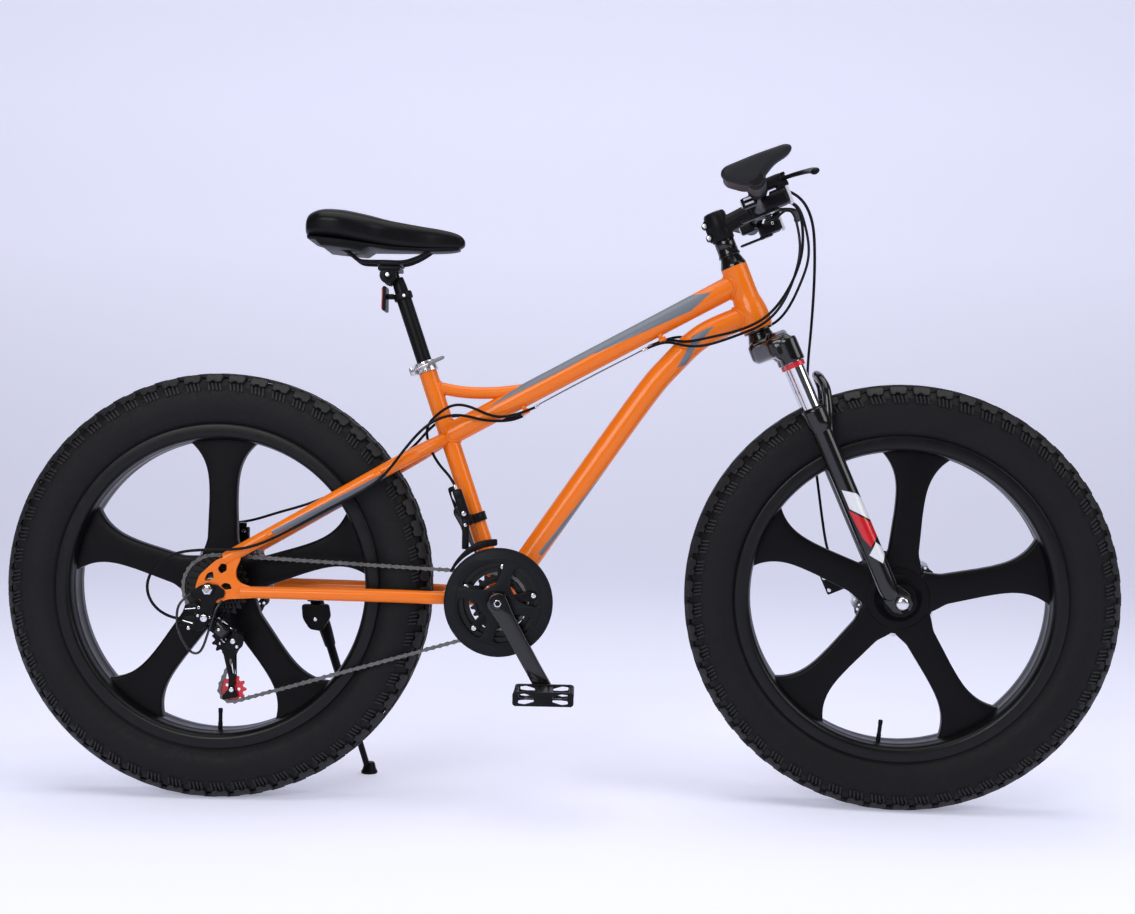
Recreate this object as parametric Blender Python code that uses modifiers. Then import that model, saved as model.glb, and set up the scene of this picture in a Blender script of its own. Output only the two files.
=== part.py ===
"""Fat tire bike: an assembly of separate pieces, in metres, with +X forward, +Y to the rider's left and +Z up.

The origin is the point where the rear tyre stands on the ground, in the middle plane. The front end is turned to
the rider's right by STEER_ANGLE, and the bike stands on its kickstand.
"""
import bpy
import bmesh
from math import acos, atan2, cos, hypot, pi, radians, sin, sqrt, tan
from mathutils import Matrix, Vector

# Driving dimensions, in metres and degrees
WHEELBASE = 1.2147
WHEEL_RADIUS = 0.380
TYRE_WIDTH = 0.098
TREAD_FLAT = 0.050          # width of the tyre's flat crown
RIM_WIDTH = 0.082
RIM_RADIUS = 0.289          # to the tips of the rim's flanges
RIM_INNER_RADIUS = 0.262
SPOKE_COUNT = 5
SPOKE_WIDTH = 0.050
SPOKE_THICKNESS = 0.024
WHEEL_STEPS = 25
ROTOR_RADIUS = 0.080
ROTOR_THICKNESS = 0.002
HUB_BOSS = 0.0150           # radius of the hub's boss that centres the rotor

BB_X = 0.5045
BB_HEIGHT = WHEEL_RADIUS - 0.014
BB_HALF_WIDTH = 0.050
BB_RADIUS = 0.0215
BB_BORE = 0.0175
SEAT_ANGLE = 70.9
SEAT_TUBE_LENGTH = 0.443
SEAT_TUBE_RADIUS = 0.0165
TOP_TUBE_RADIUS = 0.0200
SEATPOST_RADIUS = 0.0136
SEAT_HEAD_REACH = 0.612     # from the bottom bracket to the saddle clamp's axis
SADDLE_DATUM = (0.2929, 0.9404)     # the clamp's axis in the saddle's own drawing

HEAD_ANGLE = 68.0
HEAD_TUBE_LENGTH = 0.1205
HEAD_TUBE_RADIUS = 0.0240
HEAD_TUBE_SWELL = 0.0292
STEERER_RADIUS = 0.01425
STEER_ANGLE = -6.5          # turned to the rider's right
CROWN_FORWARD = 0.0345      # from the steering axis to the legs at the crown's foot
CROWN_DROP = 0.0773         # from the head tube's foot to the crown's foot
LEG_RAKE = 1.74             # the legs' lean ahead of the steering axis
LEG_SPREAD = 0.0735         # from the middle plane to each leg
LEG_RADIUS = 0.0175
STANCHION_RADIUS = 0.0150
FORK_TRAVEL = 0.075
LOWERS_TOP = 0.089          # below the crown's foot
FORK_AXLE_DROP = WHEEL_RADIUS + 0.080     # axle below the crown's foot, along the legs
FORK_AXLE_LEAD = 0.0121     # axle ahead of the legs
FRONT_OLD = 0.135           # between the front dropouts
REAR_OLD = 0.170            # between the rear dropouts
FRONT_AXLE_RADIUS = 0.0045
REAR_AXLE_RADIUS = 0.0050
AXLE_CONE = 0.0097          # radius of the cones that the hubs turn on

STEM_HEIGHT = 0.1715        # foot of the stem above the head tube's foot
STEM_CLAMP_HEIGHT = 0.050
BAR_FORWARD = 0.0795
BAR_HEIGHT = 0.2031
BAR_RADIUS = 0.0111
BAR_BULGE = 0.0159
BAR_HALF_WIDTH = 0.335
BAR_SWEEP = 0.0100          # how far back the bar's ends are
BAR_RISE = 0.0042
GRIP_RADIUS = 0.0155
GRIP_INNER_END = 0.212
HAND_UNIT_Y = 0.192

CRANK_LENGTH = 0.170
CRANK_ANGLE = -60.4
ARM_INNER_Y = 0.0925
ARM_OUTER_Y = 0.1070
SPINDLE_RADIUS = 0.0075
RING_TEETH = (42, 34, 24)
RING_PLANES = (-0.0775, -0.0705, -0.0635)
RING_THICKNESS = 0.002
GUARD_RADIUS = 0.0952
GUARD_PLANE = -0.0865
GUARD_THICKNESS = 0.003
SPROCKET_TEETH = (28, 24, 22, 20, 18, 16, 14)
SPROCKET_FIRST_Y = -0.0505
SPROCKET_STEP = 0.005
FREEWHEEL_SEAT = 0.0157     # radius of the hub's boss under the sprockets
CHAIN_PITCH = 0.0127
CHAIN_HALF_HEIGHT = 0.0036
CHAIN_PLATE = 0.0016
CHAIN_GAP = 0.0020          # from the chain's middle to its plates
PULLEY_TEETH = 11
GUIDE_PULLEY = (0.0205, WHEEL_RADIUS - 0.0935)
TENSION_PULLEY = (0.0335, WHEEL_RADIUS - 0.1805)
HANGER_BOLT = (-0.0060, WHEEL_RADIUS - 0.0500)
KNUCKLE_PIVOT = (0.0440, WHEEL_RADIUS - 0.0900)
LINK_Y = -0.0820            # the plane of the derailleur's link
LINK_INSET = 0.0185         # from each knuckle's middle to the link's pin

PEDAL_LENGTH = 0.102
PEDAL_WIDTH = 0.086
PEDAL_HEIGHT = 0.024
PEDAL_INNER_Y = 0.1120
PEDAL_AXLE_RADIUS = 0.0055

STAND_PIVOT = (0.150, 0.108, WHEEL_RADIUS - 0.038)
STAND_FOOT = (0.243, 0.185)
STAND_SLEEVE = 0.160
STAND_RADIUS = 0.0100
STAND_ROD_RADIUS = 0.0060

LIFT = WHEEL_RADIUS - 0.380  # moves the heights that are typed below, which are drawn for a wheel of 0.380
CLEARANCE = 0.0003
WELD = 0.00001

# Colours of the finishes: red, green, blue, roughness, metallic
FINISHES = {
    "orange_paint": (0.93, 0.27, 0.02, 0.30, 0.0),
    "black_paint": (0.012, 0.012, 0.014, 0.35, 0.0),
    "black_metal": (0.02, 0.02, 0.022, 0.42, 0.6),
    "wheel_black": (0.010, 0.010, 0.011, 0.55, 0.0),
    "rubber": (0.020, 0.020, 0.021, 0.80, 0.0),
    "plastic": (0.025, 0.025, 0.028, 0.50, 0.0),
    "chrome": (0.80, 0.80, 0.82, 0.12, 1.0),
    "steel": (0.45, 0.44, 0.43, 0.35, 1.0),
    "leatherette": (0.015, 0.015, 0.016, 0.45, 0.0),
    "red_plastic": (0.60, 0.02, 0.03, 0.30, 0.0),
}


# Scene helpers
def clear_scene():
    """Remove the objects that the scene starts with."""
    for thing in list(bpy.data.objects):
        bpy.data.objects.remove(thing, do_unlink=True)


def finish_material(name):
    """A Principled material of the named finish."""
    found = bpy.data.materials.get(name)
    if found:
        return found
    red, green, blue, rough, metal = FINISHES[name]
    made = bpy.data.materials.new(name)
    made.use_nodes = True
    shader = made.node_tree.nodes["Principled BSDF"]
    shader.inputs["Base Color"].default_value = (red, green, blue, 1.0)
    shader.inputs["Roughness"].default_value = rough
    shader.inputs["Metallic"].default_value = metal
    return made


def link(thing):
    bpy.data.collections["fat_tire_bike"].objects.link(thing)
    return thing


def empty(name, parent=None, location=(0, 0, 0), rotation=None):
    """A named frame on a joint's axis: rotation is a 3 x 3 matrix."""
    made = link(bpy.data.objects.new(name, None))
    made.parent = parent
    matrix = rotation.to_4x4() if rotation else Matrix.Identity(4)
    made.matrix_local = Matrix.Translation(Vector(location)) @ matrix
    return made


def mesh_object(mesh, name="shape"):
    return link(bpy.data.objects.new(name, mesh))


def baked(source, recalculate=True):
    """The object's evaluated shape as one plain welded mesh, with its place in the mesh."""
    bpy.context.view_layer.update()
    graph = bpy.context.evaluated_depsgraph_get()
    mesh = bpy.data.meshes.new_from_object(source.evaluated_get(graph), depsgraph=graph)
    mesh.transform(source.matrix_world)
    form = bmesh.new()
    form.from_mesh(mesh)
    bmesh.ops.remove_doubles(form, verts=form.verts, dist=WELD)
    if recalculate:
        bmesh.ops.recalc_face_normals(form, faces=form.faces)
    form.to_mesh(mesh)
    form.free()
    bpy.data.objects.remove(source, do_unlink=True)
    return mesh_object(mesh)


def moved(shape, matrix):
    """Move the points of a shape by a matrix."""
    shape.data.transform(matrix)
    return shape


def shifted(shape, x=0.0, y=0.0, z=0.0):
    return moved(shape, Matrix.Translation((x, y, z)))


def mirrored(shape):
    """The same shape on the other side of the middle plane."""
    shape.data.transform(Matrix.Scale(-1, 4, (0, 1, 0)))
    shape.data.flip_normals()
    return shape


def boolean(base, tool, operation):
    """Join, cut or intersect two shapes, using up the tool."""
    change = base.modifiers.new("change", "BOOLEAN")
    change.operation = operation
    change.solver = "EXACT"
    change.object = tool
    result = baked(base, recalculate=False)
    bpy.data.objects.remove(tool, do_unlink=True)
    return result


def joined(shapes):
    """Join shapes one after another into one body."""
    result = shapes[0]
    for shape in shapes[1:]:
        result = boolean(result, shape, "UNION")
    return result


def cut(base, tools):
    for tool in tools:
        base = boolean(base, tool, "DIFFERENCE")
    return base


def tidied(shape):
    """Merge flat neighbouring faces and take out points that lie on straight edges."""
    form = bmesh.new()
    form.from_mesh(shape.data)
    bmesh.ops.dissolve_limit(form, angle_limit=radians(0.2), verts=form.verts, edges=form.edges)
    bmesh.ops.triangulate(form, faces=[face for face in form.faces if len(face.verts) > 4])
    form.to_mesh(shape.data)
    form.free()


def node(shape, name, finish, parent=None):
    """Name a finished shape as one piece of the bike, carried by its parent frame."""
    tidied(shape)
    shape.name = name
    shape.data.name = name
    shape.data.materials.clear()
    shape.data.materials.append(finish_material(finish))
    shape.data.shade_smooth()
    shape.data.set_sharp_from_angle(angle=radians(35))
    shape.parent = parent
    return shape


# Shapes
def box(size, centre=(0, 0, 0), bevel=0.0):
    """A block of the given size, with its edges rounded by one cut."""
    form = bmesh.new()
    bmesh.ops.create_cube(form, size=1.0)
    bmesh.ops.scale(form, vec=size, verts=form.verts)
    bmesh.ops.translate(form, vec=centre, verts=form.verts)
    mesh = bpy.data.meshes.new("block")
    form.to_mesh(mesh)
    form.free()
    shape = mesh_object(mesh)
    if bevel:
        rounding = shape.modifiers.new("rounding", "BEVEL")
        rounding.width = bevel
        rounding.segments = 1
        shape = baked(shape)
    return shape


def rod(start, end, radius, end_radius=None, sides=12):
    """A straight round bar or cone between two points."""
    start = Vector(start)
    end = Vector(end)
    along = end - start
    form = bmesh.new()
    bmesh.ops.create_cone(form, cap_ends=True, segments=sides, radius1=radius,
                          radius2=radius if end_radius is None else end_radius, depth=along.length)
    turn = along.to_track_quat("Z", "Y").to_matrix().to_4x4()
    bmesh.ops.transform(form, matrix=Matrix.Translation((start + end) / 2) @ turn, verts=form.verts)
    mesh = bpy.data.meshes.new("rod")
    form.to_mesh(mesh)
    form.free()
    return mesh_object(mesh)


def around(radius, sides):
    """Radius of a bore with flat sides that clears a round bar of the given radius."""
    return (radius + CLEARANCE) / cos(pi / sides)


def cross_rod(x, z, y_from, y_to, radius, sides=12):
    """A round bar that lies across the bike."""
    return rod((x, y_from, z), (x, y_to, z), radius, sides=sides)


def smooth_path(points, per_span=4, closed=False):
    """Points along the smooth curve that passes through the given ones (Catmull and Rom's formula)."""
    guide = [Vector(point) for point in points]
    count = len(guide)
    spans = count if closed else count - 1
    path = []
    for span in range(spans):
        if closed:
            a, b, c, d = (guide[(span + k) % count] for k in (-1, 0, 1, 2))
        else:
            a = guide[max(span - 1, 0)]
            b = guide[span]
            c = guide[span + 1]
            d = guide[min(span + 2, count - 1)]
        for step in range(per_span):
            t = step / per_span
            path.append(0.5 * (2 * b + (c - a) * t + (2 * a - 5 * b + 4 * c - d) * t ** 2
                               + (3 * b - a - 3 * c + d) * t ** 3))
    if not closed:
        path.append(guide[-1])
    return path


def tube(points, radius, sides=8, radii=None):
    """A round bar along a line of points, with its own radius at each point where radii are given."""
    curve = bpy.data.curves.new("tube", "CURVE")
    curve.dimensions = "3D"
    curve.bevel_depth = radius
    curve.bevel_resolution = (sides - 4) // 2
    curve.use_fill_caps = True
    spline = curve.splines.new("POLY")
    spline.points.add(len(points) - 1)
    for index, point in enumerate(points):
        spline.points[index].co = (*point, 1.0)
        spline.points[index].radius = radii[index] / radius if radii else 1.0
    return baked(link(bpy.data.objects.new("tube", curve)))


def plate(outlines, thickness):
    """A flat piece in the X-Z plane: the first outline is its edge and the others are its windows."""
    curve = bpy.data.curves.new("plate", "CURVE")
    curve.dimensions = "2D"
    curve.fill_mode = "BOTH"
    curve.extrude = thickness / 2
    for outline in outlines:
        spline = curve.splines.new("POLY")
        spline.points.add(len(outline) - 1)
        for index, (x, z) in enumerate(outline):
            spline.points[index].co = (x, z, 0.0, 1.0)
        spline.use_cyclic_u = True
    shape = link(bpy.data.objects.new("plate", curve))
    shape.rotation_euler = (pi / 2, 0, 0)
    return baked(shape)


def plate_between(outlines, y_from, y_to):
    """The same flat piece, lying between two distances from the middle plane."""
    return shifted(plate(outlines, abs(y_to - y_from)), y=(y_from + y_to) / 2)


def turned(profile, steps=16, closed=False, lying=True):
    """A turned shape from (height, radius) points: its axis is Y when it lies, and Z when it stands."""
    form = bmesh.new()
    verts = [form.verts.new((radius, 0, height)) for height, radius in profile]
    last = len(verts) if closed else len(verts) - 1
    for index in range(last):
        form.edges.new((verts[index], verts[(index + 1) % len(verts)]))
    mesh = bpy.data.meshes.new("turned")
    form.to_mesh(mesh)
    form.free()
    shape = mesh_object(mesh)
    spin = shape.modifiers.new("spin", "SCREW")
    spin.steps = steps
    spin.render_steps = steps
    spin.use_merge_vertices = True
    spin.merge_threshold = WELD
    if lying:
        shape.rotation_euler = (-pi / 2, 0, 0)
    return baked(shape)


def ring(inner, outer, low, high, steps=16, lying=True):
    """A plain washer or sleeve."""
    profile = [(high, inner), (high, outer), (low, outer), (low, inner)]
    return turned(profile, steps, closed=True, lying=lying)


def circle(radius, centre=(0.0, 0.0), count=16, phase=0.0):
    """Points of a round outline."""
    return [(centre[0] + radius * cos(phase + 2 * pi * k / count),
             centre[1] + radius * sin(phase + 2 * pi * k / count)) for k in range(count)]


def pitch_radius(teeth):
    return CHAIN_PITCH / (2 * sin(pi / teeth))


def gear_outline(teeth):
    """A toothed edge: a root and a tip for each tooth, about the pitch circle."""
    pitch = pitch_radius(teeth)
    points = []
    for tooth in range(teeth):
        for part, reach in ((0.0, -0.0038), (0.5, 0.0030)):
            angle = 2 * pi * (tooth + part) / teeth
            points.append(((pitch + reach) * cos(angle), (pitch + reach) * sin(angle)))
    return points


def loft(sections):
    """A skin over closed sections that have the same number of points, with flat ends."""
    form = bmesh.new()
    rings = [[form.verts.new(point) for point in section] for section in sections]
    count = len(rings[0])
    for near, far in zip(rings, rings[1:]):
        for k in range(count):
            form.faces.new((near[k], near[(k + 1) % count], far[(k + 1) % count], far[k]))
    form.faces.new(rings[0])
    form.faces.new(rings[-1])
    bmesh.ops.recalc_face_normals(form, faces=form.faces)
    mesh = bpy.data.meshes.new("loft")
    form.to_mesh(mesh)
    form.free()
    return mesh_object(mesh)


# Places that follow from the driving dimensions
def seat_point(reach, side=0.0, ahead=0.0):
    """A point on or beside the seat tube's axis, measured from the bottom bracket."""
    angle = radians(SEAT_ANGLE)
    return Vector((BB_X - reach * cos(angle) + ahead * sin(angle), side,
                   BB_HEIGHT + reach * sin(angle) + ahead * cos(angle)))


HEAD_TILT = Matrix.Rotation(-radians(90 - HEAD_ANGLE), 3, "Y")
STEER_TURN = Matrix.Rotation(radians(STEER_ANGLE), 3, "Z")
LEG_TILT = Matrix.Rotation(-radians(LEG_RAKE), 3, "Y")
CROWN_FOOT = Vector((CROWN_FORWARD, 0, -CROWN_DROP))
FORK_AXLE = CROWN_FOOT + LEG_TILT @ Vector((FORK_AXLE_LEAD, 0, -FORK_AXLE_DROP))


def front_axle_height():
    """Height of the front axle at which the turned tyre's lower crown edge just meets the ground."""
    spin_axis = HEAD_TILT @ STEER_TURN @ Vector((0, 1, 0))
    slope = abs(spin_axis.z)
    return WHEEL_RADIUS * sqrt(1 - slope ** 2) + TREAD_FLAT / 2 * slope


def head_foot():
    """Place of the head tube's foot, which puts the front axle at the wheelbase and its height."""
    straight = HEAD_TILT @ FORK_AXLE
    steered = HEAD_TILT @ (STEER_TURN @ FORK_AXLE)
    return Vector((WHEELBASE - straight.x, 0, front_axle_height() - steered.z))


def head_point(height, ahead=0.0):
    """A point on or ahead of the steering axis, measured from the head tube's foot."""
    return head_foot() + HEAD_TILT @ Vector((ahead, 0, height))


def level_turn():
    """The turn that makes the front wheel's own down direction its lowest one."""
    down = (HEAD_TILT @ STEER_TURN @ LEG_TILT).transposed() @ Vector((0, 0, -1))
    return Matrix.Rotation(atan2(-down.x, -down.z), 3, "Y")


# Frame
def lifted(*points):
    """The same points, moved up or down with the height of the axles."""
    return [(x, y, z + LIFT) for x, y, z in points]


def stay_pair(points, radius, sides=8):
    """The right stay and its mirror image, both as smooth round tubes."""
    path = [Vector(point) for point in points]
    left = tube([(x, y, z) for x, y, z in path], radius, sides)
    right = tube([(x, -y, z) for x, y, z in path], radius, sides)
    return [left, right]


def dropout_outline():
    """Edge of the rear dropout plate, with the axle at the origin of its arc."""
    axle_z = WHEEL_RADIUS
    return [(-0.010, axle_z - 0.040), (0.016, axle_z - 0.036), (0.034, axle_z - 0.018), (0.078, axle_z - 0.0145),
            (0.078, axle_z + 0.004), (0.055, axle_z + 0.011), (0.047, axle_z + 0.020), (0.046, axle_z + 0.034),
            (0.055, axle_z + 0.055), (0.050, axle_z + 0.066), (0.036, axle_z + 0.062), (0.010, axle_z + 0.052),
            (-0.022, axle_z + 0.026), (-0.027, axle_z + 0.005), (-0.024, axle_z - 0.030)]


def dropout(side):
    """One rear dropout: a plate with lightening holes and a slot that is open at its foot."""
    y_in = side * REAR_OLD / 2
    y_out = side * (REAR_OLD / 2 + 0.007)
    holes = [circle(0.0052, (0.021, WHEEL_RADIUS + 0.036), 6), circle(0.0050, (-0.002, WHEEL_RADIUS + 0.024), 6),
             circle(0.0042, (0.030, WHEEL_RADIUS + 0.004), 6)]
    shape = plate_between([dropout_outline()] + holes, y_in, y_out)
    width = 2 * (REAR_AXLE_RADIUS + CLEARANCE)
    slot = box((width, 0.012, 0.050), (0, (y_in + y_out) / 2, WHEEL_RADIUS - 0.025))
    bore = cross_rod(0, WHEEL_RADIUS, side * 0.080, side * 0.098, around(REAR_AXLE_RADIUS, 12))
    return cut(shape, [slot, bore])


def top_tube_ends():
    """Both ends of the top tube's middle line, on the seat tube's axis and the steering axis."""
    return seat_point(0.3071), head_point(0.0916)


def under_top_tube(x, y=0.0, reach=0.0265):
    """A point below the top tube: reach is its distance from the tube's middle line, square to the tube."""
    low, high = top_tube_ends()
    along = (high - low).normalized()
    foot = low + along * (x - low.x) / along.x
    return foot + Vector((along.z, 0, -along.x)) * reach + Vector((0, y, 0))


def stop_under_top_tube(x):
    """A cable stop: a short bar across the underside of the top tube."""
    middle = under_top_tube(x, reach=TOP_TUBE_RADIUS - 0.0008)
    return cross_rod(middle.x, middle.z, -0.0135, 0.0135, 0.0042, 8)


def main_frame():
    """The welded frame: all tubes joined first, then the bores cut through."""
    foot = head_foot()
    head = turned([(HEAD_TUBE_LENGTH, 0.0), (HEAD_TUBE_LENGTH, HEAD_TUBE_RADIUS), (0.062, 0.0240),
                   (0.034, HEAD_TUBE_SWELL), (0.012, HEAD_TUBE_SWELL), (0.0, 0.0262), (0.0, 0.0)], 14, lying=False)
    moved(head, Matrix.Translation(foot) @ HEAD_TILT.to_4x4())
    head_low_joint = head_point(0.030)
    top = tube(top_tube_ends(), TOP_TUBE_RADIUS, 12)
    bend = [(BB_X, 0, BB_HEIGHT)] + lifted((0.6077, 0, 0.5188), (0.7480, 0, 0.7223), (0.7990, 0, 0.7860),
                                           (0.8600, 0, 0.8440)) + [tuple(head_low_joint)]
    down = tube([bend[0]] + smooth_path(bend[1:], 2), 0.0217, 12)
    seat = rod(seat_point(0.0), seat_point(SEAT_TUBE_LENGTH), SEAT_TUBE_RADIUS, sides=12)
    strut = tube(smooth_path([seat_point(SEAT_TUBE_LENGTH - 0.043)]
                             + lifted((0.430, 0, 0.7345), (0.490, 0, 0.7345), (0.556, 0, 0.7430)), 2), 0.0108, 8)
    shell = cross_rod(BB_X, BB_HEIGHT, -BB_HALF_WIDTH, BB_HALF_WIDTH, BB_RADIUS, 16)
    seat_stays = stay_pair(lifted((0.400, 0.010, 0.6510), (0.368, 0.045, 0.6320), (0.325, 0.0685, 0.6068),
                                  (0.200, 0.0740, 0.5338), (0.060, 0.0840, 0.4521), (0.026, 0.0880, 0.4330)), 0.0120)
    chain_stays = stay_pair(lifted((0.482, 0.034, 0.3670), (0.450, 0.0475, 0.3680), (0.420, 0.0580, 0.3690),
                                   (0.380, 0.0655, 0.3700), (0.330, 0.0685, 0.3715), (0.200, 0.0750, 0.3735),
                                   (0.055, 0.0870, 0.3755)), 0.0115)
    bridges = [cross_rod(0.350, 0.6215 + LIFT, -0.058, 0.058, 0.0070, 8),
               cross_rod(0.405, 0.3694 + LIFT, -0.058, 0.058, 0.0080, 8)]
    brake_tab = box((0.022, 0.0137, 0.044), (0.008, 0.08335, WHEEL_RADIUS + 0.0680))
    stops = [stop_under_top_tube(0.773), stop_under_top_tube(0.530)]
    body = joined([head, top, down, seat, strut, shell] + seat_stays + chain_stays + bridges
                  + [dropout(-1), dropout(1), brake_tab] + stops)
    head_bore = rod(head_point(-0.01), head_point(HEAD_TUBE_LENGTH + 0.01), 0.0185, sides=12)
    seat_bore = rod(seat_point(0.215), seat_point(SEAT_TUBE_LENGTH + 0.02), around(SEATPOST_RADIUS, 16), sides=16)
    bb_bore = cross_rod(BB_X, BB_HEIGHT, -BB_HALF_WIDTH - 0.01, BB_HALF_WIDTH + 0.01, around(BB_BORE - CLEARANCE, 16),
                        16)
    body = cut(body, [head_bore, seat_bore, bb_bore])
    return node(joined([body] + headset_cups()), "main_frame", "orange_paint")


def headset_cups():
    """The headset cups, pressed into the head tube for good: they carry the steerer."""
    turn = Matrix.Translation(head_foot()) @ HEAD_TILT.to_4x4()
    bore = around(STEERER_RADIUS, 12)
    top = HEAD_TUBE_LENGTH
    upper = turned([(top + 0.020, bore), (top + 0.020, 0.0180), (top + 0.003, 0.0235), (top - 0.002, 0.0235),
                    (top - 0.010, bore)], 12, closed=True, lying=False)
    lower = turned([(0.010, bore), (0.002, 0.0240), (-0.0040, 0.0240), (-0.0040, bore)], 12, closed=True, lying=False)
    return [moved(upper, turn), moved(lower, turn)]


def bottom_bracket():
    """The bearing cartridge inside the bottom bracket shell."""
    shape = ring(around(SPINDLE_RADIUS, 16), BB_BORE - CLEARANCE, -BB_HALF_WIDTH, BB_HALF_WIDTH)
    node(shifted(shape, BB_X, 0, BB_HEIGHT), "bottom_bracket", "steel")


def seat_collar():
    """The clamp ring around the seat tube's top, with its bolt lugs behind."""
    low = SEAT_TUBE_LENGTH - 0.016
    wide = around(SEAT_TUBE_RADIUS, 16)
    narrow = around(SEATPOST_RADIUS, 16)
    band = turned([(0.0190, narrow), (0.0190, 0.0200), (0.0, 0.0206), (0.0, wide), (0.0163, wide),
                   (0.0163, narrow)], 16, closed=True, lying=False)
    tilt = Matrix.Rotation(-radians(90 - SEAT_ANGLE), 4, "Y")
    lug = box((0.012, 0.022, 0.014), (-0.0245, 0, 0.0085), 0.0015)
    band = joined([band, lug])
    node(moved(band, Matrix.Translation(seat_point(low)) @ tilt), "seat_collar", "chrome")


def rear_axle():
    """The rear axle with its cones, lock nuts and outer nuts."""
    half = REAR_OLD / 2
    radius = REAR_AXLE_RADIUS
    plate_face = half + 0.007 + CLEARANCE
    claw_face = plate_face + 0.0045 + CLEARANCE
    profile = [(-0.108, 0.0), (-0.108, radius), (-0.1050, 0.0090), (-claw_face, 0.0095),
               (-claw_face, radius), (-half + CLEARANCE, radius), (-half + CLEARANCE, 0.0080), (-0.054, AXLE_CONE),
               (-0.048, radius), (0.048, radius), (0.054, AXLE_CONE), (half - CLEARANCE, 0.0080),
               (half - CLEARANCE, radius), (plate_face, radius), (plate_face, 0.0095), (0.1010, 0.0090),
               (0.104, radius), (0.104, 0.0)]
    node(shifted(turned(profile[::-1], 10), 0, 0, WHEEL_RADIUS), "rear_axle", "steel")


def link_slant():
    """The turn from level to the line of the derailleur's link, which slopes down and forwards."""
    return Matrix.Rotation(atan2(HANGER_BOLT[1] - KNUCKLE_PIVOT[1], KNUCKLE_PIVOT[0] - HANGER_BOLT[0]), 3, "Y")


def hanger():
    """The derailleur's claw on the axle, with the upper knuckle and the ears that hold the link."""
    y_in = -(REAR_OLD / 2 + 0.007 + CLEARANCE)
    y_out = y_in - 0.0045
    hx, hz = HANGER_BOLT
    outline = [(-0.014, WHEEL_RADIUS + 0.010), (0.014, WHEEL_RADIUS + 0.010), (0.016, WHEEL_RADIUS - 0.012),
               (hx + 0.013, hz), (hx + 0.009, hz - 0.010), (hx - 0.009, hz - 0.010), (hx - 0.012, hz + 0.004),
               (-0.016, WHEEL_RADIUS - 0.010)]
    claw = plate_between([outline], y_in, y_out)
    claw = cut(claw, [cross_rod(0, WHEEL_RADIUS, y_in + 0.01, y_out - 0.01, around(REAR_AXLE_RADIUS, 12))])
    knuckle = cross_rod(hx, hz, y_in - 0.002, LINK_Y + 0.0100, 0.0095)
    place = Matrix.Translation((hx, LINK_Y, hz)) @ link_slant().to_4x4()
    ears = [moved(box((0.018, 0.008, 0.0028), (0.0135, 0, side * 0.0112)), place) for side in (-1, 1)]
    ears.append(moved(box((0.0088, 0.008, 0.0252), (0.0064, 0, 0)), place))
    return joined([claw, knuckle] + ears)


def rear_hanger():
    """The claw with its guard: a bent wire from the claw round the outside of the derailleur."""
    y_wire = -0.1055
    route = [(0.010, -0.0950, WHEEL_RADIUS - 0.006), (0.022, -0.1030, WHEEL_RADIUS - 0.016),
             *lifted((0.026, y_wire, 0.338), (0.018, y_wire, 0.300), (0.006, y_wire, 0.273), (-0.008, y_wire, 0.262),
                     (-0.024, y_wire, 0.266), (-0.034, y_wire, 0.285), (-0.030, y_wire, 0.318),
                     (-0.018, -0.1020, 0.352)), (-0.011, -0.0950, WHEEL_RADIUS - 0.014)]
    wire = tube(route, 0.0022, 6)
    node(joined([hanger(), wire]), "derailleur_hanger", "black_metal")


def caliper(box_low, box_high, rotor_y, open_low):
    """A cable disc caliper: a block with a slot that the rotor runs through."""
    size = [high - low for low, high in zip(box_low, box_high)]
    centre = [(high + low) / 2 for low, high in zip(box_low, box_high)]
    block = box(size, centre, 0.003)
    gap = 0.0009
    slot_height = size[2] * 0.72
    slot_z = box_low[2] + slot_height / 2 - 0.001 if open_low else centre[2]
    slot_x = centre[0] if open_low else centre[0] + size[0] * 0.14
    slot_size = (size[0] + 0.01 if open_low else size[0] * 0.86, ROTOR_THICKNESS + 2 * gap,
                 slot_height if open_low else size[2] + 0.01)
    slot = box(slot_size, (slot_x, rotor_y, slot_z))
    return cut(block, [slot])


REAR_ROTOR_Y = 0.0670
FRONT_ROTOR_Y = 0.0505


def rear_caliper():
    """The rear brake: its body on the frame's tab, and the arm that the cable pulls."""
    body = caliper((-0.014, 0.0575, WHEEL_RADIUS + 0.0590), (0.030, 0.0762, WHEEL_RADIUS + 0.1000), REAR_ROTOR_Y, True)
    node(body, "rear_brake_caliper", "black_metal")
    pivot = empty("rear_brake_arm_pivot", None, (0.018, 0.0668, WHEEL_RADIUS + 0.1003))
    arm = joined([rod((0, 0, 0), (0, 0, 0.008), 0.0075, sides=12), box((0.034, 0.009, 0.0035), (-0.014, 0, 0.0058))])
    node(arm, "rear_brake_arm", "steel", pivot)


def stand_frame():
    """The kickstand's pivot frame: its own Y is the hinge and its own -Z runs down the leg."""
    pivot = Vector(STAND_PIVOT)
    down = (Vector((STAND_FOOT[0], STAND_FOOT[1], 0.0)) - pivot).normalized()
    folded = Vector((-0.9947, 0.050, 0.090)).normalized()
    axis = down.cross(folded).normalized()
    up = -down
    across = axis.cross(up).normalized()
    return pivot, Matrix((across, axis, up)).transposed()


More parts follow.
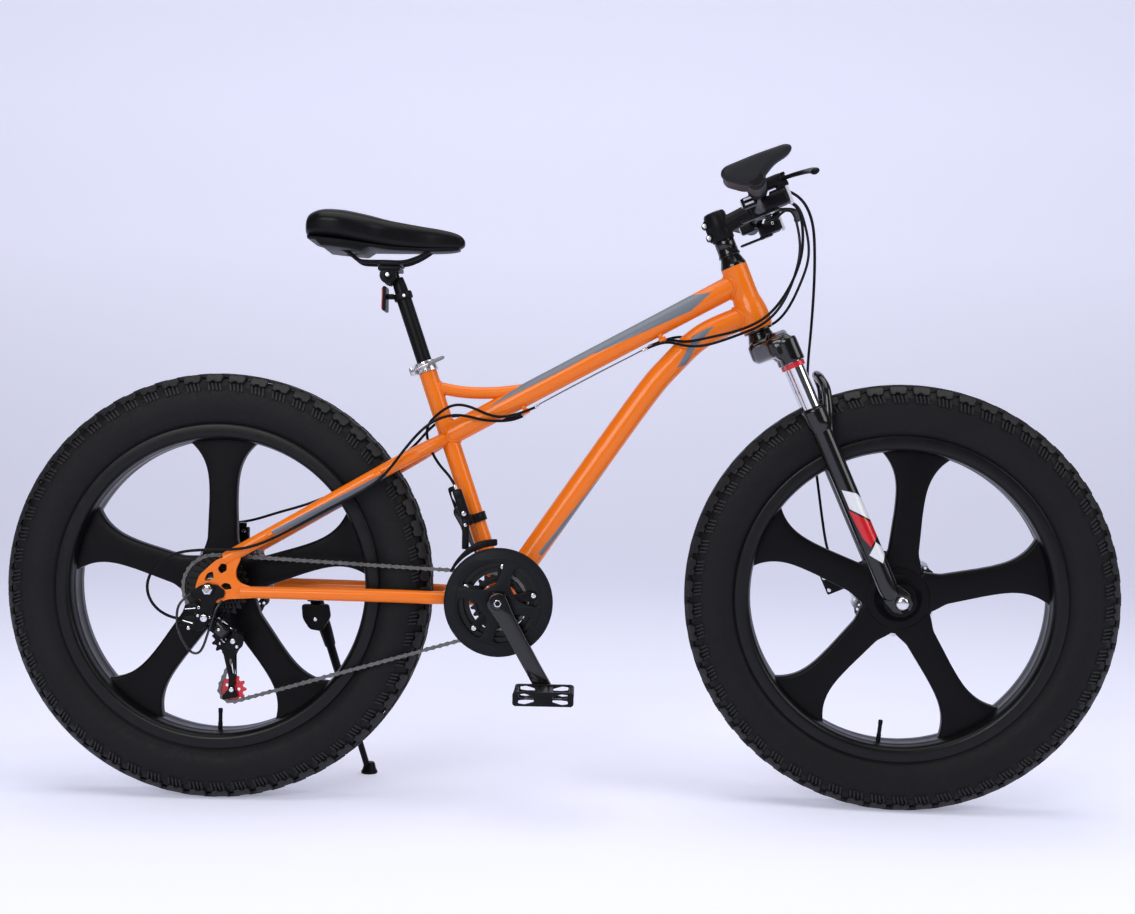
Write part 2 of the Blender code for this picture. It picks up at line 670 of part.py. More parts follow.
def kickstand():
    """The stand: a bracket under the left chain stay, a leg that folds back and a foot that slides in it."""
    stay_y = 0.0780
    pivot, turn = stand_frame()
    bracket = joined([box((0.046, 0.022, 0.0065), (pivot.x, stay_y, pivot.z + 0.0169), 0.0015),
                      box((0.020, 0.036, 0.013), (pivot.x, stay_y + 0.0045, pivot.z + 0.0080), 0.0015)])
    place = Matrix.Translation(pivot) @ turn.to_4x4()
    room = moved(rod((0, -0.011 - CLEARANCE, 0), (0, 0.030, 0), 0.0150), place)
    node(cut(bracket, [room]), "kickstand_bracket", "black_metal")
    frame = empty("kickstand_pivot", None, pivot, turn)
    head = rod((0, -0.011, 0), (0, 0.008, 0), 0.0098, sides=12)
    sleeve = rod((0, 0, -0.002), (0, 0, -STAND_SLEEVE), STAND_RADIUS, sides=12)
    leg = joined([head, sleeve])
    leg = cut(leg, [rod((0, 0, -0.020), (0, 0, -STAND_SLEEVE - 0.01), around(STAND_ROD_RADIUS, 12))])
    node(leg, "kickstand_leg", "black_metal", frame)
    slide = empty("kickstand_slide", frame)
    length = (Vector((STAND_FOOT[0], STAND_FOOT[1], 0.0)) - pivot).length
    bar = rod((0, 0, -0.110), (0, 0, -length + 0.012), STAND_ROD_RADIUS, sides=12)
    upright = turn.transposed().to_4x4() @ Matrix.Translation(-pivot)
    pad = moved(rod((STAND_FOOT[0], STAND_FOOT[1], 0.0), (STAND_FOOT[0], STAND_FOOT[1], 0.020), 0.0160, 0.0100),
                upright)
    node(joined([bar, pad]), "kickstand_foot", "black_metal", slide)


# Wheels
RIM_TURN = Matrix.Rotation(pi / 2 + pi / WHEEL_STEPS, 4, "Y")     # puts the middle of a flat side at the foot


def spoke_outline(phase):
    """The star of spokes: each one's half width grows from its waist to the hub and, in a curve, to the rim."""
    points = []
    outer = (RIM_INNER_RADIUS + 0.0035)
    for spoke in range(SPOKE_COUNT):
        middle = radians(phase) + 2 * pi * spoke / SPOKE_COUNT
        stations = (0.090, 0.165, 0.205, 0.240, outer)
        flank = []
        for radius in stations:
            flare = max(0.0, (radius - 0.150) / (outer - 0.150))
            half = SPOKE_WIDTH / 2 + 0.002 * (radius < 0.1) + 0.039 * flare ** 3.2
            flank.append((radius, atan2(half, sqrt(radius ** 2 - half ** 2))))
        valley = middle - pi / SPOKE_COUNT
        points.append((0.062 * cos(valley), 0.062 * sin(valley)))
        for radius, angle in flank:
            points.append((radius * cos(middle - angle), radius * sin(middle - angle)))
        for radius, angle in reversed(flank):
            points.append((radius * cos(middle + angle), radius * sin(middle + angle)))
    return points


def rim_profile():
    """Section of the rim: two flanges and the well between them."""
    half = RIM_WIDTH / 2
    side = [(half, RIM_INNER_RADIUS + 0.009), (half, RIM_RADIUS), (half - 0.005, RIM_RADIUS),
            (half - 0.007, RIM_RADIUS - 0.010), (half - 0.019, RIM_RADIUS - 0.020)]
    other = [(-y, radius) for y, radius in reversed(side)]
    return side + other + [(-half + 0.011, RIM_INNER_RADIUS), (half - 0.011, RIM_INNER_RADIUS)]


def wheel(name, parent, phase, hub_right, hub_left, rotor_y, threads):
    """A one-piece wheel: rim, spokes and hub joined, with the axle's bore and the valve."""
    rim = moved(turned(rim_profile(), WHEEL_STEPS, closed=True), RIM_TURN)
    star = plate([spoke_outline(phase)], SPOKE_THICKNESS)
    face = rotor_y - ROTOR_THICKNESS / 2 - CLEARANCE
    hub = turned([(hub_left, 0.0), (hub_left, HUB_BOSS), (face, HUB_BOSS), (face, 0.0300), (face - 0.008, 0.0300),
                  (0.030, 0.0260), (-0.030, 0.0300), (hub_right, 0.0300), (hub_right, 0.0)], 16)
    shapes = [rim, star, hub]
    if threads:
        shapes.append(cross_rod(0, 0, hub_right + 0.004, threads, FREEWHEEL_SEAT, 16))
    body = joined(shapes)
    body = cut(body, [cross_rod(0, 0, -0.12, 0.12, around(AXLE_CONE, 12))])
    angle = radians(phase - 180.0 / SPOKE_COUNT - 144.0)
    inner = Vector((cos(angle), 0, sin(angle)))
    valve = rod(inner * 0.224, inner * (RIM_INNER_RADIUS + 0.004), 0.0030, 0.0042, sides=6)
    node(joined([body, valve]), name, "wheel_black", parent)


def tyre(name, parent):
    """A wide tyre, open towards the rim: beads, bowed side walls and a flat crown."""
    half = TYRE_WIDTH / 2
    flat = TREAD_FLAT / 2
    bead = RIM_RADIUS - 0.0093
    outer = [(0.0335, bead), (0.0352, RIM_RADIUS), (half, 0.325), (half - 0.007, 0.364), (flat, WHEEL_RADIUS)]
    inner = [(0.032, 0.3670), (half - 0.0065, 0.325), (0.0295, bead)]
    scale = 1 / cos(pi / WHEEL_STEPS)
    right = [(y, radius * (scale if radius > 0.36 else 1.0)) for y, radius in outer]
    left = [(-y, radius) for y, radius in reversed(right)]
    back = [(-y, radius) for y, radius in reversed(inner)]
    shape = turned(right + left + back + [(y, radius) for y, radius in inner], WHEEL_STEPS, closed=True)
    node(moved(shape, RIM_TURN), name, "rubber", parent)


def rotor(name, parent, y):
    """A disc rotor: a waved braking ring on six arms."""
    edge = []
    for k in range(24):
        angle = 2 * pi * k / 24
        radius = ROTOR_RADIUS - 0.003 * (k % 2 == 0)
        edge.append((radius * cos(angle), radius * sin(angle)))
    windows = []
    for k in range(6):
        low = radians(60 * k + 8)
        high = radians(60 * k + 46)
        windows.append([(0.062 * cos(low), 0.062 * sin(low)), (0.062 * cos((low + high) / 2),
                        0.062 * sin((low + high) / 2)), (0.062 * cos(high), 0.062 * sin(high)),
                        (0.030 * cos(high), 0.030 * sin(high)), (0.030 * cos(low), 0.030 * sin(low))])
    shape = plate([edge] + windows + [circle(around(HUB_BOSS, 12), count=12)], ROTOR_THICKNESS)
    node(shifted(shape, y=y), name, "steel", parent)


def freewheel(parent):
    """The sprockets on one core, largest next to the spokes."""
    y = SPROCKET_FIRST_Y
    last = y - SPROCKET_STEP * (len(SPROCKET_TEETH) - 1)
    shapes = [ring(around(FREEWHEEL_SEAT, 12), 0.0235, last - 0.0014, y + 0.0040, 12)]
    for index, teeth in enumerate(SPROCKET_TEETH):
        middle = y - SPROCKET_STEP * index
        edge = gear_outline(teeth) if index == 0 else circle(pitch_radius(teeth) + 0.003, count=12)
        shapes.append(shifted(plate([edge, circle(0.0205, count=6)], 0.0018), y=middle))
    node(joined(shapes), "freewheel", "steel", parent)


# Drive
def crank_arm(name, side, parent, angle):
    """One crank arm with its boss and pedal axle; the right one has the spider."""
    inner = side * ARM_INNER_Y
    outer = side * ARM_OUTER_Y
    tip = Vector((CRANK_LENGTH * cos(angle), CRANK_LENGTH * sin(angle)))
    along = tip.normalized()
    across = Vector((-along.y, along.x))
    outline = [tuple(across * 0.0165 * cos(t) - along * 0.0165 * sin(t)) for t in [pi * k / 4 for k in range(5)]]
    outline = outline[::-1] + [tuple(tip + across * 0.0135 * cos(t) + along * 0.0135 * sin(t))
                               for t in [pi * k / 4 for k in range(5)]]
    arm = plate_between([outline[::-1]], inner, outer)
    boss = cross_rod(0, 0, side * 0.0540, side * (ARM_INNER_Y + 0.004), 0.0180, 16)
    pedal_axle = cross_rod(tip.x, tip.y, side * (ARM_INNER_Y + 0.004), side * 0.1920, PEDAL_AXLE_RADIUS, 10)
    collar = cross_rod(tip.x, tip.y, side * (ARM_OUTER_Y - 0.004), side * (PEDAL_INNER_Y - CLEARANCE), 0.0080, 10)
    shapes = [arm, boss, pedal_axle, collar]
    if side < 0:
        arms = []
        for k in range(5):
            middle = angle + 2 * pi * k / 5
            for offset, reach in ((-0.62, 0.022), (-0.11, 0.0690), (0.11, 0.0690)):
                arms.append((reach * cos(middle + offset), reach * sin(middle + offset)))
        y_face = RING_PLANES[0] - RING_THICKNESS / 2 - CLEARANCE
        shapes.append(plate_between([arms], y_face, y_face - 0.0040))
    shape = joined(shapes)
    bore = cross_rod(0, 0, side * 0.050, side * 0.0990, around(SPINDLE_RADIUS, 12), 12)
    node(cut(shape, [bore]), name, "black_paint", parent)
    return tip


def chainrings(parent):
    """Three toothed rings riveted together through two spacer rings."""
    inner_radii = (0.0590, 0.0380, 0.0300)
    shapes = []
    for teeth, plane, inner in zip(RING_TEETH, RING_PLANES, inner_radii):
        edge = gear_outline(teeth) if teeth == RING_TEETH[2] else circle(pitch_radius(teeth) + 0.002, count=24)
        shapes.append(shifted(plate([edge, circle(inner, count=10)], RING_THICKNESS), y=plane))
    outer_spacer = ring(0.0610, 0.0640, RING_PLANES[0] + 0.0004, RING_PLANES[1] - 0.0004, 10)
    inner_spacer = ring(0.0385, 0.0425, RING_PLANES[1] + 0.0004, RING_PLANES[2] - 0.0004, 10)
    node(joined([shapes[0], outer_spacer, shapes[1], inner_spacer, shapes[2]]), "chainrings", "steel", parent)


def chain_guard(parent, angle):
    """The plastic disc outside the rings, with five windows and a rim that seats on the large ring."""
    windows = []
    for k in range(5):
        middle = angle + 2 * pi * (k + 0.5) / 5
        windows.append([(radius * cos(middle + offset), radius * sin(middle + offset)) for offset, radius in
                        ((-0.20, 0.034), (-0.44, 0.060), (-0.20, 0.069), (0.20, 0.069), (0.44, 0.060),
                         (0.20, 0.034))][::-1])
    disc = plate([circle(GUARD_RADIUS, count=28)] + windows + [circle(around(0.0180, 10), count=10)],
                 GUARD_THICKNESS)
    shifted(disc, y=GUARD_PLANE)
    seat = ring(0.0720, 0.0760, GUARD_PLANE + 0.001, RING_PLANES[0] - RING_THICKNESS / 2 - CLEARANCE, 14)
    node(joined([disc, seat]), "chain_guard", "plastic", parent)


def pedal(name, side, parent, tilt):
    """A platform pedal: a frame with four windows around the axle's barrel."""
    y_in = side * PEDAL_INNER_Y
    y_out = side * (PEDAL_INNER_Y + PEDAL_WIDTH)
    middle = (y_in + y_out) / 2
    shape = box((PEDAL_LENGTH, PEDAL_WIDTH, PEDAL_HEIGHT), (0, middle, 0), 0.004)
    for fore in (-1, 1):
        for across in (-1, 1):
            window = box((0.024, 0.028, 0.05), (fore * 0.031, middle + across * 0.021, 0))
            shape = cut(shape, [window])
    shape = cut(shape, [cross_rod(0, 0, side * 0.105, side * 0.1925, around(PEDAL_AXLE_RADIUS, 10), 10)])
    node(moved(shape, Matrix.Rotation(tilt, 4, "Y")), name, "plastic", parent)


def chain_y(x):
    """The chain's distance from the middle plane: it leans from the sprocket's plane to the ring's."""
    share = min(max((x - 0.065) / (BB_X - 0.06 - 0.065), 0.0), 1.0)
    return SPROCKET_FIRST_Y + (RING_PLANES[2] - SPROCKET_FIRST_Y) * share


def tangent_arcs():
    """The chain's circles in order, as centre, radius and turning side: +1 keeps the wheel inside the loop."""
    rear = (Vector((0, WHEEL_RADIUS)), pitch_radius(SPROCKET_TEETH[0]), 1)
    front = (Vector((BB_X, BB_HEIGHT)), pitch_radius(RING_TEETH[2]), 1)
    tension = (Vector(TENSION_PULLEY), pitch_radius(PULLEY_TEETH), 1)
    guide = (Vector(GUIDE_PULLEY), pitch_radius(PULLEY_TEETH), -1)
    return [rear, front, tension, guide]


def tangent_points(first, second):
    """Where a taut line leaves one circle and meets the next, going clockwise over each wheel of side +1."""
    centre_a, radius_a, side_a = first
    centre_b, radius_b, side_b = second
    gap = centre_b - centre_a
    heading = atan2(gap.y, gap.x)
    lift = acos((side_a * radius_a - side_b * radius_b) / gap.length)
    angle = heading + lift
    normal = Vector((cos(angle), sin(angle)))
    return centre_a + normal * side_a * radius_a, centre_b + normal * side_b * radius_b


def chain_path():
    """Points of the chain's pitch line, once round, with arcs over the wheels."""
    circles = tangent_arcs()
    count = len(circles)
    points = []
    for index in range(count):
        centre, radius, side = circles[index]
        arrive = tangent_points(circles[index - 1], circles[index])[1]
        leave = tangent_points(circles[index], circles[(index + 1) % count])[0]
        start = atan2(arrive.y - centre.y, arrive.x - centre.x)
        end = atan2(leave.y - centre.y, leave.x - centre.x)
        sweep = (start - end) % (2 * pi) if side > 0 else -((end - start) % (2 * pi))
        steps = max(3, int(abs(sweep) / radians(24)))
        for step in range(steps + 1):
            angle = start - sweep * step / steps
            points.append(Vector((centre.x + radius * cos(angle), centre.y + radius * sin(angle))))
    return points


def offset_loop(points, distance):
    """The same closed line moved sideways by a distance."""
    count = len(points)
    result = []
    for index in range(count):
        before = (points[index] - points[index - 1]).normalized()
        after = (points[(index + 1) % count] - points[index]).normalized()
        along = (before + after).normalized()
        result.append((points[index].x - along.y * distance, points[index].y + along.x * distance))
    return result


def chain():
    """The chain: two rows of link plates all the way round, joined by their rollers on the open runs."""
    path = chain_path()
    outer = offset_loop(path, CHAIN_HALF_HEIGHT)
    inner = offset_loop(path, -CHAIN_HALF_HEIGHT)
    rows = []
    for side in (-1, 1):
        row = plate([outer, inner], CHAIN_PLATE)
        rows.append(shifted(row, y=side * (CHAIN_GAP + CHAIN_PLATE / 2)))
    circles = tangent_arcs()
    webs = []
    for first, second, low, high in ((0, 1, 0.17, 0.80), (1, 2, 0.14, 0.92)):
        start, end = tangent_points(circles[first], circles[second])
        a = start.lerp(end, low)
        b = start.lerp(end, high)
        along = (b - a).normalized()
        across = Vector((-along.y, along.x)) * 0.0018
        outline = [tuple(a + across), tuple(b + across), tuple(b - across), tuple(a - across)]
        webs.append(plate([outline], 2 * CHAIN_GAP + 0.0012))
    shape = joined([rows[0], webs[0], webs[1], rows[1]])
    for vertex in shape.data.vertices:
        vertex.co.y += chain_y(vertex.co.x)
    node(shape, "chain", "steel")


def derailleur():
    """The rear derailleur: a link that swings out, a knuckle that stays level, and the cage with two pulleys."""
    hx, hz = HANGER_BOLT
    kx, kz = KNUCKLE_PIVOT
    slant = link_slant()
    reach = hypot(kx - hx, kz - hz)
    start = Vector((hx, LINK_Y, hz)) + slant @ Vector((LINK_INSET, 0, 0))
    link_frame = empty("derailleur_link_pivot", None, start, slant)
    knuckle_frame = empty("derailleur_knuckle_pivot", link_frame, (reach - 2 * LINK_INSET, 0, 0))
    cage_frame = empty("derailleur_cage_pivot", knuckle_frame, (LINK_INSET, 0, 0), slant.transposed())
    length = reach - 2 * LINK_INSET + 0.009
    node(box((length, 0.010, 0.019), ((reach - 2 * LINK_INSET) / 2, 0, 0), 0.002), "derailleur_link", "black_metal",
         link_frame)
    level = slant.transposed().to_4x4()
    barrel = moved(cross_rod(0, 0, -0.0060, 0.0130, 0.0095), Matrix.Translation((LINK_INSET, 0, 0)) @ level)
    ears = [box((0.018, 0.008, 0.0028), (LINK_INSET - 0.0135, 0, side * 0.0112)) for side in (-1, 1)]
    ears.append(box((0.0088, 0.008, 0.0252), (LINK_INSET - 0.0064, 0, 0)))
    node(joined([barrel] + ears), "derailleur_knuckle", "black_metal", knuckle_frame)
    gx, gz = GUIDE_PULLEY[0] - kx, GUIDE_PULLEY[1] - kz
    tx, tz = TENSION_PULLEY[0] - kx, TENSION_PULLEY[1] - kz
    pulley_y = SPROCKET_FIRST_Y - LINK_Y
    outline = [(gx - 0.009, gz + 0.004), (gx, gz + 0.010), (0.006, 0.008), (0.008, -0.004), (gx + 0.018, gz - 0.026),
               (tx + 0.008, tz + 0.022), (tx + 0.014, tz - 0.004), (tx + 0.004, tz - 0.014), (tx - 0.010, tz - 0.010),
               (tx - 0.006, tz + 0.020), (gx - 0.002, gz - 0.026), (gx - 0.008, gz - 0.008)]
    plates = [plate_between([outline], pulley_y + side * 0.0058, pulley_y + side * 0.0073) for side in (-1, 1)]
    pins = [cross_rod(x, z, pulley_y - 0.0080, pulley_y + 0.0080, 0.0024, 8) for x, z in ((gx, gz), (tx, tz))]
    stub = cross_rod(0.0, 0.0, 0.0130 + CLEARANCE, pulley_y - 0.0062, 0.0060)
    cage = joined([plates[0], pins[0], pins[1], plates[1], stub])
    node(cage, "derailleur_cage", "black_metal", cage_frame)
    for name, x, z in (("guide_pulley", gx, gz), ("tension_pulley", tx, tz)):
        spin = empty(name + "_axis", cage_frame, (x, pulley_y, z))
        disc = plate([gear_outline(PULLEY_TEETH), circle(0.0050, count=8)], 0.0022)
        hub = ring(0.0030, 0.0070, -0.0050, 0.0050, 8)
        node(joined([disc, hub]), name, "red_plastic", spin)


def front_derailleur():
    """The front derailleur: a band round the seat tube and a cage that swings out over the rings."""
    tilt = Matrix.Rotation(-radians(90 - SEAT_ANGLE), 4, "Y")
    band = ring(around(SEAT_TUBE_RADIUS, 16), SEAT_TUBE_RADIUS + 0.0035, -0.008, 0.008, lying=False)
    bracket = box((0.016, 0.0242, 0.016), (-0.010, -0.0301, 0.002), 0.002)
    node(moved(joined([band, bracket]), Matrix.Translation(seat_point(0.150)) @ tilt), "front_derailleur_clamp",
         "black_metal")
    pivot = seat_point(0.165, -0.0470, -0.012)
    frame = empty("front_derailleur_pivot", None, pivot)
    arm = box((0.018, 0.0090, 0.060), (0.000, 0.0, 0.014), 0.002)
    turn = Matrix.Rotation(-radians(90 - SEAT_ANGLE), 4, "Y")
    moved(arm, turn)
    drop = box((0.012, 0.0125, 0.054), (0.003, -0.0018, -0.036), 0.0015)
    centre_x = BB_X - pivot.x
    centre_z = BB_HEIGHT - pivot.z
    low = GUARD_RADIUS + 0.0030
    high = low + 0.022
    arc = [radians(100 + 8 * k) for k in range(6)]
    outline = [(centre_x + low * cos(a), centre_z + low * sin(a)) for a in arc]
    outline += [(centre_x + high * cos(a), centre_z + high * sin(a)) for a in reversed(arc)]
    plates = [plate_between([outline], y, y + 0.0014) for y in (-0.0230, -0.0078)]
    roof_arc = arc[1:4]
    roof = [(centre_x + (high - 0.003) * cos(a), centre_z + (high - 0.003) * sin(a)) for a in roof_arc]
    roof += [(centre_x + (high - 0.0005) * cos(a), centre_z + (high - 0.0005) * sin(a)) for a in reversed(roof_arc)]
    bridge = plate_between([roof], -0.0224, -0.0070)
    cage = joined([plates[1], drop, bridge, plates[0], arm])
    node(cage, "front_derailleur_cage", "black_metal", frame)


# Front end
def fork_crown(parent):
    """Steerer tube, crown and sockets: the part that turns in the headset."""
    steerer = rod((0, 0, -0.030), (0, 0, STEM_HEIGHT + STEM_CLAMP_HEIGHT - 0.002), STEERER_RADIUS, sides=16)
    neck = turned([(-0.0043, 0.0), (-0.0043, 0.0205), (-0.020, 0.0250), (-0.045, 0.0250), (-0.045, 0.0)], 16,
                  lying=False)
    front = [(-0.0935, -0.034), (-0.0935, -0.068), (-0.052, -0.068), (-0.040, -0.058), (0.040, -0.058),
             (0.052, -0.068), (0.0935, -0.068), (0.0935, -0.034), (0.060, -0.024), (0.030, -0.016), (-0.030, -0.016),
             (-0.060, -0.024)]
    bridge = plate([front], 0.0380)
    moved(bridge, Matrix.Translation((0.0270, 0, 0)) @ Matrix.Rotation(pi / 2, 4, "Z"))
    rear = box((0.050, 0.060, 0.034), (-0.004, 0, -0.036), 0.006)
    place = Matrix.Translation(CROWN_FOOT) @ LEG_TILT.to_4x4()
    sockets = [moved(rod((0, y, 0), (0, y, 0.045), 0.0212, sides=16), place) for y in (-LEG_SPREAD, LEG_SPREAD)]
    bores = [moved(rod((0, y, -0.01), (0, y, 0.036), around(STANCHION_RADIUS, 14), sides=14), place)
             for y in (-LEG_SPREAD, LEG_SPREAD)]
    body = joined([bridge, rear, neck, steerer] + sockets)
    node(cut(body, bores), "fork_crown", "black_paint", parent)


def stanchion(name, side, parent):
    """A chrome inner leg, hollow, with the dust ring under the crown."""
    bore = STANCHION_RADIUS - 0.0025
    collar_top = -CLEARANCE
    collar = 0.0185
    profile = [(0.0355, bore), (0.0355, STANCHION_RADIUS), (collar_top, STANCHION_RADIUS), (collar_top, collar),
               (collar_top - 0.010, collar), (collar_top - 0.010, STANCHION_RADIUS), (-0.210, STANCHION_RADIUS),
               (-0.210, bore)]
    shape = turned(profile, 14, closed=True, lying=False)
    node(shifted(shape, y=side * LEG_SPREAD), name, "chrome", parent)


def fork_lowers(parent):
    """The sliding legs with their arch, and the dropouts that hold the front axle."""
    shapes = []
    for side in (-1, 1):
        leg = turned([(-LOWERS_TOP, 0.0), (-LOWERS_TOP, 0.0208), (-LOWERS_TOP - 0.004, 0.0215),
                      (-LOWERS_TOP - 0.030, 0.0210), (-LOWERS_TOP - 0.040, LEG_RADIUS), (-0.420, LEG_RADIUS),
                      (-0.446, 0.0130), (-0.446, 0.0)], 14, lying=False)
        shapes.append(shifted(leg, y=side * LEG_SPREAD))
    arch_route = [(0.010, -0.0735, -0.165), (0.022, -0.0700, -0.130), (0.034, -0.0660, -0.090),
                  (0.037, -0.0500, -0.056), (0.034, -0.0250, -0.041), (0.033, 0.0, -0.037)]
    full = arch_route + [(x, -y, z) for x, y, z in reversed(arch_route[:-1])]
    arch = tube(full, 0.0088, 8)
    body = joined([shapes[0], arch, shapes[1]])
    y_in = FRONT_OLD / 2
    for side in (-1, 1):
        lead = FORK_AXLE_LEAD
        drop = -FORK_AXLE_DROP
        outline = [(lead - 0.020, drop - 0.008), (lead - 0.008, drop - 0.017), (lead + 0.008, drop - 0.017),
                   (lead + 0.018, drop - 0.006), (lead + 0.018, drop + 0.012), (0.012, -0.425), (-0.013, -0.425),
                   (-0.014, drop + 0.010)]
        foot = plate_between([outline], side * y_in, side * (y_in + 0.010))
        body = joined([body, foot])
        slot = box((2 * FRONT_AXLE_RADIUS + 2 * CLEARANCE, 0.014, 0.030), (lead, side * (y_in + 0.005), drop - 0.015))
        bore = cross_rod(lead, drop, side * (y_in - 0.004), side * (y_in + 0.014), around(FRONT_AXLE_RADIUS, 12))
        body = cut(body, [slot, bore])
    tab = box((0.056, 0.0080, 0.030), (-0.034, 0.0640, -0.400))
    body = joined([body, tab])
    bores = [rod((0, y, -LOWERS_TOP + 0.01), (0, y, -0.300), around(STANCHION_RADIUS, 14), sides=14)
             for y in (-LEG_SPREAD, LEG_SPREAD)]
    node(cut(body, bores), "fork_lowers", "black_paint", parent)


def front_axle(parent):
    """The front axle with its cones and, on the right, its end nut."""
    half = FRONT_OLD / 2
    radius = FRONT_AXLE_RADIUS
    face = half + 0.010 + CLEARANCE
    profile = [(-face - 0.0080, 0.0), (-face - 0.0080, 0.0060), (-face, 0.0095), (-face, radius),
               (-half + CLEARANCE, radius), (-half + CLEARANCE, 0.0080), (-0.046, AXLE_CONE), (-0.042, radius),
               (0.042, radius), (0.046, AXLE_CONE), (half - CLEARANCE, 0.0080), (half - CLEARANCE, radius),
               (face + 0.004, radius), (face + 0.004, 0.0)]
    shape = turned(profile[::-1], 10)
    node(shifted(shape, FORK_AXLE_LEAD, 0, -FORK_AXLE_DROP), "front_axle", "chrome", parent)


def front_quick_release(parent):
    """The cam lever on the left end of the front axle."""
    y = FRONT_OLD / 2 + 0.010 + CLEARANCE
    pivot = empty("front_quick_release_pivot", parent, (FORK_AXLE_LEAD, y + 0.0110, -FORK_AXLE_DROP))
    bore = around(FRONT_AXLE_RADIUS, 10)
    cup = turned([(0.0050, 0.0), (0.0050, 0.0080), (-0.0110, 0.0095), (-0.0110, bore), (-0.0065, bore),
                  (-0.0065, 0.0)], 10)
    blade = tube([(0, 0.001, 0), (-0.016, 0.010, 0.007), (-0.034, 0.013, 0.016), (-0.052, 0.014, 0.024)], 0.0042, 8)
    node(joined([cup, blade]), "front_quick_release", "chrome", pivot)


def front_caliper(parent):
    """The front brake behind the left leg: its body and the arm that the cable pulls."""
    low = (-0.1000, 0.0380, -0.4180)
    high = (-0.0623, 0.0700, -0.3780)
    body = caliper(low, high, FRONT_ROTOR_Y, False)
    node(body, "front_brake_caliper", "black_metal", parent)
    pivot = empty("front_brake_arm_pivot", parent, (-0.0820, 0.0703, -0.3900))
    arm = joined([cross_rod(0, 0, 0, 0.0080, 0.0075, 12), box((0.009, 0.0035, 0.034), (0, 0.0058, 0.013))])
    node(arm, "front_brake_arm", "steel", pivot)


def stem(parent):
    """The stem: spacer, steerer clamp with its bolts, the arm, the bar clamp and the top cap."""
    top = STEM_HEIGHT + STEM_CLAMP_HEIGHT
    foot = HEAD_TUBE_LENGTH + 0.020 + CLEARANCE
    column = turned([(top + 0.004, 0.0), (top + 0.004, 0.0150), (top, 0.0205), (STEM_HEIGHT, 0.0205),
                     (STEM_HEIGHT, 0.0185), (foot, 0.0185), (foot, 0.0)], 16, lying=False)
    mid = STEM_HEIGHT + STEM_CLAMP_HEIGHT / 2
    arm = rod((0.006, 0, mid - 0.002), (BAR_FORWARD - 0.010, 0, BAR_HEIGHT), 0.0165, 0.0150, sides=12)
    clamp = cross_rod(BAR_FORWARD, BAR_HEIGHT, -0.0215, 0.0215, BAR_BULGE + 0.0056, 16)
    bolts = [cross_rod(-0.0230, height, -0.0125, 0.0125, 0.0055, 8) for height in (mid - 0.0125, mid + 0.0105)]
    lugs = box((0.018, 0.017, 0.042), (-0.0150, 0, mid - 0.001), 0.002)
    body = joined([column, arm, clamp, lugs] + bolts)
    bores = [rod((0, 0, foot - 0.01), (0, 0, top - 0.001), around(STEERER_RADIUS, 16), sides=16),
             cross_rod(BAR_FORWARD, BAR_HEIGHT, -0.030, 0.030, around(BAR_BULGE, 16), 16)]
    node(cut(body, bores), "stem", "black_metal", parent)


def bar_point(y):
    """The handlebar's middle line: level across the clamp, then swept back and up a little towards the ends."""
    share = max(abs(y) - 0.045, 0.0) / (BAR_HALF_WIDTH - 0.045)
    return Vector((BAR_FORWARD - BAR_SWEEP * share, y, BAR_HEIGHT + BAR_RISE * min(share * 2.0, 1.0)))


def handlebar(parent):
    stations = (0.0, 0.020, 0.0340, 0.055, 0.100, 0.160, 0.190, 0.250, BAR_HALF_WIDTH)
    ys = [-y for y in reversed(stations[1:])] + list(stations)
    radii = [BAR_BULGE if abs(y) < 0.035 else (0.0130 if abs(y) < 0.06 else BAR_RADIUS) for y in ys]
    node(tube([bar_point(y) for y in ys], BAR_RADIUS, 12, radii), "handlebar", "black_metal", parent)


def bar_sleeve(side, y_from, y_to, radius):
    """A solid sleeve that follows the bar between two distances from the middle."""
    ys = [side * (y_from + (y_to - y_from) * k / 3) for k in range(4)]
    return tube([bar_point(y) for y in ys], radius, 12)


def grip(name, side, parent):
    """A grip with a palm wing behind it and a horn that reaches forwards at its outer end."""
    end = BAR_HALF_WIDTH + 0.005
    sleeve = bar_sleeve(side, GRIP_INNER_END, end, GRIP_RADIUS)
    tip = bar_point(side * end)
    outline = [(tip.x - 0.052, tip.z + 0.013), (tip.x - 0.047, tip.z + 0.023), (tip.x - 0.020, tip.z + 0.028),
               (tip.x + 0.010, tip.z + 0.028), (tip.x + 0.012, tip.z - 0.006), (tip.x - 0.020, tip.z - 0.004),
               (tip.x - 0.046, tip.z + 0.008)]
    wing = plate_between([outline], side * 0.238, side * (end - 0.002))
    rounding = wing.modifiers.new("rounding", "BEVEL")
    rounding.width = 0.003
    rounding.segments = 1
    rounding.angle_limit = radians(40)
    wing = baked(wing)
    horn_route = [(tip.x - 0.002, side * (end - 0.016), tip.z + 0.006), (tip.x + 0.016, side * (end - 0.012), tip.z + 0.017),
                  (tip.x + 0.036, side * (end - 0.014), tip.z + 0.023), (tip.x + 0.060, side * (end - 0.022), tip.z + 0.027)]
    path = [Vector(point) for point in horn_route]
    radii = [0.0135 - 0.0045 * k / (len(path) - 1) for k in range(len(path))]
    horn = tube(path, 0.0120, 8, radii)
    nose = bmesh.new()
    bmesh.ops.create_uvsphere(nose, u_segments=8, v_segments=6, radius=0.0086)
    bmesh.ops.translate(nose, vec=path[-1], verts=nose.verts)
    mesh = bpy.data.meshes.new("nose")
    nose.to_mesh(mesh)
    nose.free()
    body = joined([sleeve, wing, horn, mesh_object(mesh)])
    bore = bar_sleeve(side, GRIP_INNER_END - 0.02, BAR_HALF_WIDTH + CLEARANCE, around(BAR_RADIUS, 12))
    node(cut(body, [bore]), name, "rubber", parent)


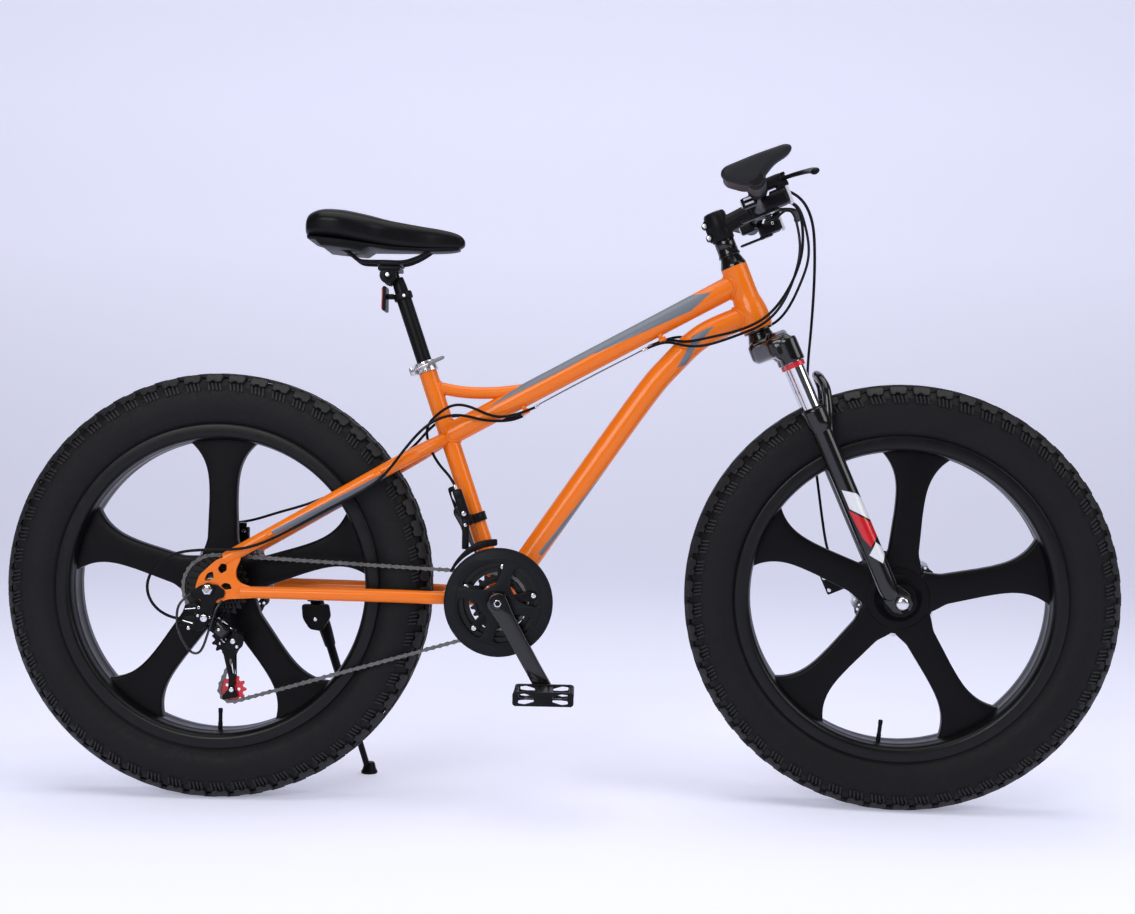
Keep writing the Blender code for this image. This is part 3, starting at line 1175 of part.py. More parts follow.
def hand_unit(name, side, parent):
    """The brake lever's bracket and the gear shifter under it, clamped round the bar."""
    y = side * HAND_UNIT_Y
    at = bar_point(y)
    clamp = bar_sleeve(side, HAND_UNIT_Y - 0.012, HAND_UNIT_Y + 0.012, 0.0165)
    bracket = box((0.030, 0.032, 0.026), (at.x + 0.0210, y - side * 0.002, at.z + 0.002), 0.004)
    ears = [box((0.022, 0.014, 0.0080), (at.x + 0.0400, y + side * 0.004, at.z - 0.0062), 0.0015),
            box((0.022, 0.014, 0.0050), (at.x + 0.0400, y + side * 0.004, at.z + 0.0101), 0.0015)]
    pod = box((0.036, 0.044, 0.024), (at.x + 0.017, y - side * 0.004, at.z - 0.0235), 0.005)
    window = box((0.026, 0.026, 0.018), (at.x - 0.020, y - side * 0.002, at.z - 0.012), 0.003)
    body = joined([clamp, bracket, pod, window] + ears)
    bore = bar_sleeve(side, HAND_UNIT_Y - 0.05, HAND_UNIT_Y + 0.05, around(BAR_RADIUS, 12))
    node(cut(body, [bore]), name, "plastic", parent)
    lever_pivot = empty(name.replace("hand_unit", "brake_lever") + "_pivot", parent,
                        (at.x + 0.0440, y + side * 0.004, at.z - 0.0019))
    hub = rod((0, 0, 0), (0, 0, 0.0090), 0.0065, sides=12)
    route = [(0.001, side * 0.002, 0.0045), (0.018, side * 0.020, 0.0030), (0.034, side * 0.044, -0.0010),
             (0.037, side * 0.080, -0.0040), (0.030, side * 0.118, -0.0060)]
    path = smooth_path(route, 2)
    radii = [0.0042 - 0.0010 * k / (len(path) - 1) for k in range(len(path))]
    radii[-1] = 0.0048
    blade = tube(path, 0.0040, 6, radii)
    node(joined([hub, blade]), name.replace("hand_unit", "brake_lever"), "black_metal", lever_pivot)
    shift_pivot = empty(name.replace("hand_unit", "shift_lever") + "_pivot", parent,
                        (at.x + 0.010, y - side * 0.004, at.z - 0.0358))
    disc = rod((0, 0, 0), (0, 0, -0.0060), 0.0130, sides=12)
    paddle = plate([[(0.0, -0.006), (0.0, 0.006), (-0.030, 0.011), (-0.050, 0.009), (-0.054, 0.0),
                     (-0.050, -0.007), (-0.030, -0.008)]], 0.0040)
    moved(paddle, Matrix.Translation((0, 0, -0.0035)) @ Matrix.Rotation(-pi / 2, 4, "X"))
    node(joined([disc, paddle]), name.replace("hand_unit", "shift_lever"), "plastic", shift_pivot)


# Seat
def saddle_outline(x):
    """Half width of the saddle at a distance from its rear, from the wide seat to the narrow nose."""
    stations = ((0.0, 0.034), (0.012, 0.058), (0.035, 0.072), (0.070, 0.074), (0.110, 0.058), (0.150, 0.036),
                (0.200, 0.024), (0.250, 0.0205), (0.275, 0.0150), (0.286, 0.0070))
    for (x0, w0), (x1, w1) in zip(stations, stations[1:]):
        if x <= x1:
            return w0 + (w1 - w0) * (x - x0) / (x1 - x0)
    return stations[-1][1]


SADDLE_REAR = 0.1434
RAIL_HEIGHT = 0.9643
SADDLE_STATIONS = ((0.000, 1.0330, 1.0080), (0.012, 1.0500, 1.0020), (0.035, 1.0560, 0.9995), (0.070, 1.0545, 0.9950),
                   (0.110, 1.0480, 0.9900), (0.150, 1.0390, 0.9880), (0.200, 1.0310, 0.9870), (0.240, 1.0255, 0.9872),
                   (0.268, 1.0190, 0.9900), (0.286, 1.0070, 0.9975))


def saddle_cover(parent):
    """The padded cover: crowned along its length, with its sides drawn in under it."""
    sections = []
    for x, top, low in SADDLE_STATIONS:
        half = saddle_outline(x)
        height = top - low
        shape = ((0.0, 0.0, -0.06), (0.50, 0.0, -0.03), (0.92, -0.20, 0.0), (1.00, -0.58, 0.0), (0.86, -0.96, 0.0),
                 (0.0, -1.00, 0.0))
        half_ring = [(half * u, top + height * v + height * w) for u, v, w in shape]
        ring_points = [(SADDLE_REAR + x, y, z) for y, z in half_ring]
        ring_points += [(SADDLE_REAR + x, -y, z) for y, z in reversed(half_ring[1:-1])]
        sections.append(ring_points)
    shape = loft(sections)
    soften = shape.modifiers.new("soften", "SUBSURF")
    soften.levels = 1
    soften.render_levels = 1
    shape = baked(shape)
    node(shape, "saddle_cover", "leatherette", parent)


def saddle_base(parent):
    """The plastic base under the cover and the two steel rails that the clamp holds."""
    sections = []
    for x, top, low in SADDLE_STATIONS[1:-1]:
        half = saddle_outline(x) * 0.84
        face = low + 0.0003
        foot = face - 0.0045 - 0.010 * (0.03 < x < 0.12)
        points = [(half, face), (half, foot + 0.002), (half * 0.8, foot), (-half * 0.8, foot), (-half, foot + 0.002),
                  (-half, face)]
        sections.append([(SADDLE_REAR + x, y, z) for y, z in points])
    body = loft(sections)
    rail_z = RAIL_HEIGHT
    shapes = [body]
    for side in (-1, 1):
        route = [(0.206, side * 0.030, 0.9860), (0.222, side * 0.0270, 0.9800), (0.238, side * 0.0230, 0.9675),
                 (0.252, side * 0.0220, rail_z), (0.285, side * 0.0220, rail_z), (0.318, side * 0.0220, rail_z),
                 (0.338, side * 0.0190, 0.9700), (0.356, side * 0.0150, 0.9790), (0.368, side * 0.0125, 0.9850)]
        shapes.append(tube(route, 0.0035, 8))
    node(joined(shapes), "saddle_base", "plastic", parent)


def seat_group():
    """The seatpost with its head, the saddle clamp and the saddle on it."""
    post_frame = empty("seatpost_slide", None, seat_point(SEAT_TUBE_LENGTH))
    tilt = Matrix.Rotation(-radians(90 - SEAT_ANGLE), 4, "Y")
    origin = seat_point(SEAT_TUBE_LENGTH)
    head_local = seat_point(SEAT_HEAD_REACH, 0, -0.0120) - origin
    low = 0.262 - SEAT_TUBE_LENGTH
    top = SEAT_HEAD_REACH - SEAT_TUBE_LENGTH - 0.007
    post = turned([(top, 0.0), (top, 0.0105), (top - 0.016, 0.0120), (top - 0.040, SEATPOST_RADIUS),
                   (low, SEATPOST_RADIUS), (low, 0.0)], 16, lying=False)
    moved(post, tilt)
    head = cross_rod(head_local.x, head_local.z, -0.0170, 0.0170, 0.0120, 16)
    neck = rod(head_local + Vector((0.010, 0, -0.012)), head_local, 0.0090, sides=12)
    node(joined([post, neck, head]), "seatpost", "black_metal", post_frame)
    clamp_frame = empty("saddle_clamp_pivot", post_frame, head_local)
    gap = around(0.0120, 16)
    block = joined([box((0.044, 0.060, 0.018), (0.002, 0, 0.0165), 0.002),
                    plate_between([circle(0.0155, count=12)], -0.0173, -0.0260),
                    plate_between([circle(0.0155, count=12)], 0.0173, 0.0260)])
    rail_z = RAIL_HEIGHT - SADDLE_DATUM[1]
    channels = [rod((-0.05, y, rail_z), (0.06, y, rail_z), around(0.0035, 8), sides=8) for y in (-0.022, 0.022)]
    well = cross_rod(0, 0, -0.0173, 0.0173, gap, 16)
    node(cut(block, channels + [well]), "saddle_clamp", "black_metal", clamp_frame)
    saddle = empty("saddle_frame", clamp_frame, (-SADDLE_DATUM[0], 0, -SADDLE_DATUM[1]))
    saddle_base(saddle)
    saddle_cover(saddle)
    at = seat_point(SEAT_HEAD_REACH - 0.0415) - origin
    band = moved(ring(around(SEATPOST_RADIUS, 16), 0.0172, -0.006, 0.006, lying=False),
                 Matrix.Translation(at) @ tilt)
    arm = box((0.0160, 0.010, 0.010), (at.x - 0.0242, 0, at.z - 0.001), 0.001)
    lens = box((0.0090, 0.044, 0.044), (at.x - 0.0330, 0, at.z - 0.006), 0.002)
    node(joined([band, arm, lens]), "reflector", "red_plastic", post_frame)


def seat_quick_release():
    """The cam lever beside the seat collar."""
    pivot = empty("seat_quick_release_pivot", None, seat_point(SEAT_TUBE_LENGTH - 0.0075, -0.0153, -0.0245),
                  Matrix.Rotation(-radians(90 - SEAT_ANGLE), 3, "Y"))
    barrel = rod((0, 0, -0.007), (0, 0, 0.007), 0.0040, sides=12)
    blade = tube(smooth_path([(0, -0.001, 0), (0.010, -0.0085, 0.001), (0.030, -0.0100, 0.003),
                              (0.058, -0.0070, 0.006)], 3), 0.0034, 8)
    node(joined([barrel, blade]), "seat_quick_release", "chrome", pivot)


# Cables
HOUSING = 0.0025
WIRE = 0.0009


SPAN_STEPS = 1


def cable(name, route, bare):
    """A cable along its route: housing, with bare wire between the given points' numbers."""
    path = smooth_path(route, SPAN_STEPS)
    radii = []
    for index in range(len(path)):
        at = index / SPAN_STEPS
        radii.append(WIRE if any(low + 0.01 < at < high - 0.01 for low, high in bare) else HOUSING)
    node(tube(path, HOUSING, 6, radii), name, "rubber")


def front_world(x, y, z):
    """World place of a point of the turned front end."""
    return tuple(head_foot() + HEAD_TILT @ (STEER_TURN @ Vector((x, y, z))))


def leg_world(x, y, z):
    """World place of a point beside the fork's legs, measured from the crown's foot."""
    return front_world(*(CROWN_FOOT + LEG_TILT @ Vector((x, y, z))))


def unit_exit(side, pod):
    """First points of a cable that leaves the inner side of a hand unit: from the shifter's pod, or from the bracket."""
    y = HAND_UNIT_Y - (0.0260 if pod else 0.0180) - CLEARANCE
    z = BAR_HEIGHT + BAR_RISE + (-0.0235 if pod else 0.0020)
    return [front_world(0.1000, side * y, z), front_world(0.1010, side * (y - 0.008), z)]


def cable_routes():
    """The four cables' routes, each whole, from its hand unit to its brake or derailleur, with their bare stretches."""
    rear_shift = unit_exit(-1, True) + [
        front_world(0.1200, -0.146, 0.175), front_world(0.145, -0.132, 0.150),
        front_world(0.150, -0.080, 0.090), *lifted((1.030, -0.058, 0.918), (0.965, -0.056, 0.872),
        (0.880, -0.046, 0.8400), (0.820, -0.024, 0.8280)), under_top_tube(0.780, 0.0, 0.029),
        under_top_tube(0.700, 0.0), under_top_tube(0.550, 0.0), under_top_tube(0.515, -0.006, 0.034),
        *lifted((0.482, -0.0260, 0.6720), (0.440, -0.0340, 0.7000), (0.400, -0.0500, 0.6860),
        (0.365, -0.0860, 0.6500), (0.325, -0.0920, 0.6020), (0.290, -0.0900, 0.5720), (0.200, -0.0910, 0.5200),
        (0.110, -0.0970, 0.4700), (0.060, -0.1040, 0.4520), (0.000, -0.1080, 0.4500),
        (-0.060, -0.1080, 0.4420), (-0.098, -0.1080, 0.4100), (-0.106, -0.1040, 0.3740),
        (-0.088, -0.0980, 0.3420), (-0.056, -0.0910, 0.3260), (-0.032, -0.0870, 0.3270),
        (-0.0168, -0.0850, 0.3300))]
    front_shift = unit_exit(1, True) + [
        front_world(0.1220, 0.145, 0.172), front_world(0.150, 0.122, 0.145), front_world(0.158, 0.020, 0.070),
        *lifted((1.055, -0.030, 0.905), (1.000, -0.064, 0.876), (0.930, -0.070, 0.846), (0.855, -0.056, 0.820),
        (0.812, -0.034, 0.8240)), under_top_tube(0.772, -0.010, 0.031), under_top_tube(0.690, -0.010),
        under_top_tube(0.570, -0.010), under_top_tube(0.540, -0.014, 0.029), *lifted((0.503, -0.0280, 0.6950),
        (0.468, -0.0320, 0.7250), (0.430, -0.0320, 0.7400), (0.397, -0.0290, 0.7250), (0.373, -0.0260, 0.6980),
        (0.363, -0.0080, 0.6700), (0.372, 0.0000, 0.6300), (0.392, -0.0180, 0.6000),
        (0.4145, -0.0440, 0.5820)), tuple(seat_point(0.2096, -0.0470, -0.012))]
    rear_brake = unit_exit(1, False) + [
        front_world(0.130, 0.152, 0.200), front_world(0.162, 0.112, 0.175), front_world(0.172, 0.070, 0.110),
        *lifted((1.060, 0.050, 0.925), (1.000, 0.056, 0.888), (0.930, 0.056, 0.860), (0.860, 0.042, 0.836)),
        under_top_tube(0.795, 0.010, 0.032), under_top_tube(0.700, 0.010), under_top_tube(0.550, 0.010),
        under_top_tube(0.515, 0.018, 0.029), *lifted((0.475, 0.0300, 0.6860), (0.435, 0.0340, 0.7020),
        (0.398, 0.0500, 0.7000), (0.362, 0.0800, 0.6660), (0.325, 0.0950, 0.6300), (0.250, 0.0960, 0.5800),
        (0.150, 0.0940, 0.5300), (0.075, 0.0940, 0.5060), (0.030, 0.0910, 0.4910), (0.002, 0.0860, 0.4865),
        (-0.0090, 0.0790, 0.4862), (-0.0090, 0.0717, 0.4862))]
    front_brake = unit_exit(-1, False) + [
        front_world(0.130, -0.156, 0.196), front_world(0.165, -0.142, 0.165),
        front_world(0.180, -0.080, 0.110), front_world(0.165, -0.010, 0.040),
        front_world(0.120, 0.040, -0.030), front_world(0.092, 0.052, -0.120),
        front_world(0.072, 0.0980, -0.200), leg_world(0.010, 0.0985, -0.200),
        leg_world(-0.022, 0.0985, -0.275), leg_world(-0.045, 0.0900, -0.330),
        leg_world(-0.0620, 0.0780, -0.3575), leg_world(-0.0765, 0.0761, -0.3600)]
    return {"rear_shift_cable": (rear_shift, ((10, 11),)), "front_shift_cable": (front_shift, ((11, 12),)),
            "rear_brake_cable": (rear_brake, ((10, 11),)), "front_brake_cable": (front_brake, ())}


def cables():
    for name, (route, bare) in cable_routes().items():
        cable(name, route, bare)


def build():
    clear_scene()
    parts = bpy.data.collections.new("fat_tire_bike")
    bpy.context.scene.collection.children.link(parts)
    main_frame()
    bottom_bracket()
    seat_collar()
    rear_axle()
    rear_hanger()
    rear_caliper()
    kickstand()
    rear_hub = empty("rear_hub", None, (0, 0, WHEEL_RADIUS))
    wheel("rear_wheel", rear_hub, 90, -0.0440, 0.0720, REAR_ROTOR_Y, -0.0790)
    tyre("rear_tyre", rear_hub)
    rotor("rear_rotor", rear_hub, REAR_ROTOR_Y)
    freewheel(empty("freewheel_axis", None, (0, 0, WHEEL_RADIUS)))
    crank = empty("crank_axis", None, (BB_X, 0, BB_HEIGHT))
    node(cross_rod(0, 0, -0.0985, 0.0985, SPINDLE_RADIUS, 16), "crank_spindle", "steel", crank)
    angle = radians(CRANK_ANGLE)
    right_tip = crank_arm("crank_arm_right", -1, crank, angle)
    left_tip = crank_arm("crank_arm_left", 1, crank, angle + pi)
    chainrings(crank)
    chain_guard(crank, angle)
    pedal("pedal_right", -1, empty("pedal_right_axis", crank, (right_tip.x, 0, right_tip.y)), 0.0)
    pedal("pedal_left", 1, empty("pedal_left_axis", crank, (left_tip.x, 0, left_tip.y)), radians(70))
    chain()
    derailleur()
    front_derailleur()
    head = empty("head_axis", None, head_foot(), HEAD_TILT)
    steering = empty("steering", head, (0, 0, 0), STEER_TURN)
    slide = empty("fork_slide", steering, CROWN_FOOT, LEG_TILT)
    fork_crown(steering)
    stanchion("stanchion_right", -1, empty("stanchion_frame_right", steering, CROWN_FOOT, LEG_TILT))
    stanchion("stanchion_left", 1, empty("stanchion_frame_left", steering, CROWN_FOOT, LEG_TILT))
    stem(steering)
    handlebar(steering)
    for side, word in ((-1, "right"), (1, "left")):
        grip("grip_" + word, side, steering)
        hand_unit("hand_unit_" + word, side, steering)
    fork_lowers(slide)
    front_axle(slide)
    front_quick_release(slide)
    front_caliper(slide)
    front_hub = empty("front_hub", slide, (FORK_AXLE_LEAD, 0, -FORK_AXLE_DROP), level_turn())
    wheel("front_wheel", front_hub, 84, -0.0520, 0.0540, FRONT_ROTOR_Y, 0)
    tyre("front_tyre", front_hub)
    rotor("front_rotor", front_hub, FRONT_ROTOR_Y)
    seat_group()
    seat_quick_release()
    cables()
    bpy.context.view_layer.update()


build()
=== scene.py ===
"""Looks of the fat tire bike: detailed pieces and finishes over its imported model, with a studio and a camera.

Lengths are in metres, with +X forward, +Y to the rider's left and +Z up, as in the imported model.
"""
from math import acos, atan2, cos, pi, radians, sin, sqrt

import bmesh
import bpy
import numpy as np
from bpy.props import FloatProperty, FloatVectorProperty, IntProperty, PointerProperty
from mathutils import Matrix, Vector
from mathutils.geometry import tessellate_polygon


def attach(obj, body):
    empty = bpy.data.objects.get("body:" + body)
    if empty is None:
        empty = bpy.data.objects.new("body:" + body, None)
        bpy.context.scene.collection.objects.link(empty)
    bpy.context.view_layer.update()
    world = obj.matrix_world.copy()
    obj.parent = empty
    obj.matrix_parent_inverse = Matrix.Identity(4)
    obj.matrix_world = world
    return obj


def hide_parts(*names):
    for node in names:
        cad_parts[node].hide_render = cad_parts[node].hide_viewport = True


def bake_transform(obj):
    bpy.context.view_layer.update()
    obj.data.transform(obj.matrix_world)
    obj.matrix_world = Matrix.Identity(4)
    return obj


bl_info = {"name": "Fat tire bike", "version": (1, 0, 0), "blender": (4, 5, 0),
    "location": "3D View > Sidebar > Fat tire bike",
    "description": "Builds the pieces, finishes and studio of a fat tire bike over its packed model",
    "category": "Object",}

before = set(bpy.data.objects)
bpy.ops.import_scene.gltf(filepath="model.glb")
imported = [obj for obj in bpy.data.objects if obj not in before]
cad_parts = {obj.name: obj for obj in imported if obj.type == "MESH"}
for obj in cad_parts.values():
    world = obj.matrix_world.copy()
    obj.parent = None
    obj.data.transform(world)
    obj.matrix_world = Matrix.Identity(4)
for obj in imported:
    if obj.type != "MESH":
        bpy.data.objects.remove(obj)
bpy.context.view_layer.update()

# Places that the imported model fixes
AXLE_HEIGHT = 0.38
CRANK_X = 0.5045
CRANK_Z = 0.366
CHAIN_PITCH = 0.0127
RING_TEETH = (42, 34, 24)
RING_PLANES = (-0.0775, -0.0705, -0.0635)
SPROCKET_TEETH = (28, 24, 22, 20, 18, 16, 14)
SPROCKET_FIRST = -0.0505
GUIDE_PULLEY = (0.0205, 0.2865)
TENSION_PULLEY = (0.0335, 0.1995)
HANGER_BOLT = (-0.006, 0.33)
KNUCKLE_PIVOT = (0.044, 0.29)
LINK_Y = -0.082
BAR_FORWARD = 0.0795
BAR_HEIGHT = 0.2031
BAR_HALF = 0.335
HAND_Y = 0.192
LEG_SPREAD = 0.0735
CRANK_LENGTH = 0.17
FRONT_AXLE_X = 1.2147
FORK_ROOT = (0.0345, 0.0, -0.0773)
FORK_HUB = (0.0121, 0.0, -0.46)
CONTACT_HALF = 0.025
CRANK_TURN = radians(-60.4)


def at(x=0.0, y=0.0, z=0.0):
    """A shift, as a 4 x 4 matrix."""
    return Matrix.Translation((x, y, z))


def turn(degrees, axis):
    """A turn about an axis, as a 4 x 4 matrix."""
    return Matrix.Rotation(radians(degrees), 4, axis)


HEAD_TILT = turn(-22.0, "Y")
STEER_TURN = turn(-6.5, "Z")
LEG_TILT = turn(-1.74, "Y")
FORK_AXLE = Vector(FORK_ROOT) + LEG_TILT.to_3x3() @ Vector(FORK_HUB)
SPIN_SLOPE = abs((HEAD_TILT @ STEER_TURN).col[1].z)
FRONT_HEIGHT = AXLE_HEIGHT * sqrt(1 - SPIN_SLOPE ** 2) + CONTACT_HALF * SPIN_SLOPE
HEAD_FOOT = Vector((FRONT_AXLE_X - (HEAD_TILT @ FORK_AXLE).x, 0.0, FRONT_HEIGHT
    - (HEAD_TILT @ STEER_TURN @ FORK_AXLE).z))
HEAD = at(*HEAD_FOOT) @ HEAD_TILT
FRONT = HEAD @ STEER_TURN
FORK = FRONT @ at(*FORK_ROOT) @ LEG_TILT
FORK_DOWN = FORK.to_3x3().transposed() @ Vector((0, 0, -1))
FRONT_HUB = FORK @ at(*FORK_HUB) @ Matrix.Rotation(atan2(-FORK_DOWN.x, -FORK_DOWN.z), 4, "Y")
REAR_HUB = at(0, 0, AXLE_HEIGHT)
CRANK = at(CRANK_X, 0, CRANK_Z)
SEAT = CRANK @ turn(-19.1, "Y")
# Lays a flat drawing in the X-Z plane
ACROSS = Matrix(((1, 0, 0, 0), (0, 0, 1, 0), (0, 1, 0, 0), (0, 0, 0, 1)))


def spot(place, x=0.0, y=0.0, z=0.0):
    """World place of a point that is given in a frame."""
    return np.array(place @ Vector((x, y, z)))


# Surfaces
def carried(points, place):
    """Points moved by a 4 x 4 matrix: each is the matrix's turn times the point, plus its shift."""
    grid = np.array(place, dtype=float)
    return points @ grid[:3, :3].T + grid[:3, 3]


class Skin:
    """Surfaces gathered as arrays of points and faces, which become one mesh with the named finishes."""

    def __init__(self, *finishes):
        self.finishes = finishes
        self.points = []
        self.faces = []
        self.marks = []
        self.total = 0

    def add(self, points, faces, mark=0, place=None):
        """Adds points and blocks of faces with one finish's number, moved by a matrix where one is given."""
        points = np.asarray(points, dtype=float).reshape(-1, 3)
        if place is not None:
            points = carried(points, place)
        self.points.append(points)
        for block in faces:
            self.faces.append(np.asarray(block) + self.total)
            self.marks.append(np.full(len(block), mark))
        self.total += len(points)

    def mesh(self, name):
        """The gathered surfaces as one mesh, with doubles merged and faces turned outwards."""
        mesh = bpy.data.meshes.new(name)
        faces = [face for block in self.faces for face in block.tolist()]
        mesh.from_pydata(np.vstack(self.points), [], faces)
        mesh.polygons.foreach_set("material_index", np.concatenate(self.marks).astype(np.int32))
        form = bmesh.new()
        form.from_mesh(mesh)
        bmesh.ops.remove_doubles(form, verts=form.verts, dist=2e-6)
        bmesh.ops.recalc_face_normals(form, faces=form.faces)
        form.to_mesh(mesh)
        form.free()
        return mesh


def grid_faces(rows, columns, wrap_rows=False, wrap_columns=True):
    """Four-sided faces between neighbouring rows and columns of a grid of points."""
    index = np.arange(rows * columns).reshape(rows, columns)
    if wrap_rows:
        index = np.vstack([index, index[:1]])
    if wrap_columns:
        index = np.hstack([index, index[:, :1]])
    return np.stack([index[:-1, :-1], index[1:, :-1], index[1:, 1:], index[:-1, 1:]], axis=-1).reshape(-1, 4)


def rolled(skin, grid, mark=0, place=None, closed=False):
    """A skin over a row of closed rings: faces between neighbours, and a flat fan over each end unless it
    closes."""
    rows, columns = grid.shape[:2]
    faces = [grid_faces(rows, columns, closed)]
    points = grid.reshape(-1, 3)
    if not closed:
        points = np.vstack([points, grid[0].mean(axis=0), grid[-1].mean(axis=0)])
        step = np.arange(columns)
        after = (step + 1) % columns
        hub = np.full(columns, rows * columns)
        last = (rows - 1) * columns
        faces.append(np.stack([hub, after, step], axis=-1))
        faces.append(np.stack([hub + 1, last + step, last + after], axis=-1))
    skin.add(points, faces, mark, place)


def ring_angles(count, phase=0.0):
    """Even angles round a full turn, from the first one on."""
    return phase + np.arange(count) * 2 * pi / count


def turned(skin, profile, place=None, steps=40, mark=0, closed=False):
    """A turned shape about its frame's Z: height h and radius r of the profile give (r cos a, r sin a, h)."""
    profile = np.asarray(profile, dtype=float)
    angle = ring_angles(steps)
    height, radius = profile[:, :1], profile[:, 1:]
    grid = np.stack([radius * np.cos(angle), radius * np.sin(angle), height + 0 * angle], axis=-1)
    rolled(skin, grid, mark, place, closed)


def eased(points, radius, steps=4, closed=True):
    """The same line with rounded corners: a parabola joins the points a radius before and after each
    corner."""
    points = np.asarray(points, dtype=float)
    before = np.roll(points, 1, axis=0) - points
    after = np.roll(points, -1, axis=0) - points
    reach_before = np.linalg.norm(before, axis=1, keepdims=True)
    reach_after = np.linalg.norm(after, axis=1, keepdims=True)
    cut = np.minimum(radius, 0.48 * np.minimum(reach_before, reach_after))
    start = points + before / reach_before * cut
    end = points + after / reach_after * cut
    t = np.linspace(0, 1, steps + 1)[None, :, None]
    curve = (1 - t) ** 2 * start[:, None] + 2 * t * (1 - t) * points[:, None] + t ** 2 * end[:, None]
    if closed:
        return curve.reshape(-1, points.shape[1])
    middle = curve[1:-1].reshape(-1, points.shape[1])
    return np.vstack([points[:1], middle, points[-1:]])


def smooth_path(points, steps=6, closed=False):
    """A cubic curve through the points, whose slope at each one is half the step between its neighbours."""
    guide = np.asarray(points, dtype=float)
    if closed:
        a, b, c, d = (np.roll(guide, shift, axis=0) for shift in (1, 0, -1, -2))
    else:
        wide = np.vstack([guide[:1], guide, guide[-1:]])
        a, b, c, d = wide[:-3], wide[1:-2], wide[2:-1], wide[3:]
    t = (np.arange(steps) / steps)[None, :, None]
    a, b, c, d = (part[:, None] for part in (a, b, c, d))
    curve = 0.5 * (2 * b + (c - a) * t + (2 * a - 5 * b + 4 * c - d) * t ** 2 + (3 * b - a - 3 * c + d)
        * t ** 3)
    path = curve.reshape(-1, guide.shape[1])
    return path if closed else np.vstack([path, guide[-1:]])


def directions(path, closed=False, up=None):
    """Along, side and up directions at each point of a path, carried on without twisting or held to a fixed
    up."""
    ahead = np.roll(path, -1, axis=0) - np.roll(path, 1, axis=0) if closed else np.gradient(path, axis=0)
    ahead = ahead / np.linalg.norm(ahead, axis=1, keepdims=True)
    if up is not None:
        side = np.cross(np.asarray(up, dtype=float), ahead)
        side /= np.linalg.norm(side, axis=1, keepdims=True)
        return ahead, side, np.cross(ahead, side)
    side = np.empty_like(ahead)
    last = np.eye(3)[np.argmin(np.abs(ahead[0]))]
    for row, direction in enumerate(ahead):
        last = last - direction * (last @ direction)
        last = last / np.linalg.norm(last)
        side[row] = last
    return ahead, side, np.cross(ahead, side)


def swept(skin, path, section, scale=1.0, mark=0, place=None, closed=False, up=None):
    """A profile carried along a path: a profile point (p, q) becomes the path's point + side p + up q, times
    scale."""
    path = np.asarray(path, dtype=float)
    _, side, rise = directions(path, closed, up)
    section = np.asarray(section, dtype=float)
    scale = np.broadcast_to(np.asarray(scale, dtype=float).reshape(-1, 1), (len(path), 1))
    grid = (path[:, None] + (side[:, None] * section[None, :, :1] + rise[:, None] * section[None, :, 1:])
        * scale[:, :, None])
    rolled(skin, grid, mark, place, closed)


def circle(radius, count=24, centre=(0.0, 0.0), phase=0.0):
    """Points at (radius cos a, radius sin a) from a centre."""
    angle = ring_angles(count, phase)
    return np.stack([centre[0] + radius * np.cos(angle), centre[1] + radius * np.sin(angle)], axis=-1)


def pipe(skin, path, radius, sides=16, mark=0, place=None, closed=False, domed=False, flat=1.0, up=None):
    """A round or flattened bar along a path. With domed ends the radius falls as the cosine of the end's
    turn."""
    path = np.asarray(path, dtype=float)
    radius = np.broadcast_to(np.asarray(radius, dtype=float), (len(path),)).copy()
    if domed:
        t = np.array([1.0, 0.92, 0.74, 0.4]) * pi / 2
        first = path[0] + (path[0] - path[1]) / np.linalg.norm(path[0] - path[1]) * (np.sin(t)
            * radius[0])[:, None]
        end = (path[-1] - path[-2]) / np.linalg.norm(path[-1] - path[-2])
        last = path[-1] + end * (np.sin(t[::-1]) * radius[-1])[:, None]
        radius = np.concatenate([np.cos(t) * radius[0] + 1e-5, radius, np.cos(t[::-1]) * radius[-1] + 1e-5])
        path = np.vstack([first, path, last])
    swept(skin, path, circle(1.0, sides) * (1.0, flat), radius, mark, place, closed, up)


def rod(skin, start, end, radius, sides=20, mark=0, place=None, edge=0.0, end_radius=None):
    """A straight bar or cone between two points, with its end edges eased by a quarter turn."""
    start, end = np.asarray(start, dtype=float), np.asarray(end, dtype=float)
    along = (end - start) / np.linalg.norm(end - start)
    final = radius if end_radius is None else end_radius
    if edge:
        t = np.array([0.0, 0.35, 0.7, 1.0]) * pi / 2
        low = start + along * (edge * (1 - np.sin(t)))[:, None]
        high = end - along * (edge * (1 - np.sin(t[::-1])))[:, None]
        path = np.vstack([low, high])
        drop = edge * (1 - np.cos(t))
        order = np.argsort(((path - start) @ along))
        path, radii = path[order], np.concatenate([(radius - drop)[::-1], (final - drop)])
    else:
        path, radii = np.vstack([start, end]), np.array([radius, final])
    guide = np.eye(3)[np.argmin(np.abs(along))]
    swept(skin, path, circle(1.0, sides), radii, mark, place, up=guide)


def inset(outline, distance):
    """The outline moved to its left: each point goes along the middle of its two sides' normals."""
    before = outline - np.roll(outline, 1, axis=0)
    after = np.roll(outline, -1, axis=0) - outline
    before /= np.linalg.norm(before, axis=1, keepdims=True)
    after /= np.linalg.norm(after, axis=1, keepdims=True)
    first = np.stack([-before[:, 1], before[:, 0]], axis=-1)
    middle = first + np.stack([-after[:, 1], after[:, 0]], axis=-1)
    middle /= np.linalg.norm(middle, axis=1, keepdims=True)
    return outline + middle * distance / np.clip((middle * first).sum(axis=1, keepdims=True), 0.45, 1.0)


def wound(outline, left):
    """The outline in the order that has its inside on the left, or on the right."""
    outline = np.asarray(outline, dtype=float)
    x, y = outline[:, 0], outline[:, 1]
    area = (x * np.roll(y, -1) - y * np.roll(x, -1)).sum()
    return outline if (area > 0) == left else outline[::-1]


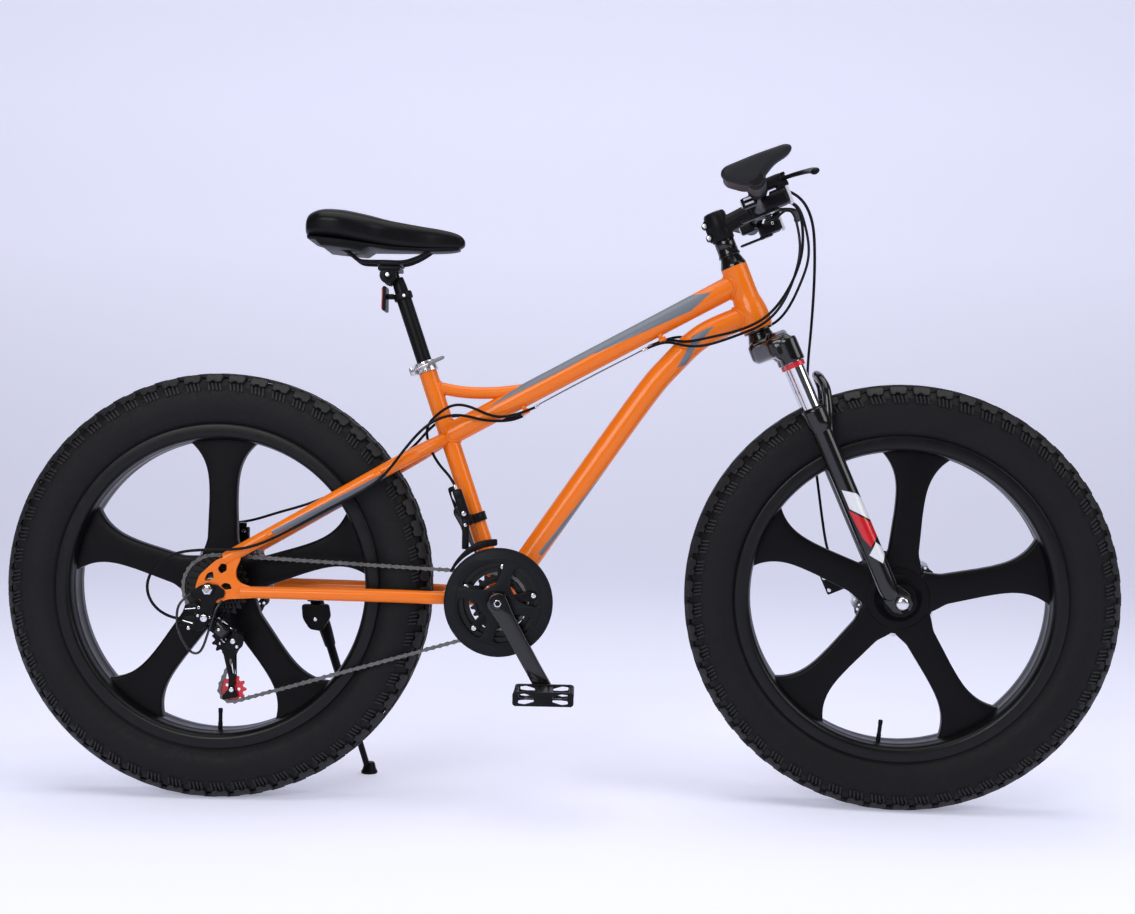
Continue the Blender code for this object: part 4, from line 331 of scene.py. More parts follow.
def plate(skin, outlines, low, high, place=ACROSS, edge=0.0, steps=2, mark=0):
    """A flat piece between two heights: the first outline is its edge and the others are its windows.

    Each wall is a profile carried round its outline: at turn t of the rounded edge the outline lies edge (1
    - sin t) further in, and edge (1 - cos t) closer to the middle. The flat faces fill the last rows.
    """
    low, high = min(low, high), max(low, high)
    t = np.linspace(0, pi / 2, steps + 1) if edge else np.array([pi / 2])
    moves = np.concatenate([edge * (1 - np.sin(t)), edge * (1 - np.sin(t[::-1]))])
    heights = np.concatenate([low + edge * (1 - np.cos(t)), high - edge * (1 - np.cos(t[::-1]))])
    loops = [wound(outline, index == 0) for index, outline in enumerate(outlines)]
    points, faces, tops, start = [], [], [], 0
    for loop in loops:
        rows = np.stack([np.column_stack([inset(loop, move), np.full(len(loop), height)]) for move,
            height in zip(moves, heights)])
        points.append(rows.reshape(-1, 3))
        faces.append(grid_faces(len(moves), len(loop)) + start)
        tops.append((start, len(loop)))
        start += rows.shape[0] * rows.shape[1]
    flat = [[Vector((*point, 0.0)) for point in inset(loop, moves[0])] for loop in loops]
    index = np.concatenate([first + np.arange(count) for first, count in tops])
    lift = np.concatenate([np.full(count, (len(moves) - 1) * count) for _, count in tops])
    triangles = np.array(tessellate_polygon(flat))
    faces.append(index[triangles])
    faces.append((index + lift)[triangles][:, ::-1])
    skin.add(np.vstack(points), faces, mark, place)


def rectangle(width, height, round_=0.0, centre=(0.0, 0.0), steps=4):
    """A rectangle's corners, rounded where a radius is given."""
    x, y = width / 2, height / 2
    corners = np.array([(-x, -y), (x, -y), (x, y), (-x, y)]) + centre
    return eased(corners, round_, steps) if round_ else corners


def block(skin, size, centre, edge=0.002, place=None, mark=0, corner=None, steps=2):
    """A rounded block: a rounded rectangle between two heights with rounded edges."""
    outline = rectangle(size[0], size[1], edge * 1.6 if corner is None else corner)
    spot_ = at(*centre) if place is None else place @ at(*centre)
    plate(skin, [outline], -size[2] / 2, size[2] / 2, spot_, edge, steps, mark)


def facing(centre, along):
    """A frame at a point, whose Z runs along a direction."""
    return at(*centre) @ Vector(along).to_track_quat("Z", "Y").to_matrix().to_4x4()


def bolt(skin, centre, along, radius=0.004, height=0.003, mark=0, place=None, socket=0.5):
    """A screw head with a rounded rim and a round socket, turned about its own axis."""
    frame_ = facing(centre, along) if place is None else place @ facing(centre, along)
    rim = height * 0.35
    outer = [(-0.0005, radius), (height - rim, radius), (height - rim * 0.3, radius - rim * 0.3),
        (height, radius - rim)]
    turned(skin, [(-0.0005, 0.0)] + outer + [(height, radius * socket), (height * 0.4, radius * socket),
        (height * 0.4, 0.0)], frame_, 18, mark)


def nut(skin, centre, along, radius, height, mark=0, place=None):
    """A six-sided nut with rounded corners."""
    frame_ = facing(centre, along) if place is None else place @ facing(centre, along)
    plate(skin, [eased(circle(radius, 6), radius * 0.16, 3), circle(radius * 0.5, 16)], 0.0, height, frame_,
        min(0.0008, height * 0.2), 2, mark)


def weld(skin, root, along, radius, core, axis, core_radius, bead=0.0028, mark=0):
    """A bead round a joint of two tubes: from each point of the branch's ring, the way along the branch to
    the main tube's surface is the larger root of a quadratic equation."""
    root, along, core, axis = (np.asarray(v, dtype=float) for v in (root, along, core, axis))
    along, axis = along / np.linalg.norm(along), axis / np.linalg.norm(axis)
    side = np.cross(along, axis)
    side /= np.linalg.norm(side)
    rise = np.cross(along, side)
    angle = ring_angles(56)[:, None]
    ring = root + radius * (np.cos(angle) * side + np.sin(angle) * rise)
    gap = ring - core
    gap = gap - (gap @ axis)[:, None] * axis
    way = along - (along @ axis) * axis
    a, b = way @ way, 2 * gap @ way
    c = (gap ** 2).sum(axis=1) - core_radius ** 2
    reach = (-b + np.sqrt(np.maximum(b * b - 4 * a * c, 0.0))) / (2 * a)
    path = ring + reach[:, None] * along
    ripple = bead * (1 + 0.1 * np.cos(ring_angles(56) * 14))
    pipe(skin, path, ripple, 8, mark, closed=True)


def melted(skin, cell, passes=8):
    """Overlapping surfaces as one: filled with cells, then each point drawn to the middle of its
    neighbours."""
    thing = bpy.data.objects.new("melting", skin.mesh("melting"))
    bpy.context.scene.collection.objects.link(thing)
    fill = thing.modifiers.new("fill", "REMESH")
    fill.mode = "VOXEL"
    fill.voxel_size = cell
    ease = thing.modifiers.new("ease", "SMOOTH")
    ease.factor = 0.5
    ease.iterations = passes
    graph = bpy.context.evaluated_depsgraph_get()
    mesh = bpy.data.meshes.new_from_object(thing.evaluated_get(graph), depsgraph=graph)
    points = np.empty(len(mesh.vertices) * 3)
    mesh.vertices.foreach_get("co", points)
    corners = np.empty(len(mesh.loops), dtype=np.int32)
    mesh.loops.foreach_get("vertex_index", corners)
    bpy.data.objects.remove(thing, do_unlink=True)
    faces = corners.reshape(-1, 4)
    bpy.data.meshes.remove(mesh)
    return points.reshape(-1, 3), [faces]


def piece(skin, name, body, nodes, sharp=34.0):
    """One finished object: its mesh, its finishes, the body that carries it and the nodes it stands for.

    Where body is not one name, as for a cable between two bodies, which is given both names and two points, the
    mesh keeps its place and no body carries it.
    """
    mesh = skin.mesh(name)
    for key in skin.finishes:
        mesh.materials.append(finish(key))
    mesh.shade_smooth()
    mesh.set_sharp_from_angle(angle=radians(sharp))
    thing = bpy.data.objects.new(name, mesh)
    bpy.context.scene.collection.objects.link(thing)
    if isinstance(body, str):
        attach(thing, body)
    else:
        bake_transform(thing)
    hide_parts(*nodes)
    return thing


# Finishes
class FatBikeColours(bpy.types.PropertyGroup):
    """Colours of the bike's finishes."""
    paint: FloatVectorProperty(name="Paint", description="Frame paint", subtype="COLOR", size=3, min=0,
        max=1, default=(0.82, 0.172, 0.004))
    stripe: FloatVectorProperty(name="Stripe", description="Stripes on the frame", subtype="COLOR", size=3,
        min=0, max=1, default=(0.155, 0.175, 0.205))
    gloss: FloatVectorProperty(name="Gloss black", description="Fork, cranks and rims", subtype="COLOR",
        size=3, min=0, max=1, default=(0.003, 0.003, 0.0036))
    tyre: FloatVectorProperty(name="Tyre", description="Tyre rubber", subtype="COLOR", size=3, min=0, max=1,
        default=(0.0046, 0.0047, 0.0056))
    cover: FloatVectorProperty(name="Cover", description="Saddle cover", subtype="COLOR", size=3, min=0,
        max=1, default=(0.004, 0.004, 0.0046))
    accent: FloatVectorProperty(name="Accent", description="Red parts", subtype="COLOR", size=3, min=0,
        max=1, default=(0.5, 0.006, 0.014))


class FatBikeSizes(bpy.types.PropertyGroup):
    """Sizes that the detailed pieces are drawn with."""
    block_count: IntProperty(name="Shoulder blocks", description="Tread blocks round each shoulder",
        default=58, min=20, max=90)
    block_height: FloatProperty(name="Block height", description="Height of the tread blocks",
        default=0.0062, min=0.002, max=0.008, unit="LENGTH")
    spoke_width: FloatProperty(name="Spoke width", description="Width of a wheel's spoke at its waist",
        default=0.05, min=0.02, max=0.07, unit="LENGTH")
    spoke_thickness: FloatProperty(name="Spoke thickness", description="Thickness of a wheel's spoke",
        default=0.024, min=0.01, max=0.04, unit="LENGTH")
    weld_bead: FloatProperty(name="Weld bead", description="Radius of the weld beads", default=0.0026,
        min=0.0005, max=0.005, unit="LENGTH")


# Each finish: colour or the name of a shared one, share of the lighter tone, roughness and its swing,
# metallic, coat, kind of grain, grains in a metre, height of the grain in metres
FINISHES = {"orange_paint": ("paint", 0.03, 0.34, 0.05, 0.0, 0.3, "peel", 420, 0.000012),
    "striped_paint": ("paint", 0.03, 0.34, 0.05, 0.0, 0.3, "peel", 420, 0.000012),
    "gloss_black": ("gloss", 0.15, 0.22, 0.05, 0.0, 0.5, "peel", 380, 0.000012),
    "decal_black": ("gloss", 0.15, 0.22, 0.05, 0.0, 0.5, "peel", 380, 0.000012),
    "rim_black": ("gloss", 0.2, 0.33, 0.06, 0.0, 0.0, "peel", 300, 0.000014),
    "spoke_black": ((0.0032, 0.0032, 0.004), 0.2, 0.36, 0.07, 0.0, 0.0, "peel", 700, 0.00002),
    "satin_black": ((0.005, 0.005, 0.006), 0.25, 0.38, 0.08, 0.0, 0.0, "peel", 900, 0.00002),
    "guard_grey": ((0.009, 0.0095, 0.0115), 0.2, 0.4, 0.08, 0.0, 0.0, "grain", 1400, 0.00003),
    "tyre_rubber": ("tyre", 0.45, 0.58, 0.1, 0.0, 0.0, "rubber", 900, 0.00006),
    "tread_rubber": ((0.0085, 0.0085, 0.0095), 0.5, 0.55, 0.08, 0.0, 0.0, "rubber", 1100, 0.00008),
    "grip_rubber": ((0.01, 0.0105, 0.0125), 0.35, 0.5, 0.08, 0.0, 0.0, "grain", 1500, 0.00006),
    "housing": ((0.004, 0.004, 0.0048), 0.3, 0.38, 0.06, 0.0, 0.0, "rubber", 1500, 0.000015),
    "plastic_black": ((0.0055, 0.0055, 0.0065), 0.3, 0.4, 0.08, 0.0, 0.0, "grain", 1600, 0.00004),
    "pedal_plastic": ((0.006, 0.006, 0.007), 0.35, 0.42, 0.08, 0.0, 0.0, "grain", 1300, 0.00005),
    "leatherette": ("cover", 0.3, 0.32, 0.05, 0.0, 0.0, "grain", 620, 0.00003),
    "chrome": ((0.62, 0.62, 0.64), 0.1, 0.07, 0.04, 1.0, 0.0, "brushed", 500, 0.000004),
    "silver": ((0.62, 0.62, 0.64), 0.25, 0.24, 0.08, 1.0, 0.0, "brushed", 900, 0.000012),
    "steel": ((0.36, 0.35, 0.34), 0.35, 0.33, 0.1, 1.0, 0.0, "brushed", 900, 0.000018),
    "dark_steel": ((0.02, 0.02, 0.02), 0.5, 0.36, 0.12, 1.0, 0.0, "brushed", 900, 0.000025),
    "chain_steel": ((0.11, 0.106, 0.1), 0.6, 0.3, 0.12, 1.0, 0.0, "brushed", 1200, 0.00002),
    "red_plastic": ("accent", 0.25, 0.3, 0.06, 0.0, 0.3, "grain", 1500, 0.00002),
    "red_lens": ((0.4, 0.004, 0.01), 0.2, 0.1, 0.03, 0.0, 1.0, "prism", 620, 0.00035),
    "grey_plastic": ((0.21, 0.21, 0.22), 0.25, 0.45, 0.06, 0.0, 0.0, "grain", 1500, 0.00003),
    "pale_plastic": ((0.72, 0.73, 0.76), 0.1, 0.4, 0.05, 0.0, 0.0, "grain", 1500, 0.00002),
    "floor": ((0.72, 0.73, 0.86), 0.02, 0.85, 0.03, 0.0, 0.0, "peel", 30, 0.00002),}

# How much each finish reflects straight on, where it isn't the common share
GLEAM = {"orange_paint": 0.25, "striped_paint": 0.25, "gloss_black": 0.3, "decal_black": 0.3,
    "rim_black": 0.22, "tyre_rubber": 0.17, "tread_rubber": 0.3, "grip_rubber": 0.2, "leatherette": 0.14,
    "silver": 0.5, "steel": 0.5, "chain_steel": 0.5, "dark_steel": 0.5, "chrome": 0.5}

# Stripes of the frame as convex outlines of (x, z), counterclockwise
STRIPE_OUTLINES = (((0.4653, 0.6987), (0.4973, 0.7136), (0.6035, 0.7735), (0.665, 0.806), (0.665, 0.8245),
    (0.6032, 0.7892), (0.5289, 0.7466)), ((0.6645, 0.8058), (0.8352, 0.8854), (0.872, 0.9199),
    (0.8187, 0.9119), (0.7269, 0.8602), (0.6645, 0.8242)), ((0.8378, 0.8444), (0.8363, 0.8301),
    (0.8436, 0.8196), (0.8819, 0.8648), (0.8626, 0.854)), ((0.8363, 0.8301), (0.8122, 0.7833),
    (0.8299, 0.7908), (0.8436, 0.8196)), ((0.5706, 0.4478), (0.5761, 0.4426), (0.816, 0.7481),
    (0.8087, 0.7551)), ((0.1131, 0.4762), (0.3088, 0.5757), (0.3016, 0.5878), (0.106, 0.483)),)


def frame_stripes():
    """Grey stripes on the top tube, the down tube and the seat stays."""
    tone = tuple(bpy.context.scene.fat_bike_colours.stripe)
    return [(tone, outline, Matrix.Identity(4)) for outline in STRIPE_OUTLINES]


def leg_decals():
    """Plain blocks in white and red on the outside of the fork's legs, along the legs."""
    white, red = (0.72, 0.73, 0.76), (0.55, 0.01, 0.015)
    blocks = ((white, ((1.1105, 0.54), (1.1558, 0.5183), (1.1431, 0.5493), (1.1221, 0.5671),
        (1.096, 0.5727))), (red, ((1.1339, 0.4901), (1.148, 0.4748), (1.1614, 0.4976), (1.1559, 0.5148),
        (1.1088, 0.5374))), (white, ((1.1457, 0.4608), (1.1693, 0.4474), (1.1758, 0.4709),
        (1.1565, 0.4836))))
    return [(tone, outline, Matrix.Identity(4)) for tone, outline in blocks]


AREAS = {"striped_paint": frame_stripes, "decal_black": leg_decals}


def joint(tree, kind, links=(), **settings):
    """A shader node with its settings, whose inputs are values or other nodes' outputs."""
    made = tree.nodes.new("ShaderNode" + kind)
    for key, value in settings.items():
        setattr(made, key, value)
    for key, value in links:
        if isinstance(value, bpy.types.NodeSocket):
            tree.links.new(value, made.inputs[key])
        else:
            made.inputs[key].default_value = value
    return made


def sums(tree, operation, first, second):
    """The output of a node that does one sum with two numbers or outputs."""
    return joint(tree, "Math", ((0, first), (1, second)), operation=operation).outputs[0]


def half_plane(tree, where, normal, offset, soft=0.0003):
    """1 where the place's length along the normal is above the offset, with a soft edge."""
    reach = joint(tree, "VectorMath", ((0, where), (1, normal)), operation="DOT_PRODUCT").outputs["Value"]
    return joint(tree, "MapRange", (("Value", reach), ("From Min", offset - soft),
        ("From Max", offset + soft)), clamp=True).outputs[0]


def convex_mask(tree, where, outline, place):
    """1 inside a convex counterclockwise outline, which is drawn in the X-Z plane of a frame."""
    mask = None
    across, rise, origin = (np.array(place.col[k][:3]) for k in (0, 2, 3))
    for (a0, b0), (a1, b1) in zip(outline, outline[1:] + outline[:1]):
        length = sqrt((a1 - a0) ** 2 + (b1 - b0) ** 2)
        na, nb = (b0 - b1) / length, (a1 - a0) / length
        normal = na * across + nb * rise
        edge = half_plane(tree, where, tuple(normal), float(na * a0 + nb * b0 + normal @ origin))
        mask = edge if mask is None else sums(tree, "MULTIPLY", mask, edge)
    return mask


def painted(tree, base, where, areas, beyond):
    """A colour with flat areas over it: each is a tone, a convex outline and the frame it is drawn in. They
    lie only where the distance from the bike's middle plane is above beyond."""
    away = sums(tree, "ABSOLUTE", joint(tree, "SeparateXYZ", ((0, where),)).outputs["Y"], 0.0)
    outside = sums(tree, "GREATER_THAN", away, beyond)
    for tone, outline, place in areas:
        mask = sums(tree, "MULTIPLY", convex_mask(tree, where, outline, place), outside)
        base = joint(tree, "Mix", ((0, mask), (6, base), (7, (*tone, 1.0))), data_type="RGBA").outputs[2]
    return base


def finish(key):
    """The named material: tone and roughness from two noises, and a fine relief of the named kind."""
    found = bpy.data.materials.get(key + "_finish")
    if found:
        return found
    colour, swing, rough, rough_swing, metal, coat, kind, scale, relief = FINISHES[key]
    if isinstance(colour, str):
        colour = tuple(getattr(bpy.context.scene.fat_bike_colours, colour))
    material = bpy.data.materials.new(key + "_finish")
    material.use_nodes = True
    tree = material.node_tree
    shader = tree.nodes["Principled BSDF"]
    where = joint(tree, "TexCoord").outputs["Object"]
    cloud = joint(tree, "TexNoise", (("Vector", where), ("Scale", 14.0), ("Detail", 4.0))).outputs[0]
    fine = joint(tree, "TexNoise", (("Vector", where), ("Scale", scale * 0.16), ("Detail", 3.0))).outputs[0]
    lighter = tuple(min(1.0, c * (1 + swing) + 0.004 * swing) for c in colour)
    tone = joint(tree, "Mix", ((0, cloud), (6, (*colour, 1.0)), (7, (*lighter, 1.0))),
        data_type="RGBA").outputs[2]
    areas = AREAS.get(key, lambda: ())()
    if areas:
        tone = painted(tree, tone, where, areas, LEG_SPREAD if key == "decal_black" else -1.0)
    tree.links.new(tone, shader.inputs["Base Color"])
    matt = joint(tree, "MapRange", (("Value", fine), ("From Min", 0.25), ("From Max", 0.75),
        ("To Min", rough - rough_swing), ("To Max", rough + rough_swing))).outputs[0]
    tree.links.new(matt, shader.inputs["Roughness"])
    shader.inputs["Metallic"].default_value = metal
    shader.inputs["Coat Weight"].default_value = coat
    shader.inputs["Coat Roughness"].default_value = 0.05
    shader.inputs["Specular IOR Level"].default_value = GLEAM.get(key, 0.45 if coat else 0.1)
    if key == "floor":
        height = joint(tree, "SeparateXYZ", ((0, where),)).outputs["Z"]
        glow = joint(tree, "MapRange", (("Value", height), ("From Max", 2.0), ("To Min", 0.34),
            ("To Max", 0.56)))
        tree.links.new(glow.outputs[0], shader.inputs["Emission Strength"])
        shader.inputs["Emission Color"].default_value = (0.82, 0.83, 1.0, 1.0)
    if kind == "grain":
        height = joint(tree, "TexVoronoi", (("Vector", where), ("Scale", scale)),
            feature="SMOOTH_F1").outputs[0]
    elif kind == "prism":
        height = joint(tree, "TexVoronoi", (("Vector", where), ("Scale", scale)),
            distance="CHEBYCHEV").outputs[0]
    elif kind == "brushed":
        stretched = joint(tree, "Mapping", (("Vector", where), ("Scale", (0.25, 1.0, 0.25)))).outputs[0]
        height = joint(tree, "TexNoise", (("Vector", stretched), ("Scale", scale),
            ("Detail", 2.0))).outputs[0]
    else:
        height = joint(tree, "TexNoise", (("Vector", where), ("Scale", scale), ("Detail", 2.0))).outputs[0]
    bump = joint(tree, "Bump", (("Height", height), ("Strength", 1.0), ("Distance", relief)))
    tree.links.new(bump.outputs[0], shader.inputs["Normal"])
    if kind == "peel" and coat:
        tree.links.new(bump.outputs[0], shader.inputs["Coat Normal"])
    return material


# Wheels
def along_line(points, reach):
    """Points of a line at the given lengths along it."""
    step = np.linalg.norm(np.diff(points, axis=0), axis=1)
    length = np.concatenate([[0.0], np.cumsum(step)])
    return np.stack([np.interp(reach, length, points[:, k]) for k in range(points.shape[1])], axis=-1)


TREAD_LINE = smooth_path([(0.0, 0.38), (0.014, 0.3799), (0.024, 0.3794), (0.033, 0.3762), (0.0405, 0.37),
    (0.0455, 0.362), (0.0484, 0.354), (0.0498, 0.345), (0.0502, 0.337)], 6)


def tread(skin, place, side, reach, outline, count, phase, height, mark, top_inset=0.0007):
    """Tread blocks round the tyre: a block's point at length u round it and s from its middle line lies at
    E(s) + h N(s), turned by phase + u / r, where E is the tread's section, N its normal and h the height."""
    outline = np.asarray(outline, dtype=float)
    wide = inset(wound(outline, True), -0.0009)
    top = inset(wound(outline, True), top_inset)
    middle = top.mean(axis=0)[None]
    rows = [(wide, -height), (wound(outline, True), -0.0007), (top, 0.0)]
    u = np.concatenate([row[:, 0] for row, _ in rows] + [middle[:, 0]])
    s = np.concatenate([row[:, 1] for row, _ in rows] + [middle[:, 1]]) + reach
    h = np.concatenate([np.full(len(row), level) for row, level in rows] + [[0.0001]])
    base = along_line(TREAD_LINE, np.clip(s, 0, None))
    ahead = along_line(TREAD_LINE, np.clip(s, 0, None) + 0.0005) - along_line(TREAD_LINE,
        np.clip(s, 0, None) - 0.0005)
    ahead /= np.linalg.norm(ahead, axis=1, keepdims=True)
    y = side * (base[:, 0] + h * -ahead[:, 1])
    r = base[:, 1] + h * ahead[:, 0]
    angle = radians(phase) + ring_angles(count)[:, None] + side * u[None, :] / 0.372
    points = np.stack([r * np.cos(angle), y + 0 * angle, r * np.sin(angle)], axis=-1)
    n = len(outline)
    quads = grid_faces(3, n)
    step = np.arange(n)
    cap = np.stack([2 * n + step, 2 * n + (step + 1) % n, np.full(n, 3 * n)], axis=-1)
    shift = (np.arange(count) * (3 * n + 1))[:, None, None]
    skin.add(points, [(quads + shift).reshape(-1, 4), (cap + shift).reshape(-1, 3)], mark, place)


def tyre(name, body, place):
    """A wide tyre: a turned casing with fine ribs, and rows of tread blocks on its crown and shoulders."""
    sizes = bpy.context.scene.fat_bike_sizes
    skin = Skin("tyre_rubber", "tread_rubber")
    half = [(0.0335, 0.2797), (0.035, 0.285), (0.0362, 0.2905), (0.04, 0.296), (0.0448, 0.3045),
        (0.0478, 0.315), (0.0488, 0.326), (0.0484, 0.337), (0.047, 0.346), (0.046, 0.35)]
    ribs = [(0.0464, 0.3506), (0.0463, 0.3516), (0.0452, 0.3522), (0.0446, 0.3545), (0.0449, 0.3551),
        (0.0446, 0.3562), (0.0436, 0.3567)]
    crown = [(0.0405, 0.3612), (0.033, 0.3674), (0.023, 0.3712), (0.011, 0.3722), (0.0, 0.3724)]
    right = np.vstack([smooth_path(half, 3), ribs, smooth_path(crown, 2)])
    left = right[::-1][1:] * (-1, 1)
    inner = smooth_path([(-0.0295, 0.2797), (-0.043, 0.326), (-0.032, 0.366), (0.0, 0.369), (0.032, 0.366),
        (0.043, 0.326), (0.0295, 0.2797)], 3)
    turned(skin, np.vstack([right, left, inner]), place @ ACROSS, 200, closed=True)
    count, height = sizes.block_count, sizes.block_height
    shoulder = [(-0.0135, -0.0075), (0.012, -0.0085), (0.0145, -0.002), (0.0125, 0.01), (0.003, 0.0118),
        (0.001, 0.0078), (-0.005, 0.0078), (-0.0075, 0.0118), (-0.014, 0.01), (-0.015, 0.001)]
    between = [(-0.011, -0.005), (0.006, -0.0066), (0.0125, -0.001), (0.011, 0.0052), (-0.007, 0.0058),
        (-0.0125, 0.001)]
    centre = [(-0.012, -0.005), (0.004, -0.0066), (0.013, -0.003), (0.012, 0.0052), (-0.004, 0.0066),
        (-0.013, 0.003)]
    fin = np.array([(-0.0014, 0.0), (0.0018, 0.0), (0.0056, 0.013), (0.003, 0.015), (0.0014, 0.013)])
    for side in (-1, 1):
        for u in (-0.0105, -0.0035, 0.0035, 0.0105):
            tread(skin, place, side, 0.053, fin + (u, 0.0), count, 1.5 * side, height * 0.75, 1, 0.0004)
        tread(skin, place, side, 0.0395, eased(shoulder, 0.0009, 1), count, 1.5 * side, height, 1)
        tread(skin, place, side, 0.0215, eased(between, 0.0009, 1), count, 1.5 * side + 3.1, height * 0.9, 1)
        tread(skin, place, side, 0.0078, eased(centre, 0.0009, 1), count, 1.5 * side + 0.4, height * 0.9, 1)
    return piece(skin, name, body, [name[:-5]], 28)


def wheel(name, body, place, phase, hub, end_caps):
    """A one-piece wheel: turned rim and hub, and spokes whose half width w(r) flares to the hub and to the
    rim, so that a point at length a across and y through it lies at r and the angle of its spoke plus a /
    r."""
    sizes = bpy.context.scene.fat_bike_sizes
    skin = Skin("rim_black", "spoke_black", "steel", "satin_black")
    lying = place @ ACROSS
    rim = [(0.0412, 0.2735), (0.0413, 0.286), (0.0409, 0.2882), (0.0398, 0.2892), (0.038, 0.2892),
        (0.0366, 0.2882), (0.0358, 0.286), (0.0345, 0.28), (0.03, 0.2735), (0.0225, 0.2695), (0.0, 0.269)]
    under = [(0.0, 0.2618), (0.012, 0.2618), (0.014, 0.2612), (0.0175, 0.2612), (0.0195, 0.2622),
        (0.026, 0.2626), (0.032, 0.2634), (0.0362, 0.2652), (0.0392, 0.2682), (0.0408, 0.2712)]
    section = np.vstack([rim, np.array(rim[:-1])[::-1] * (-1, 1), np.array(under)[::-1] * (-1, 1), under[1:]])
    turned(skin, section, lying, 160, closed=True)
    thick = sizes.spoke_thickness / 2
    edge = 0.0052
    t = np.linspace(0, pi / 2, 5)
    r = np.concatenate([np.linspace(0.056, 0.09, 12), np.linspace(0.1, 0.19, 10),
        np.linspace(0.198, 0.267, 16)])
    flare = np.clip((r - 0.15) / 0.1155, 0, None) ** 3.2
    waist = sizes.spoke_width / 2 + 0.002 * np.clip((0.15 - r) / 0.06, 0, 1)
    near = np.clip((0.092 - r) / 0.031, 0, 1.2) ** 2.2
    w = waist + (r * pi / 5 - waist) * np.clip(near, 0, 1) + 0.039 * flare
    across = w[:, None] - edge * (1 - np.cos(t))
    through = thick - edge * (1 - np.sin(t)) + 0 * w[:, None]
    inside = w[:, None] * np.array([0.62, 0.3, 0.0, -0.3, -0.62])
    face = thick + 0.001 * (1 - (inside / w[:, None]) ** 2)
    row_a = np.hstack([across, inside, -across[:, ::-1]])
    row_y = np.hstack([through, face, through[:, ::-1]])
    lateral = np.hstack([row_a, row_a[:, ::-1]])
    height = np.hstack([row_y, -row_y[:, ::-1]])
    for k in range(5):
        angle = radians(phase + 72.0 * k) + lateral / r[:, None]
        grid = np.stack([r[:, None] * np.cos(angle), height, r[:, None] * np.sin(angle)], axis=-1)
        rolled(skin, grid, 1, place)
    bore = 0.0104
    turned(skin, [(-thick - 0.0008, bore), (-thick - 0.0008, 0.048), (-thick + 0.0014, 0.064),
        (thick - 0.0014, 0.064), (thick + 0.0008, 0.048), (thick + 0.0008, bore)], lying, 96, 1, closed=True)
    turned(skin, [(hub[0][0], bore)] + list(hub) + [(hub[-1][0], bore)], lying, 64, 1, closed=True)
    for low, high, radius in end_caps:
        turned(skin, [(low, bore), (low, radius), (high, radius), (high, bore)], lying, 48, 3, closed=True)
    angle = radians(phase - 180.0)
    out = np.array([cos(angle), 0.0, sin(angle)])
    rod(skin, out * 0.2635, out * 0.25, 0.0041, 20, 3, place)
    rod(skin, out * 0.25, out * 0.233, 0.0036, 20, 3, place)
    rod(skin, out * 0.233, out * 0.2245, 0.004, 20, 3, place, 0.0008)
    return piece(skin, name, body, [name[:-5]], 40)


def rotor(name, body, place, y):
    """A disc rotor: a waved ring with round holes, on six slanted arms."""
    skin = Skin("silver", "satin_black")
    angle = ring_angles(240)
    wave = 0.0785 + 0.0013 * np.cos(angle * 24)
    outline = np.stack([wave * np.cos(angle), wave * np.sin(angle)], axis=-1)
    windows = []
    for k in range(6):
        start = radians(60 * k)
        low, high = radians(8), radians(46)
        arc = np.linspace(start + low, start + high, 9)
        inner = np.linspace(start + high - radians(3), start + low + radians(4), 5)
        window = np.vstack([np.stack([0.0625 * np.cos(arc), 0.0625 * np.sin(arc)], axis=-1),
            np.stack([0.03 * np.cos(inner), 0.03 * np.sin(inner)], axis=-1)])
        windows.append(eased(window, 0.003, 2))
    for k in range(24):
        a = 2 * pi * (k + 0.5) / 24
        for radius, size in ((0.0665, 0.0022), (0.0725, 0.0026)):
            a2 = a + (0.06 if radius > 0.07 else -0.03)
            windows.append(circle(size, 10, (radius * cos(a2), radius * sin(a2))))
    windows.append(circle(0.0158, 32))
    plate(skin, [outline] + windows, y - 0.001, y + 0.001, place @ ACROSS, 0.0002, 1)
    for k in range(6):
        a = radians(60 * k + 27)
        bolt(skin, (0.0222 * cos(a), y + 0.001, 0.0222 * sin(a)), (0, 1, 0), 0.0042, 0.0022, 1, place)
    return piece(skin, name, body, [name[:-5]], 35)


# Drive
def pitch_radius(teeth):
    """Radius on which a wheel carries the chain's pins: half the pitch over sin(pi / teeth)."""
    return CHAIN_PITCH / (2 * sin(pi / teeth))


def gear(teeth, reach=0.0036, depth=0.0036):
    """A toothed edge: the radius is the pitch circle's plus a rounded wave that is high at each tooth's
    tip."""
    angle = ring_angles(teeth * 12)
    wave = np.cos(angle * teeth)
    shaped = np.where(wave > 0, np.abs(wave) ** 0.8, -np.abs(wave) ** 0.45)
    radius = pitch_radius(teeth) + np.where(shaped > 0, shaped * reach, shaped * depth)
    return np.stack([radius * np.cos(angle), radius * np.sin(angle)], axis=-1)


